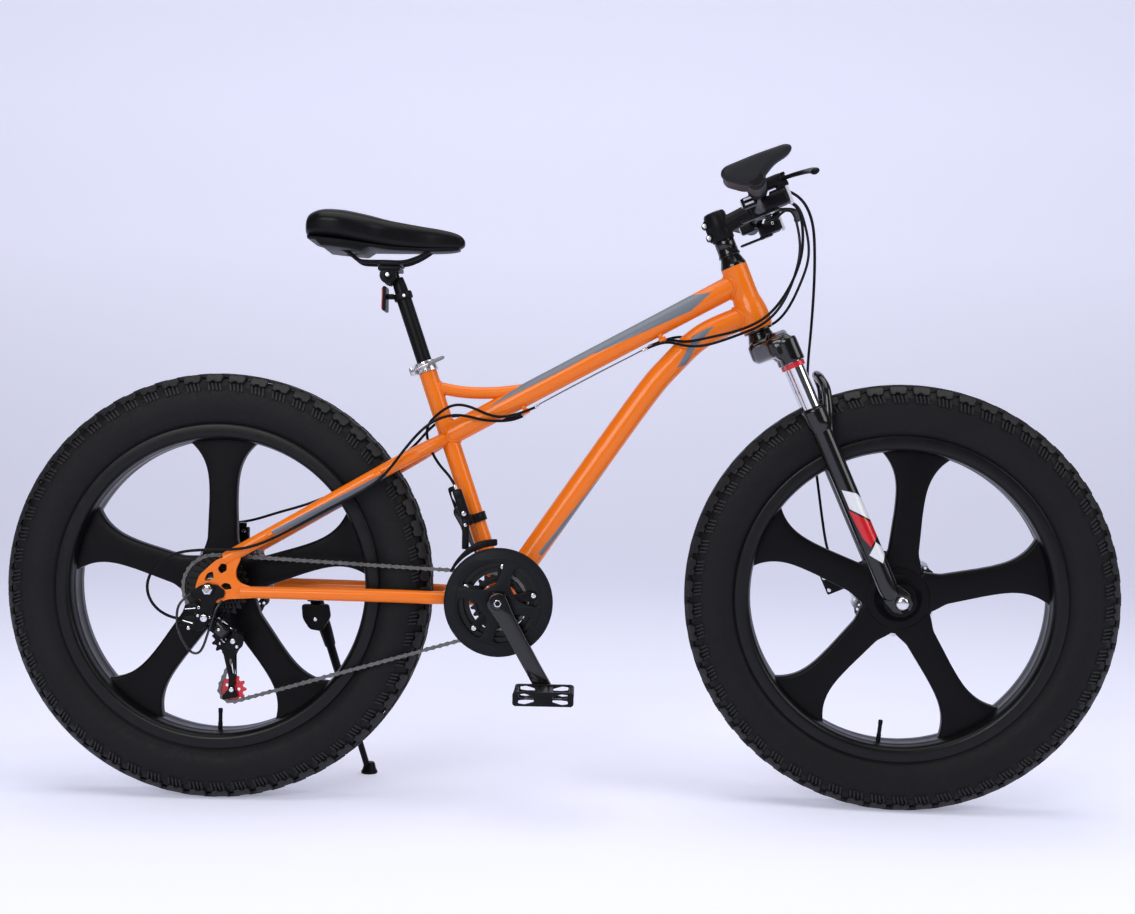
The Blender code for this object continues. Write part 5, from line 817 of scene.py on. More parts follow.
def freewheel():
    """Seven sprockets on one core, the largest next to the spokes."""
    skin = Skin("dark_steel", "steel")
    place = REAR_HUB @ ACROSS
    for index, teeth in enumerate(SPROCKET_TEETH):
        y = SPROCKET_FIRST - 0.005 * index
        outlines = [gear(teeth), circle(0.0165, 40)]
        if index == 0:
            for k in range(6):
                a = 2 * pi * k / 6
                window = [(0.034, a - 0.3), (0.049, a - 0.34), (0.051, a), (0.049, a + 0.34),
                    (0.034, a + 0.3)]
                outlines.append(eased([(q * cos(b), q * sin(b)) for q, b in window], 0.003, 2))
        plate(skin, outlines, y - 0.001, y + 0.001, place, 0.0004, 1)
    last = SPROCKET_FIRST - 0.03
    turned(skin, [(last - 0.0014, 0.0165), (last - 0.0014, 0.019), (last - 0.0008, 0.0225),
        (-0.0466, 0.0235), (-0.0466, 0.0165)], place, 48, closed=True)
    turned(skin, [(last - 0.0016, 0.0166), (last - 0.0016, 0.0188), (last - 0.001, 0.0188),
        (last - 0.001, 0.0166)], place, 48, 1, closed=True)
    return piece(skin, "freewheel_look", "freewheel", ["freewheel"], 40)


def tangent(first, second):
    """Where a taut line leaves one circle and meets the next, going clockwise over each wheel of side +1."""
    (ca, ra, sa), (cb, rb, sb) = first, second
    gap = cb - ca
    angle = atan2(gap[1], gap[0]) + acos((sa * ra - sb * rb) / np.linalg.norm(gap))
    normal = np.array([cos(angle), sin(angle)])
    return ca + normal * sa * ra, cb + normal * sb * rb


def chain_line():
    """Even points of the chain's pitch line, one for each roller: arcs over four wheels and the tangents
    between."""
    circles = [(np.array([0.0, AXLE_HEIGHT]), pitch_radius(28), 1), (np.array([CRANK_X, CRANK_Z]),
        pitch_radius(24), 1), (np.array(TENSION_PULLEY), pitch_radius(11), 1),
        (np.array(GUIDE_PULLEY), pitch_radius(11), -1)]
    line = []
    for index, (centre, radius, side) in enumerate(circles):
        arrive = tangent(circles[index - 1], circles[index])[1] - centre
        leave = tangent(circles[index], circles[(index + 1) % 4])[0] - centre
        start, end = atan2(arrive[1], arrive[0]), atan2(leave[1], leave[0])
        sweep = (start - end) % (2 * pi) if side > 0 else -((end - start) % (2 * pi))
        angle = start - np.linspace(0, sweep, 60)
        line.append(centre + radius * np.stack([np.cos(angle), np.sin(angle)], axis=-1))
    line = np.vstack(line + [line[0][:1]])
    total = np.linalg.norm(np.diff(line, axis=0), axis=1).sum()
    count = 2 * round(total / CHAIN_PITCH / 2)
    return along_line(line, np.arange(count) * total / count)


def chain():
    """The chain: plates with two round lobes and a waist between them, rollers and rivets, link after
    link."""
    skin = Skin("chain_steel", "dark_steel")
    pins = chain_line()
    share = np.clip((pins[:, 0] - 0.065) / (CRANK_X - 0.06 - 0.065), 0, 1)
    lean = SPROCKET_FIRST + (RING_PLANES[2] - SPROCKET_FIRST) * share
    pins = np.column_stack([pins[:, 0], lean, pins[:, 1]])
    count = len(pins)
    ahead = np.roll(pins, -1, axis=0) - pins
    length = np.linalg.norm(ahead, axis=1)
    ahead /= length[:, None]
    side = np.cross(ahead, (0.0, 1.0, 0.0))
    side /= np.linalg.norm(side, axis=1, keepdims=True)
    across = np.cross(side, ahead)
    lobe = np.linspace(-0.72 * pi, 0.72 * pi, 7)
    p = CHAIN_PITCH
    for parity, offset in ((0, 0.0029), (1, 0.0018)):
        radius = 0.0039 if parity == 0 else 0.0037
        far = np.stack([p + radius * np.cos(lobe), radius * np.sin(lobe)], axis=-1)
        close = np.stack([-radius * np.cos(lobe), -radius * np.sin(lobe)], axis=-1)
        outline = np.vstack([far, [(p / 2, radius * 0.62)], close, [(p / 2, -radius * 0.62)]])
        n = len(outline)
        which = np.arange(parity, count, 2)
        for sign in (-1, 1):
            levels = [offset * sign, (offset + 0.0009) * sign]
            local = np.array([(u, v, level) for level in levels for u, v in outline])
            points = (pins[which][:, None] + local[None, :, :1] * ahead[which][:, None] + local[None, :, 1:2]
                * side[which][:, None] + local[None, :, 2:] * across[which][:, None])
            shift = (np.arange(len(which)) * 2 * n)[:, None, None]
            walls = (grid_faces(2, n) + shift).reshape(-1, 4)
            cap = np.arange(n)[None, :] + shift[:, :, 0]
            skin.add(points, [walls, cap, cap + n], 0)
    angle = ring_angles(12)
    for radius, half, mark in ((0.0038, 0.0017, 1), (0.0017, 0.0041, 0)):
        ring = np.stack([radius * np.cos(angle), radius * np.sin(angle), 0 * angle], axis=-1)
        local = np.vstack([ring + (0, 0, -half), ring + (0, 0, half)])
        points = (pins[:, None] + local[None, :, :1] * ahead[:, None] + local[None, :, 1:2] * side[:, None]
            + local[None, :, 2:] * across[:, None])
        shift = (np.arange(count) * 24)[:, None, None]
        walls = (grid_faces(2, 12) + shift).reshape(-1, 4)
        cap = np.arange(12)[None, :] + shift[:, :, 0]
        skin.add(points, [walls, cap, cap + 12], mark)
    return piece(skin, "chain_look", "frame", ["chain"], 35)


def arm_outline(turn_by, hub_radius, waist, tip_radius, length=CRANK_LENGTH):
    """A crank arm seen from its side: round ends joined by straight sides that narrow towards the tip."""
    hub = np.linspace(pi / 2, 3 * pi / 2, 17)
    tip = np.linspace(-pi / 2, pi / 2, 17)
    points = np.vstack([np.stack([hub_radius * np.cos(hub), hub_radius * np.sin(hub)], axis=-1),
        [(0.03, -waist), (length * 0.75, -waist * 0.92)], np.stack([length + tip_radius * np.cos(tip),
        tip_radius * np.sin(tip)], axis=-1), [(length * 0.75, waist * 0.92), (0.03, waist)]])
    c, s = cos(turn_by), sin(turn_by)
    return points @ np.array([[c, s], [-s, c]])


def crank_arm(side):
    """A crank arm with its boss, a round bolt cover under two six-sided nuts and pedal axle; the right one
    carries a five-armed spider."""
    word = "left" if side > 0 else "right"
    angle = CRANK_TURN + (pi if side > 0 else 0.0)
    place = CRANK @ ACROSS
    skin = Skin("gloss_black", "silver", "satin_black")
    plate(skin, [arm_outline(angle, 0.0185, 0.0152, 0.0145)], side * 0.0945, side * 0.1068, place, 0.0026, 4)
    turned(skin, [(side * 0.054, 0.008), (side * 0.054, 0.0165), (side * 0.057, 0.018),
        (side * 0.096, 0.0182), (side * 0.096, 0.008)], place, 48, closed=True)
    turned(skin, [(side * 0.106, 0.0), (side * 0.106, 0.0125), (side * 0.1069, 0.0122),
        (side * 0.107, 0.0112), (side * 0.1066, 0.01), (side * 0.1066, 0.0)], place, 40, 2)
    nut(skin, (CRANK_X, side * 0.1062, CRANK_Z), (0, side, 0), 0.0068, 0.0009, 1)
    nut(skin, (CRANK_X, side * 0.1062, CRANK_Z), (0, side, 0), 0.0048, 0.0012, 2)
    tip = np.array([CRANK_X + CRANK_LENGTH * cos(angle), 0.0, CRANK_Z + CRANK_LENGTH * sin(angle)])
    lift = np.array([0.0, side, 0.0])
    rod(skin, tip + lift * 0.104, tip + lift * 0.1115, 0.008, 28, 1, None, 0.0006)
    rod(skin, tip + lift * 0.11, tip + lift * 0.1915, 0.0054, 20, 1)
    if side < 0:
        for k in range(5):
            a = angle + 2 * pi * k / 5
            sides = [(0.016, -0.62), (0.04, -0.2), (0.066, -0.115), (0.069, 0.0), (0.066, 0.115),
                (0.04, 0.2), (0.016, 0.62)]
            arm = eased([(q * cos(a + b), q * sin(a + b)) for q, b in sides], 0.004, 3)
            plate(skin, [arm], -0.079, -0.0828, place, 0.001, 2, 2)
            bolt(skin, (CRANK_X + 0.0625 * cos(a), -0.0826, CRANK_Z + 0.0625 * sin(a)), (0, -1, 0), 0.0044,
                0.0016, 1)
    return piece(skin, "crank_arm_" + word + "_look", "crank", ["crank_arm_" + word], 40)


def chainrings():
    """Three toothed rings, open in their middles, joined by rivets."""
    skin = Skin("dark_steel", "steel")
    place = CRANK @ ACROSS
    for teeth, y, inner in zip(RING_TEETH, RING_PLANES, (0.062, 0.052, 0.033)):
        plate(skin, [gear(teeth, 0.003), circle(inner, 64)], y - 0.001, y + 0.001, place, 0.0003, 1)
    for radius, low, high in ((0.068, RING_PLANES[0], RING_PLANES[1]),
            (0.0425, RING_PLANES[1], RING_PLANES[2])):
        for k in range(5):
            a = CRANK_TURN + 2 * pi * k / 5
            rod(skin, spot(CRANK, radius * cos(a), low - 0.0008, radius * sin(a)),
                spot(CRANK, radius * cos(a), high + 0.0012, radius * sin(a)), 0.0045, 16, 1)
        ring_turn = [(low, radius - 0.002), (low, radius + 0.0015), (high, radius + 0.0015),
            (high, radius - 0.002)]
        turned(skin, ring_turn, place, 48, closed=True)
    for k in range(5):
        a = CRANK_TURN + 2 * pi * k / 5
        arm = eased([(q * cos(a + b), q * sin(a + b)) for q, b in ((0.04, -0.16), (0.064, -0.1),
            (0.064, 0.1), (0.04, 0.16))], 0.002, 2)
        plate(skin, [arm], RING_PLANES[1] - 0.001, RING_PLANES[1] + 0.001, place, 0.0004, 1)
    return piece(skin, "chainrings_look", "crank", ["chainrings"], 35)


def chain_guard():
    """The guard: a dished plastic ring with a thin raised rim and four rounded windows between flat
    spokes."""
    skin = Skin("guard_grey")
    place = CRANK @ ACROSS
    windows = []
    for k in range(4):
        a = CRANK_TURN + pi * k / 2
        sides = [(0.033, -0.38), (0.05, -0.59), (0.068, -0.64), (0.0722, -0.5), (0.0722, -0.25),
            (0.0722, 0.0), (0.0722, 0.25), (0.0722, 0.5), (0.068, 0.64), (0.05, 0.59), (0.033, 0.38)]
        windows.append(eased([(q * cos(a + b), q * sin(a + b)) for q, b in sides], 0.005, 4))
    plate(skin, [circle(0.0925, 120)] + windows + [circle(0.0186, 40)], -0.0853, -0.0878, place, 0.0008, 2)
    turned(skin, [(-0.084, 0.0925), (-0.0842, 0.0944), (-0.086, 0.0952), (-0.0884, 0.095), (-0.089, 0.0938),
        (-0.0884, 0.0922), (-0.0876, 0.0912), (-0.0855, 0.0912)], place, 120, closed=True)
    turned(skin, [(-0.0876, 0.0742), (-0.0884, 0.0746), (-0.0884, 0.0756), (-0.0876, 0.076),
        (-0.086, 0.0751)], place, 120, closed=True)
    turned(skin, [(-0.0855, 0.0722), (-0.079, 0.0722), (-0.079, 0.0758), (-0.0855, 0.0758)], place, 96,
        closed=True)
    return piece(skin, "chain_guard_look", "crank", ["chain_guard"], 35)


def pedal(side):
    """A platform pedal: two end plates and two long rails round the axle's barrel, with ribs, pins and
    windows."""
    word = "left" if side > 0 else "right"
    angle = CRANK_TURN + (pi if side > 0 else 0.0)
    tilt = turn(70.0, "Y") if side > 0 else Matrix.Identity(4)
    place = at(CRANK_X + CRANK_LENGTH * cos(angle), 0, CRANK_Z + CRANK_LENGTH * sin(angle)) @ tilt
    skin = Skin("pedal_plastic", "silver", "satin_black")
    y_in, y_out = side * 0.1122, side * 0.1978
    middle = (y_in + y_out) / 2
    face = eased([(-0.051, -0.0095), (-0.046, -0.0118), (0.046, -0.0118), (0.051, -0.0095), (0.051, 0.0095),
        (0.046, 0.0118), (-0.046, 0.0118), (-0.051, 0.0095)], 0.003, 3)
    drops = []
    for fore in (-1, 1):
        for rise in (-1, 1):
            drops.append(eased([(fore * 0.015, rise * 0.001), (fore * 0.03, rise * 0.0008),
                (fore * 0.041, rise * 0.002), (fore * 0.0415, rise * 0.0078), (fore * 0.031, rise * 0.0092),
                (fore * 0.015, rise * 0.0046)], 0.0018, 3))
    for y in (y_in, y_out):
        other = y + (0.0085 if y < middle else -0.0085)
        plate(skin, [face] + drops, y, other, place @ ACROSS, 0.0012, 2)
    for fore in (-1, 1):
        block(skin, (0.0075, 0.085, 0.0215), (fore * 0.0466, middle, 0.0), 0.0022, place)
        for rise in (-1, 1):
            for across in (-0.034, -0.017, 0.0, 0.017, 0.034):
                rod(skin, (fore * 0.0466, middle + across, rise * 0.01), (fore * 0.0466, middle + across,
                    rise * 0.012), 0.0026, 10, 0, place, 0.0006)
                rod(skin, (fore * (0.012 + abs(across)), y_out - side * 0.004, rise * 0.01),
                    (fore * (0.012 + abs(across)), y_out - side * 0.004, rise * 0.0122), 0.0018, 10, 0,
                    place, 0.0005)
    end = y_out - side * 0.0045
    turned(skin, [(y_in, 0.006), (y_in, 0.0105), (end, 0.0105), (end, 0.006)], place @ ACROSS, 32,
        closed=True)
    block(skin, (0.008, 0.083, 0.019), (0.0, middle, 0.0), 0.002, place @ at(0.0115, 0, 0))
    block(skin, (0.008, 0.083, 0.019), (0.0, middle, 0.0), 0.002, place @ at(-0.0115, 0, 0))
    block(skin, (0.028, 0.0085, 0.0225), (0.0, y_out - side * 0.0043, 0.0), 0.0015, place)
    return piece(skin, "pedal_" + word + "_look", "pedal_" + word, ["pedal_" + word], 38)


# Frame
def seat_at(reach, side=0.0, ahead=0.0):
    """World place of a point at a reach along the seat tube."""
    return spot(SEAT, ahead, side, reach)


def head_at(height, ahead=0.0, side=0.0):
    """World place of a point at a height along the head tube."""
    return spot(HEAD, ahead, side, height)


TOP_LOW, TOP_HIGH = seat_at(0.3071), head_at(0.0916)
TOP_ALONG = (TOP_HIGH - TOP_LOW) / np.linalg.norm(TOP_HIGH - TOP_LOW)
TOP_UNDER = np.array([TOP_ALONG[2], 0.0, -TOP_ALONG[0]])
SEAT_STAY = [(0.4, 0.01, 0.651), (0.368, 0.045, 0.632), (0.325, 0.0685, 0.6068), (0.2, 0.074, 0.5338),
    (0.06, 0.084, 0.4521), (0.026, 0.088, 0.433)]
CHAIN_STAY = [(0.482, 0.034, 0.367), (0.45, 0.0475, 0.368), (0.42, 0.058, 0.369), (0.38, 0.0655, 0.37),
    (0.33, 0.0685, 0.3715), (0.2, 0.075, 0.3735), (0.055, 0.087, 0.3755)]


def under_tube(x, y=0.0, reach=0.0265):
    """A point below the top tube's middle line, at a distance square to the tube."""
    return TOP_LOW + TOP_ALONG * (x - TOP_LOW[0]) / TOP_ALONG[0] + TOP_UNDER * reach + np.array([0.0, y, 0.0])


def mirror(points):
    """The points on the other side of the bike's middle plane."""
    return np.asarray(points, dtype=float) * (1, -1, 1)


def stay(skin, points, radii, mark=0, flat=1.0):
    """Both stays: a round bar along a smooth line and its mirror image."""
    path = smooth_path(points, 8)
    size = np.interp(np.linspace(0, 1, len(path)), np.linspace(0, 1, len(radii)), radii)
    for line in (path, mirror(path)):
        pipe(skin, line, size, 24, mark, flat=flat, up=(0, 1, 0))


def dropout_outline():
    """Edge of a rear dropout about the axle, with the slot that is open at its foot."""
    arc = np.linspace(pi, 0, 9)
    slot = [(-0.0053, -0.0225)] + [(0.0053 * cos(a), 0.0053 * sin(a)) for a in arc] + [(0.0053, -0.0235)]
    edge = [(0.016, -0.024), (0.034, -0.017), (0.078, -0.0145), (0.078, 0.004), (0.055, 0.011),
        (0.047, 0.02), (0.046, 0.034), (0.055, 0.055), (0.05, 0.066), (0.036, 0.062), (0.01, 0.05),
        (-0.018, 0.024), (-0.024, 0.005), (-0.022, -0.016), (-0.012, -0.022)]
    return np.vstack([slot, eased(edge, 0.006, 4, closed=False)])


def main_frame():
    """The welded frame: tubes carried along their lines, turned head tube and shell, plate dropouts and
    welds."""
    bead = bpy.context.scene.fat_bike_sizes.weld_bead
    skin = Skin("orange_paint", "striped_paint", "gloss_black", "silver")
    head = smooth_path([(0.1205, 0.024), (0.09, 0.0239), (0.062, 0.0243), (0.045, 0.0276), (0.03, 0.0292),
        (0.012, 0.0291), (0.002, 0.0272)], 5)
    shell = np.vstack([[(0.1205, 0.019), (0.1205, 0.0232)], head, [(0.0, 0.0262), (0.0, 0.019)]])
    turned(skin, shell, HEAD, 72, closed=True)
    turned(skin, [(0.1405, 0.015), (0.1405, 0.0178), (0.1385, 0.0184), (0.1275, 0.0222), (0.125, 0.0236),
        (0.1207, 0.0238), (0.1207, 0.015)], HEAD, 64, 2, closed=True)
    turned(skin, [(0.0, 0.015), (-0.0003, 0.0262), (-0.0016, 0.0266), (-0.0032, 0.0262), (-0.004, 0.0245),
        (-0.004, 0.015)], HEAD, 64, 2, closed=True)
    top = np.stack([TOP_LOW + (TOP_HIGH - TOP_LOW) * k / 12 for k in range(13)])
    swell = 0.02 + 0.0008 * np.clip(np.linspace(-4, 1, 13), 0, 1) + 0.0004 * np.clip(np.linspace(1, -5, 13),
        0, 1)
    pipe(skin, top, swell, 48, 1, flat=0.985, up=(0, 1, 0))
    low_joint = head_at(0.03)
    down = smooth_path([(CRANK_X, 0, CRANK_Z), (0.6077, 0, 0.5188), (0.748, 0, 0.7223), (0.799, 0, 0.786),
        (0.86, 0, 0.844), tuple(low_joint)], 12)
    pipe(skin, down, np.interp(np.arange(len(down)), (0, 8, len(down)), (0.0217, 0.0217, 0.0219)), 48, 1,
        up=(0, 1, 0))
    turned(skin, [(0.0, 0.012), (0.0, 0.0165), (0.43, 0.0165), (0.432, 0.0166), (0.443, 0.0166),
        (0.443, 0.014), (0.2, 0.014)], SEAT, 48)
    strut = smooth_path([tuple(seat_at(0.4)), (0.43, 0, 0.7345), (0.49, 0, 0.7345), (0.556, 0, 0.743)], 10)
    pipe(skin, strut, 0.0108, 32, up=(0, 1, 0))
    turned(skin, [(-0.05, 0.018), (-0.05, 0.0208), (-0.049, 0.0216), (0.049, 0.0216), (0.05, 0.0208),
        (0.05, 0.018)], CRANK @ ACROSS, 56, closed=True)
    stay(skin, SEAT_STAY, (0.0105, 0.012, 0.012, 0.012, 0.0116, 0.0105), 1)
    stay(skin, CHAIN_STAY, (0.0125, 0.012, 0.0115, 0.0115, 0.0115, 0.0115, 0.01), 0)
    rod(skin, (0.35, -0.06, 0.6215), (0.35, 0.06, 0.6215), 0.007, 28)
    rod(skin, (0.405, -0.056, 0.3694), (0.405, 0.056, 0.3694), 0.008, 28)
    for side in (-1, 1):
        holes = [eased([(0.014, 0.035), (0.02, 0.027), (0.03, 0.033), (0.03, 0.044), (0.02, 0.045)], 0.003,
            3), eased([(-0.009, 0.015), (-0.001, 0.0145), (0.008, 0.02), (0.006, 0.031), (-0.004, 0.027)],
            0.003, 3), eased([(0.02, 0.006), (0.027, -0.001), (0.04, 0.001), (0.036, 0.0095),
            (0.027, 0.0115)], 0.003, 3)]
        plate(skin, [dropout_outline()] + holes, side * 0.0852, side * 0.0918, REAR_HUB @ ACROSS, 0.0014, 3)
    block(skin, (0.022, 0.013, 0.044), (0.008, 0.0833, 0.448), 0.003, None)
    for x, lanes in ((0.773, (0.0, -0.01, 0.01)), (0.53, (0.0, -0.012, 0.013))):
        middle = under_tube(x, 0.0, 0.0196)
        rod(skin, middle + (0, -0.014, 0), middle + (0, 0.014, 0), 0.0042, 20, 0, None, 0.001)
        for lane in lanes:
            core = under_tube(x, lane, 0.0275)
            rod(skin, core - TOP_ALONG * 0.0065, core + TOP_ALONG * 0.0065, 0.0042, 20, 0, None, 0.0012)
    weld(skin, TOP_HIGH, -TOP_ALONG, 0.0205, HEAD_FOOT, HEAD.col[2][:3], 0.0242, bead)
    weld(skin, TOP_LOW, TOP_ALONG, 0.0203, seat_at(0.0), SEAT.col[2][:3], 0.0166, bead)
    weld(skin, low_joint, down[-8] - down[-1], 0.0219, HEAD_FOOT, HEAD.col[2][:3], 0.029, bead)
    weld(skin, (CRANK_X, 0, CRANK_Z), down[6] - down[0], 0.0218, (CRANK_X, 0, CRANK_Z), (0, 1, 0), 0.0216,
        bead)
    weld(skin, (CRANK_X, 0, CRANK_Z), SEAT.col[2][:3], 0.0166, (CRANK_X, 0, CRANK_Z), (0, 1, 0), 0.0216, bead)
    weld(skin, seat_at(0.4), strut[2] - strut[0], 0.0109, seat_at(0.0), SEAT.col[2][:3], 0.0166, bead * 0.8)
    for side in (-1, 1):
        near, far = np.array(SEAT_STAY[0]) * (1, side, 1), np.array(SEAT_STAY[1]) * (1, side, 1)
        weld(skin, near * (1, 0, 1), far - near, 0.0108, seat_at(0.0), SEAT.col[2][:3], 0.0166, bead * 0.8)
        inner = np.array([CRANK_X - 0.0225, side * 0.034, CRANK_Z + 0.001])
        pipe(skin, inner + np.stack([0 * ring_angles(32), 0.0118 * np.cos(ring_angles(32)),
            0.0118 * np.sin(ring_angles(32))], axis=-1), bead, 8, closed=True)
        for x, z, radius in ((0.35, 0.6215, 0.007), (0.405, 0.3694, 0.008)):
            line = np.array(SEAT_STAY if z > 0.5 else CHAIN_STAY[::-1])
            order = np.argsort(line[:, 0])
            y = np.interp(x, line[order, 0], line[order, 1]) - 0.0112
            pipe(skin, np.array([x, side * y, z]) + np.stack([radius * np.cos(ring_angles(32)),
                0 * ring_angles(32), radius * np.sin(ring_angles(32))], axis=-1), bead * 0.8, 8, closed=True)
    for x in (0.104, 0.2915):
        z = np.interp(x, [0.06, 0.2, 0.325], [0.4521, 0.5338, 0.6068])
        centre = np.array([x, -0.0905, z - 0.001])
        along = np.array([0.865, 0.0, 0.502])
        rod(skin, centre - along * 0.006, centre + along * 0.006, 0.0043, 20, 0, None, 0.001)
        block(skin, (0.01, 0.012, 0.006), (0, 0.006, 0), 0.001, facing(centre, (0, 1, 0)) @ turn(90, "X"))
    return piece(skin, "main_frame_look", "frame", ["main_frame"], 40)


def bottom_bracket():
    """The two cups at the ends of the bottom bracket's shell."""
    skin = Skin("dark_steel", "satin_black")
    for side in (-1, 1):
        turned(skin, [(side * 0.038, 0.0078), (side * 0.038, 0.0172), (side * 0.05, 0.0172),
            (side * 0.05, 0.012), (side * 0.048, 0.0115), (side * 0.048, 0.0078)], CRANK @ ACROSS, 40,
            closed=True)
    return piece(skin, "bottom_bracket_look", "frame", ["bottom_bracket"])


def spindle():
    """The crank spindle, with eased ends."""
    skin = Skin("steel")
    turned(skin, [(-0.0985, 0.0), (-0.0985, 0.007), (-0.0975, 0.0075), (0.0975, 0.0075), (0.0985, 0.007),
        (0.0985, 0.0)], CRANK @ ACROSS, 32)
    return piece(skin, "crank_spindle_look", "crank", ["crank_spindle"])


def seat_collar():
    """The silver clamp ring at the seat tube's top, with its split lugs behind, and its cam lever."""
    place = SEAT @ at(0, 0, 0.427)
    skin = Skin("silver", "satin_black")
    turned(skin, [(0.0188, 0.014), (0.019, 0.0192), (0.0182, 0.02), (0.0172, 0.0201), (0.0166, 0.0196),
        (0.0026, 0.02), (0.0018, 0.0206), (0.0006, 0.0206), (0.0, 0.02), (0.0, 0.0168), (0.0163, 0.0168),
        (0.0163, 0.014)], place, 64, closed=True)
    for side in (-1, 1):
        block(skin, (0.0125, 0.009, 0.0135), (-0.0243, side * 0.0065, 0.0085), 0.002, place)
    piece(skin, "seat_collar_look", "frame", ["seat_collar"])
    lever = Skin("silver", "grey_plastic")
    hinge = SEAT @ at(-0.0245, -0.0153, 0.4355)
    rod(lever, (0, 0, -0.007), (0, 0, 0.007), 0.0042, 24, 0, hinge, 0.001)
    route = smooth_path([(0, -0.001, 0), (0.01, -0.0085, 0.001), (0.03, -0.01, 0.003),
        (0.058, -0.007, 0.006)], 6)
    size = np.interp(np.linspace(0, 1, len(route)), (0, 0.25, 0.6, 1), (0.0036, 0.0034, 0.0044, 0.005))
    pipe(lever, route, size, 20, 0, hinge, domed=True, flat=0.62, up=(0, 0, 1))
    tip = smooth_path(route[-6:] + (0, -0.0004, 0), 2)
    pipe(lever, tip, 0.0054, 20, 1, hinge, domed=True, flat=0.66, up=(0, 0, 1))
    piece(lever, "seat_quick_release_look", "seat_quick_release", ["seat_quick_release"])


def rear_axle():
    """The axle with cones, black washers and domed nuts."""
    skin = Skin("silver", "satin_black", "steel")
    place = REAR_HUB @ ACROSS
    turned(skin, [(-0.108, 0.0), (-0.108, 0.0044), (-0.1072, 0.005), (0.103, 0.005), (0.104, 0.0042),
        (0.104, 0.0)], place, 32, 2)
    for side, face in ((-1, 0.0971), (1, 0.0925)):
        turned(skin, [(side * 0.0846, 0.0052), (side * 0.0846, 0.008), (side * 0.054, 0.0097),
            (side * 0.05, 0.008), (side * 0.05, 0.0052)], place, 32, 2, closed=True)
        turned(skin, [(side * face, 0.0052), (side * face, 0.0112), (side * (face + 0.0016), 0.0112),
            (side * (face + 0.0018), 0.0052)], place, 40, 1, closed=True)
        foot = face + 0.0018
        nut(skin, spot(REAR_HUB, 0, side * foot, 0), (0, side, 0), 0.0094, 0.005)
        turned(skin, [(side * (foot + 0.0046), 0.0), (side * (foot + 0.0046), 0.0078),
            (side * (foot + 0.0062), 0.0072), (side * (foot + 0.0074), 0.0052),
            (side * (foot + 0.0078), 0.0)], place, 32)
    return piece(skin, "rear_axle_look", "frame", ["rear_axle"])


# Rear derailleur
SLANT_ANGLE = atan2(HANGER_BOLT[1] - KNUCKLE_PIVOT[1], KNUCKLE_PIVOT[0] - HANGER_BOLT[0])
SLANT = Matrix.Rotation(SLANT_ANGLE, 4, "Y")
LINK_REACH = sqrt((KNUCKLE_PIVOT[0] - HANGER_BOLT[0]) ** 2 + (KNUCKLE_PIVOT[1] - HANGER_BOLT[1]) ** 2)
PIN_SETBACK = 0.0185
LINK_SPAN = LINK_REACH - 2 * PIN_SETBACK
LINK = at(HANGER_BOLT[0], LINK_Y, HANGER_BOLT[1]) @ SLANT @ at(PIN_SETBACK, 0, 0)
KNUCKLE = LINK @ at(LINK_SPAN, 0, 0)


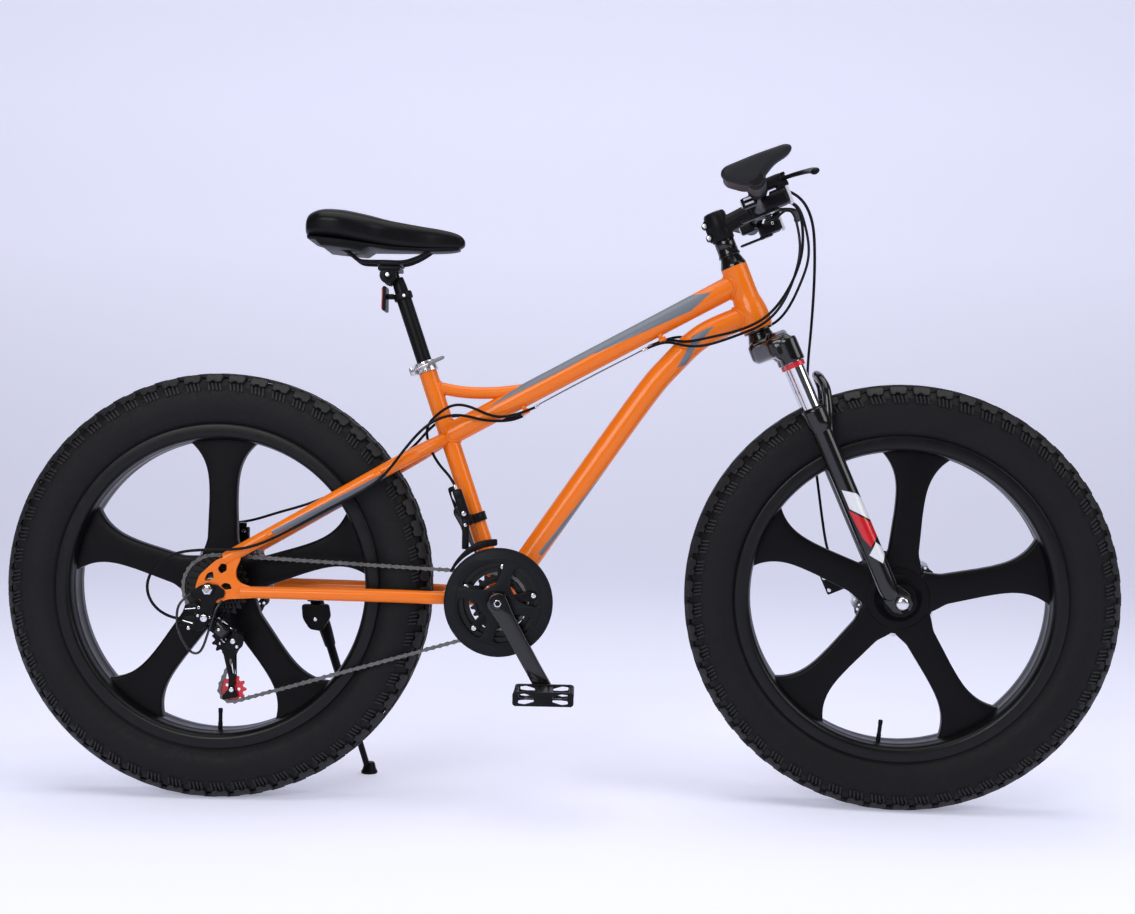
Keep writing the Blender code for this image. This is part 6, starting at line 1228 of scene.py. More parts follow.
def derailleur():
    """The rear derailleur: hanger with upper knuckle and wire guard, link, lower knuckle, cage and
    pulleys."""
    hx, hz = HANGER_BOLT
    kx, kz = KNUCKLE_PIVOT
    hanger = Skin("satin_black", "silver", "gloss_black")
    claw = eased([(-0.03, 0.375), (-0.012, 0.388), (0.014, 0.389), (0.029, 0.378), (0.027, 0.366),
        (0.014, 0.362), (hx + 0.012, hz), (hx + 0.009, hz - 0.01), (hx - 0.009, hz - 0.01),
        (hx - 0.011, hz + 0.004), (-0.012, 0.362), (-0.03, 0.365)], 0.004, 4)
    plate(hanger, [claw, circle(0.0055, 24, (0.0, 0.38))], -0.0923, -0.0968, ACROSS, 0.001, 3)
    rod(hanger, (hx, -0.0943, hz), (hx, -0.072, hz), 0.0095, 32, 0, None, 0.0014)
    rod(hanger, (hx, -0.1, hz), (hx, -0.096, hz), 0.0082, 32, 0, None, 0.001)
    bolt(hanger, (hx, -0.0999, hz), (0, -1, 0), 0.0062, 0.0016, 1)
    base = at(hx, LINK_Y, hz) @ SLANT
    body = eased([(-0.015, -0.0125), (0.004, -0.015), (0.01, -0.008), (0.01, 0.011), (-0.006, 0.016),
        (-0.017, 0.006)], 0.005, 4)
    plate(hanger, [body, circle(0.0078, 24)], -0.0075, -0.0145, base @ ACROSS, 0.0016, 3)
    bolt(hanger, (-0.0115, -0.0143, -0.004), (0, -1, 0), 0.0026, 0.0012, 1, base)
    bolt(hanger, (0.006, -0.0143, 0.0065), (0, -1, 0), 0.0024, 0.0012, 1, base)
    upper = [(-0.04, 0.352), (-0.024, 0.358), (-0.013, 0.35), (-0.015, 0.337), (-0.034, 0.34)]
    lower = [(-0.045, 0.329), (-0.029, 0.335), (-0.008, 0.33), (-0.002, 0.316), (-0.015, 0.306),
        (-0.04, 0.313)]
    plate(hanger, [eased(upper, 0.004, 4)], -0.089, -0.096, ACROSS, 0.0018, 3)
    plate(hanger, [eased(lower, 0.005, 4)], -0.0885, -0.0945, ACROSS, 0.0018, 3)
    rod(hanger, (-0.056, -0.0915, 0.317), (-0.038, -0.0915, 0.322), 0.0042, 20, 0, None, 0.0008)
    rod(hanger, (-0.04, -0.0962, 0.345), (-0.022, -0.0962, 0.347), 0.0012, 12, 1)
    rod(hanger, (-0.044, -0.0948, 0.325), (-0.026, -0.0948, 0.32), 0.0013, 12, 1)
    for x, z, size in ((-0.034, 0.312, 0.0032), (-0.016, 0.348, 0.0028), (-0.008, 0.323, 0.003)):
        bolt(hanger, (x, -0.0945, z), (0, -1, 0), size, 0.0022, 1)
    for side in (-1, 1):
        block(hanger, (0.019, 0.0085, 0.0028), (0.0135, 0, side * 0.0112), 0.0008, base)
    block(hanger, (0.0088, 0.0085, 0.0252), (0.0064, 0, 0), 0.0012, base)
    bolt(hanger, (0.0185, 0, 0.0125), (0, 0, 1), 0.0036, 0.0012, 1, base)
    bolt(hanger, (0.006, -0.0042, 0.0055), (0, -1, 0), 0.0024, 0.0016, 1, base)
    bolt(hanger, (0.006, -0.0042, -0.0055), (0, -1, 0), 0.0024, 0.0016, 1, base)
    guard = [(0.025, -0.0985, 0.362), (0.015, -0.104, 0.344), (0.005, -0.1055, 0.311),
        (-0.005, -0.1055, 0.281), (-0.015, -0.1055, 0.27), (-0.029, -0.1055, 0.275),
        (-0.043, -0.1055, 0.297), (-0.051, -0.1055, 0.325), (-0.048, -0.1045, 0.353),
        (-0.031, -0.0985, 0.372)]
    pipe(hanger, smooth_path(guard, 8), 0.0022, 16, 2)
    piece(hanger, "derailleur_hanger_look", "frame", ["derailleur_hanger"])

    link = Skin("satin_black", "silver", "gloss_black")
    span = LINK_SPAN
    outline = eased([(-0.0045, -0.0095), (span + 0.0045, -0.0095), (span + 0.0045, 0.0095),
        (-0.0045, 0.0095)], 0.0035, 4)
    plate(link, [outline], -0.005, 0.005, LINK @ ACROSS, 0.0018, 3)
    cover = eased([(-0.001, -0.0125), (span + 0.0025, -0.011), (span + 0.004, 0.01), (0.003, 0.0125),
        (-0.0015, 0.006)], 0.004, 4)
    plate(link, [cover], -0.0128, -0.0048, LINK @ ACROSS, 0.0022, 3)
    plate(link, [inset(wound(cover, True), 0.0036)], -0.0134, -0.012, LINK @ ACROSS, 0.0006, 2, 2)
    for x in (0.0, span):
        for side in (-1, 1):
            rod(link, (x, 0, side * 0.0094), (x, 0, side * 0.0097), 0.0026, 16, 1, LINK)
    bolt(link, (span * 0.5, -0.0133, 0.0), (0, -1, 0), 0.0026, 0.001, 1, LINK)
    piece(link, "derailleur_link_look", "derailleur_link", ["derailleur_link"])

    knuckle = Skin("satin_black", "silver")
    rod(knuckle, (kx, LINK_Y - 0.006, kz), (kx, LINK_Y + 0.013, kz), 0.0095, 32, 0, None, 0.0014)
    for side in (-1, 1):
        block(knuckle, (0.019, 0.0085, 0.0028), (0.005, 0, side * 0.0112), 0.0008, KNUCKLE)
        bolt(knuckle, (0.0, 0, side * 0.0125), (0, 0, side), 0.0036, 0.001, 1, KNUCKLE)
    block(knuckle, (0.0088, 0.0085, 0.0252), (0.0121, 0, 0), 0.0012, KNUCKLE)
    mass = eased([(0.0105, -0.015), (0.033, -0.013), (0.037, 0.002), (0.03, 0.015), (0.0115, 0.016)], 0.005,
        4)
    plate(knuckle, [mass], -0.0125, -0.003, KNUCKLE @ ACROSS, 0.0026, 3)
    bolt(knuckle, (0.03, -0.0124, -0.003), (0, -1, 0), 0.0026, 0.001, 1, KNUCKLE)
    bolt(knuckle, (kx, LINK_Y - 0.0124, kz), (0, -1, 0), 0.0044, 0.0012, 1)
    piece(knuckle, "derailleur_knuckle_look", "derailleur_knuckle", ["derailleur_knuckle"])

    cage = Skin("satin_black", "silver")
    gx, gz = GUIDE_PULLEY
    tx, tz = TENSION_PULLEY
    outline = eased([(gx - 0.009, gz + 0.004), (gx, gz + 0.01), (kx + 0.006, kz + 0.008),
        (kx + 0.008, kz - 0.004), (gx + 0.018, gz - 0.026), (tx + 0.006, tz + 0.022),
        (tx + 0.0055, tz + 0.003), (tx + 0.013, tz - 0.013), (tx - 0.009, tz - 0.017),
        (tx - 0.015, tz - 0.019), (tx - 0.017, tz - 0.013), (tx - 0.006, tz + 0.001),
        (tx - 0.005, tz + 0.02), (gx - 0.002, gz - 0.026), (gx - 0.008, gz - 0.008)], 0.003, 4)
    slot = eased([(tx - 0.001, tz + 0.026), (tx + 0.004, tz + 0.025), (gx + 0.0125, gz - 0.033),
        (gx + 0.006, gz - 0.032)], 0.002, 3)
    for side in (-1, 1):
        y = SPROCKET_FIRST + side * 0.0058
        plate(cage, [outline, slot], y, y + side * 0.0015, ACROSS, 0.0004, 2)
    for x, z in (GUIDE_PULLEY, TENSION_PULLEY):
        rod(cage, (x, SPROCKET_FIRST - 0.008, z), (x, SPROCKET_FIRST + 0.008, z), 0.0024, 16, 1)
        bolt(cage, (x, SPROCKET_FIRST - 0.0073, z), (0, -1, 0), 0.0042, 0.0016, 1)
    rod(cage, (kx, LINK_Y + 0.0133, kz), (kx, SPROCKET_FIRST - 0.0062, kz), 0.006, 28)
    piece(cage, "derailleur_cage_look", "derailleur_cage", ["derailleur_cage"])

    for name, (x, z) in (("guide_pulley", GUIDE_PULLEY), ("tension_pulley", TENSION_PULLEY)):
        pulley = Skin("red_plastic" if name == "tension_pulley" else "plastic_black", "steel")
        holes = [circle(0.0028, 12, (0.0118 * cos(a), 0.0118 * sin(a))) for a in ring_angles(5)]
        place = at(x, SPROCKET_FIRST, z) @ ACROSS
        plate(pulley, [gear(11, 0.003, 0.003)] + holes + [circle(0.005, 24)], -0.0011, 0.0011, place, 0.0003,
            1)
        turned(pulley, [(-0.0046, 0.0031), (-0.0046, 0.0062), (-0.0012, 0.007), (0.0012, 0.007),
            (0.0046, 0.0062), (0.0046, 0.0031)], place, 32, closed=True)
        turned(pulley, [(-0.005, 0.003), (-0.005, 0.005), (0.005, 0.005), (0.005, 0.003)], place, 24, 1,
            closed=True)
        piece(pulley, name + "_look", name, [name])


def front_derailleur():
    """The front derailleur: band and bracket on the seat tube, arms, and the two plates beside the chain."""
    clamp = Skin("satin_black", "silver")
    place = SEAT @ at(0, 0, 0.15)
    turned(clamp, [(-0.008, 0.0169), (-0.008, 0.0194), (-0.007, 0.02), (0.007, 0.02), (0.008, 0.0194),
        (0.008, 0.0169)], place, 56, closed=True)
    block(clamp, (0.016, 0.0242, 0.016), (-0.01, -0.0301, 0.002), 0.0025, place)
    bolt(clamp, (-0.01, -0.0422, 0.002), (0, -1, 0), 0.0034, 0.001, 1, place)
    piece(clamp, "front_derailleur_clamp_look", "frame", ["front_derailleur_clamp"])

    cage = Skin("satin_black", "silver", "dark_steel")
    pivot = SEAT @ at(-0.012, -0.047, 0.165)
    block(cage, (0.017, 0.0088, 0.06), (0.0, 0.0, 0.014), 0.003, pivot)
    block(cage, (0.01, 0.003, 0.044), (0.0, -0.005, 0.014), 0.0012, pivot)
    rod(cage, (0, -0.0066, 0.0), (0, 0.005, 0.0), 0.0055, 24, 0, pivot, 0.0008)
    bolt(cage, (0, -0.0064, 0.0), (0, -1, 0), 0.0042, 0.0014, 1, pivot)
    bolt(cage, (0.0, -0.0064, 0.032), (0, -1, 0), 0.0036, 0.0018, 0, pivot)
    px, _, pz = pivot.translation
    block(cage, (0.012, 0.0125, 0.054), (px + 0.003, -0.0488, pz - 0.036), 0.0022)
    bolt(cage, (px + 0.003, -0.055, pz - 0.02), (0, -1, 0), 0.003, 0.0012, 1)
    place = CRANK @ ACROSS
    arc = np.radians(np.linspace(93, 150, 26))
    for y in (-0.07, -0.0548):
        high = np.interp(arc, np.radians((93, 112, 128, 150)), (0.1085, 0.1105, 0.1065, 0.101))
        inner = 0.0975 * np.stack([np.cos(arc), np.sin(arc)], axis=-1)
        outer = high[:, None] * np.stack([np.cos(arc), np.sin(arc)], axis=-1)
        plate(cage, [eased(np.vstack([inner, outer[::-1]]), 0.003, 2)], y, y + 0.0014, place, 0.0005, 2, 0)
    roof = np.radians(np.linspace(108, 124, 8))
    inner = 0.1062 * np.stack([np.cos(roof), np.sin(roof)], axis=-1)
    outer = 0.1086 * np.stack([np.cos(roof), np.sin(roof)], axis=-1)
    plate(cage, [np.vstack([inner, outer[::-1]])], -0.0695, -0.054, place, 0.0004, 1, 2)
    piece(cage, "front_derailleur_cage_look", "front_derailleur_cage", ["front_derailleur_cage"])


def caliper_body(skin, low, high, rotor_y, place, open_low):
    """A cable caliper: two rounded half bodies beside the rotor, a bridge over it, screws and a pad
    adjuster."""
    low, high = np.array(low), np.array(high)
    centre, size = (low + high) / 2, high - low
    for near, far in ((low[1], rotor_y - 0.0019), (rotor_y + 0.0019, high[1])):
        block(skin, (size[0], far - near, size[2]), (centre[0], (near + far) / 2, centre[2]), 0.0022, place,
            corner=0.009)
    if open_low:
        block(skin, (size[0] * 0.9, size[1] * 0.9, size[2] * 0.28), (centre[0], centre[1],
            high[2] - size[2] * 0.14), 0.002, place)
        spots = [(low[0] + 0.008, high[2] - 0.007), (high[0] - 0.008, high[2] - 0.007)]
    else:
        block(skin, (size[0] * 0.28, size[1] * 0.9, size[2] * 0.9), (low[0] + size[0] * 0.14, centre[1],
            centre[2]), 0.002, place)
        spots = [(low[0] + 0.006, low[2] + 0.008), (low[0] + 0.006, high[2] - 0.008)]
    for x, z in spots:
        bolt(skin, (x, low[1], z), (0, -1, 0), 0.0036, 0.0014, 1, place)
        bolt(skin, (x, high[1], z), (0, 1, 0), 0.0036, 0.0006, 1, place)
    turned(skin, [(-0.0016, 0.0), (-0.0016, 0.0085), (-0.0004, 0.0095), (0.001, 0.0095), (0.001, 0.0)],
        place @ at(centre[0], low[1], centre[2] - 0.002) @ ACROSS, 24, 2)


def brakes():
    """Both cable calipers and the arms that the cables pull."""
    rear = Skin("satin_black", "silver", "satin_black")
    caliper_body(rear, (-0.014, 0.059, 0.439), (0.03, 0.0756, 0.48), 0.067, Matrix.Identity(4), True)
    piece(rear, "rear_brake_caliper_look", "frame", ["rear_brake_caliper"])
    arm = Skin("steel", "satin_black", "silver")
    place = at(0.018, 0.0668, 0.4803)
    rod(arm, (0, 0, 0), (0, 0, 0.0076), 0.0075, 28, 1, place, 0.001)
    outline = eased([(0.006, -0.005), (0.006, 0.005), (-0.03, 0.0036), (-0.0308, -0.0036)], 0.003, 3)
    plate(arm, [outline], 0.0042, 0.0074, place, 0.0008, 2)
    bolt(arm, (0, 0, 0.0074), (0, 0, 1), 0.005, 0.001, 2, place)
    bolt(arm, (-0.0265, 0.004, 0.0058), (0, 1, 0), 0.003, 0.0012, 2, place)
    piece(arm, "rear_brake_arm_look", "rear_brake_arm", ["rear_brake_arm"])
    front = Skin("satin_black", "silver", "satin_black")
    caliper_body(front, (-0.1, 0.04, -0.418), (-0.0623, 0.069, -0.378), 0.0505, FORK, False)
    piece(front, "front_brake_caliper_look", "fork_lowers", ["front_brake_caliper"])
    arm = Skin("steel", "satin_black", "silver")
    place = FORK @ at(-0.082, 0.0703, -0.39)
    rod(arm, (0, 0.0002, 0), (0, 0.0076, 0), 0.0075, 28, 1, place, 0.001)
    outline = eased([(-0.0048, -0.004), (0.0048, -0.004), (0.0036, 0.0298), (-0.0036, 0.0298)], 0.003, 3)
    plate(arm, [outline], 0.0042, 0.0074, place @ ACROSS, 0.0008, 2)
    bolt(arm, (0, 0.0074, 0), (0, 1, 0), 0.005, 0.0005, 2, place)
    piece(arm, "front_brake_arm_look", "front_brake_arm", ["front_brake_arm"])


def kickstand():
    """The stand: a bracket clamped under the chain stay, a tapered sleeve leg with a rivet, and the sliding
    foot."""
    pivot = Vector((0.15, 0.108, 0.342))
    down = (Vector((0.243, 0.185, 0.0)) - pivot).normalized()
    axis = down.cross(Vector((-0.9947, 0.05, 0.09))).normalized()
    across = axis.cross(-down).normalized()
    stand = at(*pivot) @ Matrix((across, axis, -down)).transposed().to_4x4()
    bracket = Skin("satin_black", "silver")
    block(bracket, (0.046, 0.022, 0.0062), (0.15, 0.078, 0.3588), 0.0018)
    block(bracket, (0.02, 0.03, 0.0125), (0.15, 0.0795, 0.35), 0.0025)
    cheek = [(0.1263, 0.3365), (0.1769, 0.3375), (0.1811, 0.3132), (0.1647, 0.2867), (0.1421, 0.29),
        (0.1286, 0.3103)]
    plate(bracket, [eased(cheek, 0.006, 4)], 0.082, 0.093, ACROSS, 0.002, 3)
    bolt(bracket, (0.1527, 0.0822, 0.3089), (0, -1, 0), 0.0036, 0.0012, 1)
    for x in (0.134, 0.166):
        bolt(bracket, (x, 0.078, 0.3557), (0, 0, -1), 0.0042, 0.003, 1)
    piece(bracket, "kickstand_bracket_look", "frame", ["kickstand_bracket"])
    leg = Skin("satin_black", "silver", "plastic_black")
    rod(leg, (0, -0.0108, 0), (0, 0.008, 0), 0.0098, 32, 0, stand, 0.0012)
    bolt(leg, (0, 0.008, 0), (0, 1, 0), 0.006, 0.0018, 1, stand)
    turned(leg, [(0.002, 0.0), (0.001, 0.0105), (-0.004, 0.012), (-0.06, 0.012), (-0.09, 0.0104),
        (-0.0925, 0.0096), (-0.093, 0.0082), (-0.159, 0.0079), (-0.1598, 0.0074), (-0.1598, 0.0064),
        (-0.12, 0.0064), (-0.12, 0.0)], stand, 36)
    piece(leg, "kickstand_leg_look", "kickstand_leg", ["kickstand_leg"])
    foot = Skin("satin_black", "plastic_black")
    length = (Vector((0.243, 0.185, 0.0)) - pivot).length
    rod(foot, (0, 0, -0.11), (0, 0, -length + 0.014), 0.006, 28, 0, stand)
    turned(foot, [(0.0, 0.0), (0.0, 0.0145), (0.0012, 0.0158), (0.004, 0.0158), (0.008, 0.0132),
        (0.019, 0.0104), (0.0215, 0.009), (0.022, 0.0)], at(0.243, 0.185, 0.0), 36, 1)
    piece(foot, "kickstand_foot_look", "kickstand_foot", ["kickstand_foot"])


# Front end
# Lays a flat drawing in the Y-Z plane
UPRIGHT = Matrix(((0, 0, 1, 0), (1, 0, 0, 0), (0, 1, 0, 0), (0, 0, 0, 1)))


def bar_at(y):
    """The handlebar's middle line in the turned front end's frame."""
    share = max(abs(y) - 0.045, 0.0) / (BAR_HALF - 0.045)
    return np.array([BAR_FORWARD - 0.01 * share, y, BAR_HEIGHT + 0.0042 * min(share * 2.0, 1.0)])


def sleeve(skin, side, low, high, radius, mark=0, sides=32, edge=0.001):
    """A round sleeve that follows the bar between two distances from its middle, with eased ends."""
    ys = np.concatenate([[low, low + edge * 0.3, low + edge], np.linspace(low, high, 8)[1:-1],
        [high - edge, high - edge * 0.3, high]])
    size = np.full(len(ys), radius)
    size[[0, -1]] -= edge
    size[[1, -2]] -= edge * 0.3
    pipe(skin, np.stack([bar_at(side * y) for y in ys]), size, sides, mark, FRONT, up=(0, 0, 1))


def fork_crown():
    """The crown: bridge, rear block and leg sockets melted into one form, under the steerer tube."""
    form = Skin("gloss_black")
    front = [(-0.0925, -0.036), (-0.0925, -0.066), (-0.052, -0.067), (-0.038, -0.057), (0.038, -0.057),
        (0.052, -0.067), (0.0925, -0.066), (0.0925, -0.036), (0.06, -0.024), (0.03, -0.016), (-0.03, -0.016),
        (-0.06, -0.024)]
    plate(form, [eased(front, 0.008, 4)], -0.0175, 0.0175, FRONT @ at(0.027, 0, 0) @ UPRIGHT, 0.006, 4)
    block(form, (0.05, 0.06, 0.036), (-0.004, 0, -0.038), 0.009, FRONT, corner=0.014, steps=4)
    plan = [(-0.026, -0.026), (0.004, -0.088), (0.02, -0.0925), (0.046, -0.09), (0.046, 0.09),
        (0.02, 0.0925), (0.004, 0.088), (-0.026, 0.026)]
    plate(form, [eased(plan, 0.012, 5)], -0.059, -0.026, FRONT, 0.009, 4)
    turned(form, [(-0.006, 0.0), (-0.006, 0.0208), (-0.02, 0.0252), (-0.045, 0.0252), (-0.045, 0.0)], FRONT,
        40)
    for side in (-1, 1):
        turned(form, [(0.002, 0.0), (0.001, 0.02), (0.004, 0.0212), (0.038, 0.0212), (0.043, 0.02),
            (0.0445, 0.0)], FORK @ at(0, side * LEG_SPREAD, 0), 40)
    points, faces = melted(form, 0.0016, 7)
    skin = Skin("gloss_black", "silver")
    skin.add(points, faces)
    for side in (-1, 1):
        turned(skin, [(-0.0001, 0.0154), (-0.0001, 0.0205), (0.0012, 0.0213), (0.006, 0.0213),
            (0.006, 0.0154)], FORK @ at(0, side * LEG_SPREAD, 0), 48, closed=True)
    turned(skin, [(-0.0043, 0.0), (-0.0043, 0.02), (-0.0055, 0.0208), (-0.01, 0.0214), (-0.01, 0.0)], FRONT,
        48)
    turned(skin, [(-0.02, 0.0), (-0.02, 0.01425), (0.2195, 0.01425), (0.2195, 0.0)], FRONT, 40)
    return piece(skin, "fork_crown_look", "steering", ["fork_crown"], 50)


def stanchions():
    """Two chrome legs with a red ring under the crown."""
    for side, word in ((-1, "right"), (1, "left")):
        skin = Skin("chrome", "red_plastic")
        place = FORK @ at(0, side * LEG_SPREAD, 0)
        turned(skin, [(0.035, 0.0126), (0.035, 0.015), (-0.21, 0.015), (-0.21, 0.0126)], place, 56,
            closed=True)
        turned(skin, [(-0.0006, 0.015), (-0.0006, 0.0176), (-0.0014, 0.0185), (-0.0092, 0.0185),
            (-0.01, 0.0178), (-0.01, 0.015)], place, 56, 1, closed=True)
        piece(skin, "stanchion_" + word + "_look", "steering", ["stanchion_" + word])


def fork_lowers():
    """The sliding legs: turned tubes with a collar, the arch between them, plate dropouts and the brake's
    mount."""
    skin = Skin("gloss_black", "decal_black", "satin_black")
    outer = smooth_path([(-0.093, 0.0214), (-0.105, 0.0215), (-0.118, 0.0211), (-0.13, 0.018),
        (-0.145, 0.0176), (-0.28, 0.0176), (-0.39, 0.0175), (-0.425, 0.0172), (-0.44, 0.015),
        (-0.446, 0.012)], 5)
    for side in (-1, 1):
        place = FORK @ at(0, side * LEG_SPREAD, 0)
        turned(skin, np.vstack([[(-0.089, 0.0154), (-0.089, 0.02), (-0.09, 0.0209)], outer,
            [(-0.4475, 0.009), (-0.4475, 0.0001), (-0.3, 0.0001), (-0.3, 0.0154)]]), place, 64, 1,
            closed=True)
        turned(skin, [(-0.086, 0.0152), (-0.0862, 0.0172), (-0.0872, 0.018), (-0.0892, 0.0182),
            (-0.0892, 0.0152)], place, 56, 2, closed=True)
        foot = eased([(-0.0079, -0.468), (0.0041, -0.477), (0.0066, -0.477), (0.0074, -0.465)], 0.001, 2,
            False)
        arc = np.linspace(pi, 0, 9)
        slot = [(0.0121 + 0.0048 * cos(a), -0.46 + 0.0048 * sin(a)) for a in arc]
        rest = eased([(0.017, -0.477), (0.0201, -0.477), (0.0301, -0.466), (0.0301, -0.448), (0.014, -0.422),
            (-0.014, -0.422), (-0.014, -0.45)], 0.005, 3, False)
        plate(skin, [np.vstack([foot[:-1], slot, rest])], side * 0.0677, side * 0.0773, FORK @ ACROSS,
            0.0016, 3)
    route = [(0.004, -0.0735, -0.15), (0.014, -0.0715, -0.126), (0.026, -0.069, -0.095),
        (0.0345, -0.06, -0.066), (0.0345, -0.042, -0.048), (0.0335, -0.02, -0.04), (0.033, 0.0, -0.038)]
    full = smooth_path(route + [(x, -y, z) for x, y, z in reversed(route[:-1])], 8)
    size = 0.0088 + 0.004 * np.abs(np.linspace(-1, 1, len(full))) ** 4
    pipe(skin, full, size, 28, 0, FORK, flat=0.92, up=(1, 0, 0.3))
    web = [(0.03, -0.064, -0.088), (0.0335, -0.04, -0.066), (0.0335, 0.0, -0.0585), (0.0335, 0.04, -0.066),
        (0.03, 0.064, -0.088)]
    pipe(skin, smooth_path(web, 8), 0.0034, 16, 0, FORK)
    block(skin, (0.05, 0.0078, 0.029), (-0.036, 0.064, -0.4), 0.0018, FORK, 0, 0.006)
    for z in (-0.391, -0.409):
        bolt(skin, (-0.052, 0.068, z), (0, 1, 0), 0.004, 0.0012, 2, FORK)
    return piece(skin, "fork_lowers_look", "fork_lowers", ["fork_lowers"], 45)


def front_axle():
    """The front axle with its domed nut, and the cam lever on its left end."""
    place = FORK @ at(*FORK_HUB)
    skin = Skin("silver", "steel", "satin_black")
    turned(skin, [(-0.0855, 0.0), (-0.0855, 0.004), (0.0815, 0.0045), (0.0815, 0.0)], place @ ACROSS, 28, 1)
    for side in (-1, 1):
        turned(skin, [(side * 0.0671, 0.0047), (side * 0.0671, 0.008), (side * 0.046, 0.0097),
            (side * 0.043, 0.0085), (side * 0.043, 0.0047)], place @ ACROSS, 32, 1, closed=True)
    turned(skin, [(-0.078, 0.0046), (-0.078, 0.0118), (-0.0794, 0.0124), (-0.0806, 0.0118),
        (-0.0832, 0.0108), (-0.0852, 0.008), (-0.0858, 0.0045), (-0.0859, 0.0)], place @ ACROSS, 40)
    turned(skin, [(-0.0806, 0.0119), (-0.0812, 0.0122), (-0.0818, 0.0117), (-0.0812, 0.011)], place @ ACROSS,
        40, 2, closed=True)
    piece(skin, "front_axle_look", "fork_lowers", ["front_axle"])
    lever = Skin("silver", "satin_black")
    hinge = FORK @ at(0.0121, 0.0888, -0.46)
    turned(lever, [(0.005, 0.0), (0.0048, 0.0064), (0.004, 0.008), (-0.01, 0.0095), (-0.0108, 0.009),
        (-0.0108, 0.0049), (-0.0065, 0.0049), (-0.0065, 0.0)], hinge @ ACROSS, 36)
    blade = smooth_path([(0, 0.001, 0), (-0.016, 0.01, 0.007), (-0.034, 0.013, 0.016),
        (-0.052, 0.014, 0.024)], 6)
    pipe(lever, blade, np.interp(np.linspace(0, 1, len(blade)), (0, 0.4, 1), (0.004, 0.0036, 0.005)), 20, 0,
        hinge, domed=True, flat=0.62, up=(0, 1, 0))
    piece(lever, "front_quick_release_look", "front_quick_release", ["front_quick_release"])


def stem():
    """The stem: spacer column, steerer clamp with two cross bolts, a round arm and the bar clamp with its
    cover."""
    skin = Skin("satin_black", "gloss_black", "silver")
    turned(skin, [(0.141, 0.0146), (0.141, 0.02), (0.1418, 0.0206), (0.144, 0.02), (0.1475, 0.0186),
        (0.156, 0.0183), (0.1564, 0.018), (0.1568, 0.0183), (0.1706, 0.0183), (0.1712, 0.0178),
        (0.1712, 0.0146)], FRONT, 64, 1, closed=True)
    turned(skin, [(0.1716, 0.0146), (0.1716, 0.0196), (0.1726, 0.0205), (0.22, 0.0205), (0.2212, 0.0196),
        (0.2212, 0.0146)], FRONT, 64, closed=True)
    turned(skin, [(0.2214, 0.0), (0.2214, 0.0186), (0.2226, 0.0192), (0.224, 0.0186), (0.2252, 0.015),
        (0.2254, 0.006), (0.224, 0.0056), (0.224, 0.0)], FRONT, 56, 1)
    bolt(skin, (0, 0, 0.2238), (0, 0, 1), 0.005, 0.0014, 2, FRONT)
    form = Skin("satin_black")
    rod(form, (0.004, 0, 0.1945), (0.07, 0, 0.2031), 0.0168, 32, 0, FRONT, end_radius=0.0152)
    turned(form, [(0.174, 0.0), (0.174, 0.0196), (0.219, 0.0196), (0.219, 0.0)], FRONT, 40)
    rod(form, (BAR_FORWARD, -0.02, BAR_HEIGHT), (BAR_FORWARD, 0.02, BAR_HEIGHT), 0.0208, 40, 0, FRONT, 0.002)
    block(form, (0.018, 0.017, 0.042), (-0.015, 0, 0.1955), 0.003, FRONT)
    points, faces = melted(form, 0.0014, 6)
    skin.add(points, faces)
    rod(skin, (BAR_FORWARD, -0.0213, BAR_HEIGHT), (BAR_FORWARD, 0.0213, BAR_HEIGHT), 0.0204, 48, 0, FRONT,
        0.0015)
    face = FRONT @ at(BAR_FORWARD, 0, BAR_HEIGHT)
    ring = np.radians(np.linspace(-78, 78, 20))
    outline = np.vstack([np.stack([0.0216 * np.cos(ring), 0.0216 * np.sin(ring)], axis=-1),
        np.stack([0.0165 * np.cos(ring[::-1]), 0.0165 * np.sin(ring[::-1])], axis=-1)])
    plate(skin, [outline], -0.0208, 0.0208, face @ turn(-6, "Y") @ ACROSS, 0.001, 2)
    for y in (-0.0145, 0.0145):
        for rise in (-1, 1):
            rod(skin, (0.003, y, rise * 0.02), (0.015, y, rise * 0.0175), 0.0046, 20, 0, face, 0.0008)
            bolt(skin, (0.015, y, rise * 0.0175), (1, 0, -0.2 * rise), 0.0037, 0.002, 2, face)
    for height in (0.184, 0.207):
        rod(skin, (-0.023, -0.011, height), (-0.023, 0.011, height), 0.0056, 28, 0, FRONT, 0.0012)
        bolt(skin, (-0.023, -0.0108, height), (0, -1, 0), 0.0042, 0.0016, 2, FRONT)
        bolt(skin, (-0.023, 0.0108, height), (0, 1, 0), 0.0042, 0.0016, 2, FRONT)
    return piece(skin, "stem_look", "steering", ["stem"], 45)


def handlebar():
    """The bar: thick inside its clamp, drawn down to its ends."""
    skin = Skin("satin_black")
    ys = np.linspace(-BAR_HALF, BAR_HALF, 121)
    size = np.interp(np.abs(ys), (0, 0.034, 0.045, 0.058, 0.07, 0.1), (0.0159, 0.0159, 0.015, 0.0128, 0.0117,
        0.0111))
    pipe(skin, np.stack([bar_at(y) for y in ys]), size, 40, 0, FRONT, up=(0, 0, 1))
    return piece(skin, "handlebar_look", "steering", ["handlebar"])


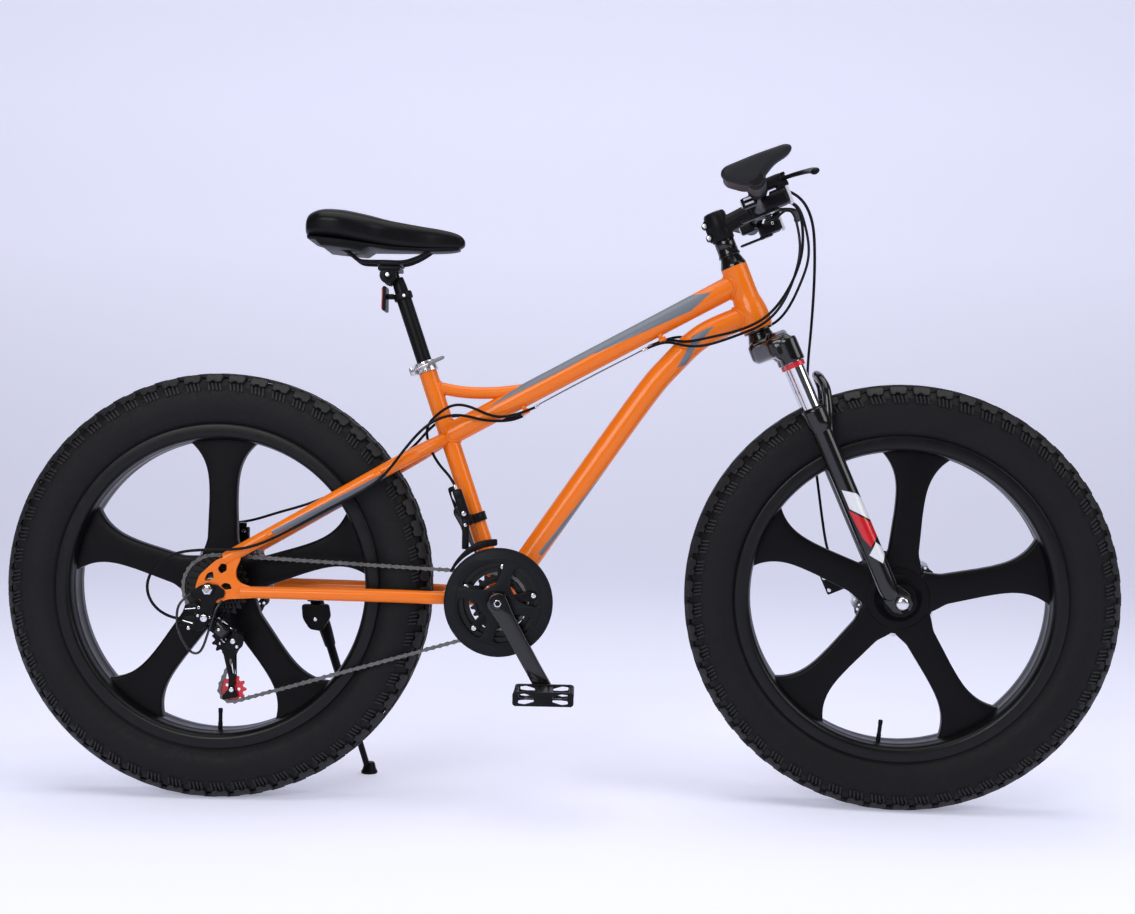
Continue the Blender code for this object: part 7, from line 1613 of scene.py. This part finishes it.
def grips():
    """Each grip: a sleeve with a palm wing behind and a horn at its outer end, melted into one smooth
    form."""
    for side, word in ((-1, "right"), (1, "left")):
        form = Skin("grip_rubber")
        tip = bar_at(side * 0.34)
        sleeve(form, side, 0.2125, 0.318, 0.0155, edge=0.003)
        wing = [(-0.04, 0.034), (-0.046, 0.027), (-0.043, 0.016), (-0.018, -0.003), (0.01, -0.004),
            (0.013, 0.01), (0.01, 0.03)]
        blob = [(-0.039, 0.037), (-0.049, 0.03), (-0.046, 0.016), (-0.0205, -0.003), (-0.002, -0.0075),
            (0.013, -0.0015), (0.0357, 0.012), (0.059, 0.0165), (0.0695, 0.024), (0.068, 0.0315),
            (0.059, 0.0352), (0.012, 0.0375)]
        base = np.array((tip[0], tip[2]))
        plate(form, [eased(np.array(wing) + base, 0.008, 5)], side * 0.24, side * 0.332, FRONT @ ACROSS,
            0.008, 4)
        plate(form, [eased(np.array(blob) + base, 0.008, 6)], side * 0.306, side * 0.3356, FRONT @ ACROSS,
            0.0085, 5)
        points, faces = melted(form, 0.0016, 16)
        skin = Skin("grip_rubber", "satin_black")
        skin.add(points, faces)
        sleeve(skin, side, 0.212, 0.219, 0.0168, 1, edge=0.0012)
        for y in np.linspace(0.224, 0.236, 4):
            sleeve(skin, side, y, y + 0.002, 0.016, 0, edge=0.0006)
        piece(skin, "grip_" + word + "_look", "steering", ["grip_" + word], 60)


def hand_units():
    """Each hand unit: clamp, brake bracket, shifter pod with a plain window, and the levers that turn on
    it."""
    for side, word in ((-1, "right"), (1, "left")):
        y = side * HAND_Y
        hold = bar_at(y)
        x, z = hold[0], hold[2]
        form = Skin("plastic_black")
        sleeve(form, side, HAND_Y - 0.0118, HAND_Y + 0.0118, 0.0163, edge=0.002)
        block(form, (0.04, 0.031, 0.019), (x + 0.0255, y - side * 0.002, z + 0.004), 0.006, FRONT, steps=4)
        block(form, (0.044, 0.042, 0.023), (x + 0.0215, y - side * 0.004, z - 0.0265), 0.006, FRONT, steps=4)
        block(form, (0.025, 0.026, 0.018), (x - 0.0195, y - side * 0.002, z - 0.012), 0.003, FRONT)
        points, faces = melted(form, 0.0014, 5)
        skin = Skin("plastic_black", "silver", "pale_plastic", "satin_black")
        skin.add(points, faces)
        for low, thick in ((-0.0062, 0.0078), (0.0101, 0.0048)):
            block(skin, (0.022, 0.0138, thick), (x + 0.04, y + side * 0.004, z + low), 0.0012, FRONT,
                corner=0.005)
        bolt(skin, (x + 0.044, y + side * 0.004, z + 0.0124), (0, 0, 1), 0.004, 0.001, 1, FRONT)
        bolt(skin, (x + 0.001, y + side * 0.008, z + 0.0145), (0.2, 0, 1), 0.0034, 0.0012, 1, FRONT)
        block(skin, (0.003, 0.02, 0.012), (x - 0.0318, y - side * 0.002, z - 0.011), 0.0008, FRONT, 2)
        block(skin, (0.002, 0.022, 0.014), (x - 0.0314, y - side * 0.002, z - 0.011), 0.0008, FRONT, 3)
        block(skin, (0.005, 0.032, 0.029), (x + 0.046, y - side * 0.004, z - 0.025), 0.001, FRONT, 2)
        block(skin, (0.03, 0.03, 0.003), (x + 0.031, y - side * 0.004, z - 0.0115), 0.001, FRONT, 3)
        for rise in (-0.007, -0.015):
            block(skin, (0.015, 0.002, 0.0034), (x - 0.02, y + side * 0.0112, z + rise), 0.0006, FRONT, 2)
        exit_y = y - side * 0.018
        rod(skin, (x + 0.03, exit_y, z + 0.002), (x + 0.03, exit_y - side * 0.005, z + 0.002), 0.0045, 16, 3,
            FRONT, 0.0006)
        piece(skin, "hand_unit_" + word + "_look", "steering", ["hand_unit_" + word], 60)

        lever = Skin("satin_black", "silver")
        hinge = FRONT @ at(x + 0.044, y + side * 0.004, z - 0.0019)
        rod(lever, (0, 0, 0), (0, 0, 0.0088), 0.0065, 28, 0, hinge, 0.0008)
        route = smooth_path([(0.001, side * 0.002, 0.0045), (0.018, side * 0.02, 0.001),
            (0.035, side * 0.044, -0.0045), (0.041, side * 0.078, -0.011), (0.042, side * 0.108, -0.0175)],
            8)
        size = np.interp(np.linspace(0, 1, len(route)), (0, 0.15, 0.5, 0.9, 1),
            (0.0052, 0.005, 0.0058, 0.0068, 0.0074))
        pipe(lever, route, size, 24, 0, hinge, domed=True, flat=0.72, up=(0, 0, 1))
        piece(lever, "brake_lever_" + word + "_look", "brake_lever_" + word, ["brake_lever_" + word])

        thumb = Skin("plastic_black", "satin_black", "silver")
        hinge = FRONT @ at(x + 0.01, y - side * 0.004, z - 0.0358)
        rod(thumb, (0, 0, 0), (0, 0, -0.006), 0.013, 36, 1, hinge, 0.001)
        paddle = eased([(0.006, -0.006), (0.006, 0.006), (-0.03, 0.0108), (-0.05, 0.009), (-0.0535, 0.0),
            (-0.05, -0.007), (-0.03, -0.0078)], 0.005, 4)
        plate(thumb, [paddle], -0.0055, -0.0015, hinge, 0.0012, 3)
        bolt(thumb, (0, 0, -0.006), (0, 0, -1), 0.0045, 0.001, 2, hinge)
        piece(thumb, "shift_lever_" + word + "_look", "shift_lever_" + word, ["shift_lever_" + word])


# Seat
CLAMP_REACH = 0.612
SADDLE_REAR = 0.1434
CLAMP = SEAT @ Vector((-0.012, 0, CLAMP_REACH))
SADDLE = at(CLAMP.x - 0.2929, 0, CLAMP.z - 0.9404)
SADDLE_FORM = smooth_path([(0.0, 0.046, 1.033, 1.008), (0.012, 0.061, 1.048, 1.002),
    (0.035, 0.072, 1.0555, 0.9985), (0.07, 0.0738, 1.0545, 0.995), (0.11, 0.059, 1.048, 0.9905),
    (0.15, 0.0385, 1.0395, 0.988), (0.2, 0.025, 1.0315, 0.987), (0.24, 0.0215, 1.0255, 0.9872),
    (0.268, 0.0175, 1.019, 0.9895), (0.284, 0.012, 1.01, 0.995)], 10)


def saddle_cover():
    """The padded cover: at length t along it and turn a round it, a point lies at the section's half width
    times c(a) and its height times s(a), both powers of cosine and sine, drawn in at the ends, with a seam
    at its side."""
    skin = Skin("leatherette")
    x, half, top, low = SADDLE_FORM.T
    t = np.linspace(0, 1, len(x))
    end = np.clip(t / 0.1, 0, 1)
    nose = np.clip((1 - t) / 0.07, 0, 1)
    ease = np.sqrt(1 - (1 - end) ** 2 * 0.97) * np.sqrt(1 - (1 - nose) ** 2 * 0.97)
    a = ring_angles(96)
    c = np.sign(np.cos(a)) * np.abs(np.cos(a)) ** 0.62
    s = np.where(np.sin(a) > 0, np.abs(np.sin(a)) ** 0.72, -np.abs(np.sin(a)) ** 0.5)
    share = np.where(s > 0, 0.58, 0.42)
    middle = low + 0.42 * (top - low)
    draw = 1 - 0.17 * np.clip(-s, 0, 1) ** 1.6
    seam = 1 - 0.022 * np.exp(-((a - 2 * pi * (a > pi)) / 0.1) ** 2) - 0.022 * np.exp(-((a - pi) / 0.1) ** 2)
    dip = 0.0028 * np.exp(-(c / 0.16) ** 2) * (s > 0)
    long_dip = np.clip(np.sin(pi * np.clip((x - 0.02) / 0.24, 0, 1)), 0, 1)
    y = (half * ease)[:, None] * (c * draw * seam)[None, :]
    z = middle[:, None] + ((top - low) * (0.25 + 0.75 * ease))[:, None] * (share * s)[None, :]
    z = z - long_dip[:, None] * dip[None, :]
    grid = np.stack([SADDLE_REAR + 0.001 + x[:, None] + 0 * y, y, z], axis=-1)
    rolled(skin, grid, 0, SADDLE)
    cover = piece(skin, "saddle_cover_look", "saddle", ["saddle_cover"], 70)
    return cover


def saddle_base():
    """The hard base under the cover, deeper and stepped below the wide rear, with its two rails."""
    skin = Skin("plastic_black", "satin_black")
    x, half, _, low = SADDLE_FORM[8:-6].T
    depth = 0.004 + 0.0095 * np.clip((0.118 - x) / 0.014, 0, 1) * np.clip((x - 0.024) / 0.01, 0, 1)
    ring = np.array([(0.8, -1.0), (0.86, -0.9), (0.88, -0.55), (0.905, -0.5), (0.92, 0.0), (0.9, 0.35)])
    section = np.vstack([ring, ring[::-1] * (-1, 1)])
    y = (half * 0.95)[:, None] * section[None, :, 0]
    z = low[:, None] + 0.0012 + depth[:, None] * section[None, :, 1]
    z = np.where(section[None, :, 1] > 0, low[:, None] + 0.003, z)
    rolled(skin, np.stack([SADDLE_REAR + x[:, None] + 0 * y, y, z], axis=-1), 0, SADDLE)
    for side in (-1, 1):
        route = [(0.206, side * 0.03, 0.988), (0.222, side * 0.027, 0.98), (0.238, side * 0.023, 0.9675),
            (0.252, side * 0.022, 0.9643), (0.285, side * 0.022, 0.9643), (0.318, side * 0.022, 0.9643),
            (0.338, side * 0.019, 0.97), (0.356, side * 0.015, 0.979), (0.368, side * 0.0125, 0.987)]
        pipe(skin, smooth_path(route, 6), 0.0035, 20, 1, SADDLE)
    return piece(skin, "saddle_base_look", "saddle", ["saddle_base"], 40)


def seatpost():
    """The post with its sleeve step and head, the clamp with serrated ends, and the reflector on its arm."""
    skin = Skin("satin_black", "satin_black")
    place = SEAT @ at(0, 0, 0.443)
    turned(skin, [(0.161, 0.0), (0.161, 0.01), (0.16, 0.0106), (0.145, 0.012), (0.127, 0.0126),
        (0.123, 0.0134), (0.1215, 0.0136), (-0.181, 0.0136), (-0.181, 0.0)], place, 56)
    rod(skin, (CLAMP.x, -0.0168, CLAMP.z), (CLAMP.x, 0.0168, CLAMP.z), 0.0118, 40, 1)
    rod(skin, (CLAMP.x + 0.01, 0, CLAMP.z - 0.012), tuple(CLAMP), 0.0092, 32, 1)
    piece(skin, "seatpost_look", "seatpost", ["seatpost"])
    clamp = Skin("satin_black", "silver")
    block(clamp, (0.043, 0.059, 0.0078), (CLAMP.x + 0.002, 0, CLAMP.z + 0.0213), 0.0022)
    block(clamp, (0.04, 0.056, 0.0078), (CLAMP.x + 0.002, 0, CLAMP.z + 0.0123), 0.0022)
    angle = ring_angles(144)
    for side in (-1, 1):
        radius = 0.0148 + 0.0006 * np.cos(angle * 24)
        outline = np.stack([radius * np.cos(angle), radius * np.sin(angle)], axis=-1)
        plate(clamp, [outline], side * 0.0176, side * 0.0256, at(*CLAMP) @ ACROSS, 0.0008, 2)
        nut(clamp, (CLAMP.x, side * 0.0254, CLAMP.z), (0, side, 0), 0.0075, 0.0045, 0)
    rod(clamp, (CLAMP.x, -0.031, CLAMP.z), (CLAMP.x, 0.031, CLAMP.z), 0.0036, 20, 1, None, 0.0006)
    piece(clamp, "saddle_clamp_look", "saddle", ["saddle_clamp"])
    hold = seat_at(CLAMP_REACH - 0.0415)
    back = Skin("plastic_black", "red_lens", "silver")
    turned(back, [(-0.006, 0.0139), (-0.006, 0.0166), (-0.0052, 0.0172), (0.0052, 0.0172), (0.006, 0.0166),
        (0.006, 0.0139)], SEAT @ at(0, 0, 0.5705), 48, closed=True)
    block(back, (0.0165, 0.0095, 0.0095), (hold[0] - 0.0238, 0, hold[2] - 0.001), 0.0015)
    block(back, (0.006, 0.044, 0.044), (hold[0] - 0.0315, 0, hold[2] - 0.006), 0.0018, corner=0.006)
    plate(back, [rectangle(0.04, 0.04, 0.005)], -0.0015, 0.0018, at(hold[0] - 0.035, 0,
        hold[2] - 0.006) @ UPRIGHT, 0.001, 2, 1)
    bolt(back, (hold[0] + 0.004, -0.0168, hold[2]), (0, -1, 0), 0.003, 0.0012, 2)
    piece(back, "reflector_look", "seatpost", ["reflector"])


# Cables
HOUSING_RADIUS = 0.0025
CAP_RADIUS = 0.0031
WIRE_RADIUS = 0.0009
ROUTE_STEPS = 8


def front_at(x, y, z):
    """World place of a point of the turned front end."""
    return tuple(spot(FRONT, x, y, z))


def leg_at(x, y, z):
    """World place of a point of the leaning fork legs."""
    return tuple(spot(FORK, x, y, z))


def unit_exit(side, pod):
    """First points of a cable that leaves the inner side of a hand unit."""
    y = HAND_Y - (0.0263 if pod else 0.0183)
    z = BAR_HEIGHT + 0.0042 + (-0.0235 if pod else 0.002)
    return [front_at(0.1, side * y, z), front_at(0.101, side * (y - 0.008), z)]


def cable_routes():
    """Each cable's route from its hand unit to its brake or derailleur, with the stretch that runs bare."""
    rear_shift = unit_exit(-1, True) + [(1.001, -0.15, 1.057), (1.013, -0.14, 1.017), (1.016, -0.11, 0.97),
        (0.997, -0.08, 0.915), (0.963, -0.064, 0.871), (0.915, -0.06, 0.848), (0.88, -0.046, 0.84),
        (0.82, -0.024, 0.828), under_tube(0.78, 0.0, 0.029), under_tube(0.7), under_tube(0.55),
        under_tube(0.515, -0.006, 0.034), (0.471, -0.026, 0.683), (0.429, -0.034, 0.694),
        (0.392, -0.05, 0.686), (0.363, -0.084, 0.662), (0.335, -0.092, 0.627), (0.29, -0.09, 0.572),
        (0.2, -0.091, 0.52), (0.11, -0.097, 0.47), (0.06, -0.104, 0.452), (0.0, -0.108, 0.45),
        (-0.06, -0.108, 0.442), (-0.098, -0.108, 0.41), (-0.106, -0.104, 0.374), (-0.088, -0.098, 0.342),
        (-0.056, -0.091, 0.326), (-0.032, -0.087, 0.327), (-0.0168, -0.085, 0.33)]
    front_shift = unit_exit(1, True) + [(1.03, 0.145, 1.105), (1.043, 0.115, 1.058), (1.039, 0.06, 1.0),
        (1.018, 0.01, 0.94), (0.99, -0.03, 0.89), (0.957, -0.058, 0.859), (0.93, -0.07, 0.846),
        (0.855, -0.056, 0.82), (0.812, -0.034, 0.824), under_tube(0.772, -0.01, 0.031),
        under_tube(0.69, -0.01), under_tube(0.57, -0.01), under_tube(0.54, -0.014, 0.029),
        (0.496, -0.028, 0.688), (0.464, -0.031, 0.7), (0.434, -0.033, 0.712), (0.411, -0.034, 0.712),
        (0.39, -0.031, 0.695), (0.363, -0.008, 0.67), (0.372, 0.0, 0.63), (0.392, -0.018, 0.6),
        (0.4145, -0.044, 0.582), tuple(seat_at(0.2096, -0.047, -0.012))]
    rear_brake = unit_exit(1, False) + [(1.04, 0.155, 1.118), (1.06, 0.13, 1.061), (1.062, 0.1, 1.0),
        (1.038, 0.07, 0.937), (1.016, 0.06, 0.895), (0.986, 0.056, 0.866), (0.93, 0.056, 0.86),
        (0.86, 0.042, 0.836), under_tube(0.795, 0.01, 0.032), under_tube(0.7, 0.01), under_tube(0.55, 0.01),
        under_tube(0.515, 0.018, 0.029), (0.465, 0.03, 0.685), (0.426, 0.034, 0.694), (0.39, 0.05, 0.688),
        (0.356, 0.08, 0.664), (0.325, 0.095, 0.63), (0.25, 0.096, 0.58), (0.15, 0.094, 0.53),
        (0.075, 0.094, 0.506), (0.03, 0.091, 0.491), (0.002, 0.086, 0.4865), (-0.009, 0.079, 0.4862),
        (-0.009, 0.0717, 0.4862)]
    front_brake = unit_exit(-1, False) + [(1.005, -0.155, 1.068), (1.028, -0.145, 1.03),
        (1.038, -0.115, 0.98), (1.045, -0.07, 0.92), (1.051, -0.01, 0.856), (1.058, 0.06, 0.803),
        (1.065, 0.1035, 0.757), (1.074, 0.104, 0.66), (1.085, 0.104, 0.595), (1.097, 0.103, 0.511),
        (1.106, 0.09, 0.45), leg_at(-0.062, 0.078, -0.3575), leg_at(-0.0765, 0.0761, -0.36)]
    head = ("frame", "steering", (0.94, 0.0, 0.86), (1.02, 0.0, 1.03))
    leg = ("steering", "fork_lowers", (1.065, 0.1035, 0.757), (1.097, 0.103, 0.511))
    return {"rear_shift_cable": (head, rear_shift, 10), "front_shift_cable": (head, front_shift, 11),
        "rear_brake_cable": (head, rear_brake, 10), "front_brake_cable": (leg, front_brake, None)}


def relaxed(path, rounds=36):
    """The same line with its wobbles evened out: each point moves to the mean of itself and its
    neighbours."""
    length = np.linalg.norm(np.diff(path, axis=0), axis=1).sum()
    line = along_line(path, np.linspace(0, length, max(8, int(length / 0.004))))
    for _ in range(rounds):
        line[2:-2] = 0.25 * line[1:-3] + 0.5 * line[2:-2] + 0.25 * line[3:-1]
    return line


def cables():
    """The four cables: housing along a smooth line, bare wire under the top tube and silver caps at the
    ends."""
    steps = ROUTE_STEPS
    for name, (body, route, bare) in cable_routes().items():
        skin = Skin("housing", "chain_steel", "silver")
        path = smooth_path(route, steps)
        stretches = [path] if bare is None else [path[:bare * steps + 5], path[(bare + 2) * steps + 3:]]
        for stretch in stretches:
            stretch = relaxed(stretch)
            pipe(skin, stretch, HOUSING_RADIUS, 14)
            for end, near in ((stretch[0], stretch[2]), (stretch[-1], stretch[-3])):
                along = (near - end) / np.linalg.norm(near - end)
                rod(skin, end - along * 0.0002, end + along * 0.009, CAP_RADIUS, 18, 2, None, 0.0006)
        if bare is not None:
            pipe(skin, path[bare * steps + 3:(bare + 2) * steps + 5], WIRE_RADIUS, 8, 1)
        piece(skin, name + "_look", body, [name])


# Stage
PHOTO_WIDTH = 1135
FOCAL_PIXELS = 1382.6
CAMERA_PLACE = (0.654, -2.4905, 0.634)
CAMERA_TURN, CAMERA_DIP, CAMERA_ROLL = radians(0.797), radians(-0.301), radians(1.03)
STUDIO_LIGHTS = (
    ("top_light", (0.6, -0.4, 4.2), (0.6, 0.1, 0.4), 4.2, 3.6, 115.0),
    ("front_light", (-1.4, -4.6, 2.4), (0.5, 0.0, 0.6), 2.8, 2.2, 120.0),
    ("side_light", (4.4, -2.0, 2.6), (0.8, 0.0, 0.6), 2.2, 2.6, 60.0))


def stage():
    """A pale floor that curves up behind, soft lights, and the camera at the photograph's place."""
    scene = bpy.context.scene
    t = np.linspace(0, pi / 2, 24)
    y = np.concatenate([[-7.0], 4.0 + 3.0 * np.sin(t), [7.0]])
    z = np.concatenate([[0.0], 3.0 * (1 - np.cos(t)), [9.0]])
    x = np.linspace(-9.0, 10.0, 3)
    grid = np.stack([x[None, :] + 0 * y[:, None], y[:, None] + 0 * x[None, :], z[:, None] + 0 * x[None, :]],
        axis=-1)
    mesh = bpy.data.meshes.new("floor")
    mesh.from_pydata(grid.reshape(-1, 3), [], grid_faces(len(y), 3, wrap_columns=False)[:, ::-1].tolist())
    mesh.materials.append(finish("floor"))
    mesh.shade_smooth()
    floor = bpy.data.objects.new("floor", mesh)
    scene.collection.objects.link(floor)
    world = bpy.data.worlds.new("studio")
    world.use_nodes = True
    world.node_tree.nodes["Background"].inputs["Color"].default_value = (0.86, 0.87, 0.95, 1.0)
    world.node_tree.nodes["Background"].inputs["Strength"].default_value = 0.09
    scene.world = world
    for name, place, target, width, height, power in STUDIO_LIGHTS:
        lamp = bpy.data.lights.new(name, "AREA")
        lamp.shape = "RECTANGLE"
        lamp.size, lamp.size_y, lamp.energy = width, height, power
        thing = bpy.data.objects.new(name, lamp)
        way = Vector(target) - Vector(place)
        thing.matrix_world = at(*place) @ way.to_track_quat("-Z", "Y").to_matrix().to_4x4()
        scene.collection.objects.link(thing)
    view = Matrix.Rotation(CAMERA_TURN, 3, "Z") @ Matrix.Rotation(CAMERA_DIP, 3, "X")
    right, ahead, up = view.col
    level = right * cos(CAMERA_ROLL) + up * sin(CAMERA_ROLL)
    rise = up * cos(CAMERA_ROLL) - right * sin(CAMERA_ROLL)
    lens = bpy.data.cameras.new("camera")
    lens.sensor_fit = "HORIZONTAL"
    lens.sensor_width = 36.0
    lens.lens = FOCAL_PIXELS * 36 / PHOTO_WIDTH
    lens.clip_start, lens.clip_end = 0.05, 60.0
    camera = bpy.data.objects.new("camera", lens)
    camera.matrix_world = at(*CAMERA_PLACE) @ Matrix((level, rise, -ahead)).transposed().to_4x4()
    scene.collection.objects.link(camera)
    scene.camera = camera
    scene.view_settings.view_transform = "Standard"
    scene.view_settings.look = "None"


# Operators
class Builder:
    """Shared form of the operators that build pieces."""
    bl_options = {"REGISTER", "UNDO"}

    def execute(self, context):
        """Runs the step, and ends as finished."""
        self.build()
        return {"FINISHED"}


class FATBIKE_OT_wheels(Builder, bpy.types.Operator):
    """Builds both tyres, wheels and disc rotors"""
    bl_idname = "fatbike.wheels"
    bl_label = "Wheels"

    def build(self):
        tyre("rear_tyre_look", "rear_wheel", REAR_HUB)
        tyre("front_tyre_look", "front_wheel", FRONT_HUB)
        rear = [(-0.044, 0.029), (-0.043, 0.03), (-0.02, 0.033), (0.02, 0.033), (0.03, 0.0265),
            (0.05, 0.0265), (0.057, 0.03), (0.0652, 0.03), (0.0655, 0.0152), (0.072, 0.015)]
        wheel("rear_wheel_look", "rear_wheel", REAR_HUB, 90.0, rear, [(-0.0788, -0.0435, 0.0156)])
        front = [(-0.0495, 0.018), (-0.049, 0.025), (-0.047, 0.029), (-0.043, 0.03), (-0.024, 0.032),
            (-0.014, 0.042), (0.014, 0.042), (0.024, 0.03), (0.04, 0.03), (0.0488, 0.03), (0.049, 0.0152),
            (0.054, 0.015)]
        wheel("front_wheel_look", "front_wheel", FRONT_HUB, 84.0, front, [(-0.0518, -0.0492, 0.0165)])
        rotor("rear_rotor_look", "rear_wheel", REAR_HUB, 0.067)
        rotor("front_rotor_look", "front_wheel", FRONT_HUB, 0.0505)


class FATBIKE_OT_drive(Builder, bpy.types.Operator):
    """Builds the sprockets, chain, cranks, rings, guard and pedals"""
    bl_idname = "fatbike.drive"
    bl_label = "Drive"

    def build(self):
        freewheel()
        chain()
        spindle()
        crank_arm(-1)
        crank_arm(1)
        chainrings()
        chain_guard()
        pedal(-1)
        pedal(1)


class FATBIKE_OT_frame(Builder, bpy.types.Operator):
    """Builds the welded frame with its bearing, axle and collar"""
    bl_idname = "fatbike.frame"
    bl_label = "Frame"

    def build(self):
        main_frame()
        bottom_bracket()
        seat_collar()
        rear_axle()


class FATBIKE_OT_gears(Builder, bpy.types.Operator):
    """Builds the front and rear derailleurs"""
    bl_idname = "fatbike.gears"
    bl_label = "Derailleurs"

    def build(self):
        derailleur()
        front_derailleur()


class FATBIKE_OT_brakes(Builder, bpy.types.Operator):
    """Builds the calipers and the kickstand"""
    bl_idname = "fatbike.brakes"
    bl_label = "Brakes and stand"

    def build(self):
        brakes()
        kickstand()


class FATBIKE_OT_fork(Builder, bpy.types.Operator):
    """Builds the fork with its axle"""
    bl_idname = "fatbike.fork"
    bl_label = "Fork"

    def build(self):
        fork_crown()
        stanchions()
        fork_lowers()
        front_axle()


class FATBIKE_OT_cockpit(Builder, bpy.types.Operator):
    """Builds the stem, handlebar, grips, hand units and levers"""
    bl_idname = "fatbike.cockpit"
    bl_label = "Cockpit"

    def build(self):
        stem()
        handlebar()
        grips()
        hand_units()


class FATBIKE_OT_seat(Builder, bpy.types.Operator):
    """Builds the seatpost, clamp, reflector and saddle"""
    bl_idname = "fatbike.seat"
    bl_label = "Seat"

    def build(self):
        seatpost()
        saddle_base()
        saddle_cover()


class FATBIKE_OT_cables(Builder, bpy.types.Operator):
    """Builds the four cables"""
    bl_idname = "fatbike.cables"
    bl_label = "Cables"

    def build(self):
        cables()


class FATBIKE_OT_stage(Builder, bpy.types.Operator):
    """Builds the floor, the lights and the camera"""
    bl_idname = "fatbike.stage"
    bl_label = "Stage"

    def build(self):
        stage()


class FATBIKE_PT_panel(bpy.types.Panel):
    """Lists the sizes, the colours and the steps that build the bike"""
    bl_label = "Fat tire bike"
    bl_idname = "FATBIKE_PT_panel"
    bl_space_type = "VIEW_3D"
    bl_region_type = "UI"
    bl_category = "Fat tire bike"

    def draw(self, context):
        """Draws the settings, then one button for each step."""
        layout = self.layout
        for settings in (context.scene.fat_bike_sizes, context.scene.fat_bike_colours):
            box = layout.box()
            for key in type(settings).__annotations__:
                box.prop(settings, key)
        for step in STEPS:
            layout.operator(step.bl_idname)


STEPS = (FATBIKE_OT_wheels, FATBIKE_OT_drive, FATBIKE_OT_frame, FATBIKE_OT_gears, FATBIKE_OT_brakes,
    FATBIKE_OT_fork, FATBIKE_OT_cockpit, FATBIKE_OT_seat, FATBIKE_OT_cables, FATBIKE_OT_stage)
CLASSES = (FatBikeColours, FatBikeSizes) + STEPS + (FATBIKE_PT_panel,)


def register():
    """Registers the settings, the steps and the panel."""
    for kind in CLASSES:
        bpy.utils.register_class(kind)
    bpy.types.Scene.fat_bike_colours = PointerProperty(type=FatBikeColours)
    bpy.types.Scene.fat_bike_sizes = PointerProperty(type=FatBikeSizes)


def unregister():
    """Takes everything that was registered away again."""
    del bpy.types.Scene.fat_bike_sizes
    del bpy.types.Scene.fat_bike_colours
    for kind in reversed(CLASSES):
        bpy.utils.unregister_class(kind)


def main():
    """Registers the add-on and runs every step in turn."""
    register()
    for step in STEPS:
        group, name = step.bl_idname.split(".")
        getattr(getattr(bpy.ops, group), name)()


if __name__ == "__main__":
    main()
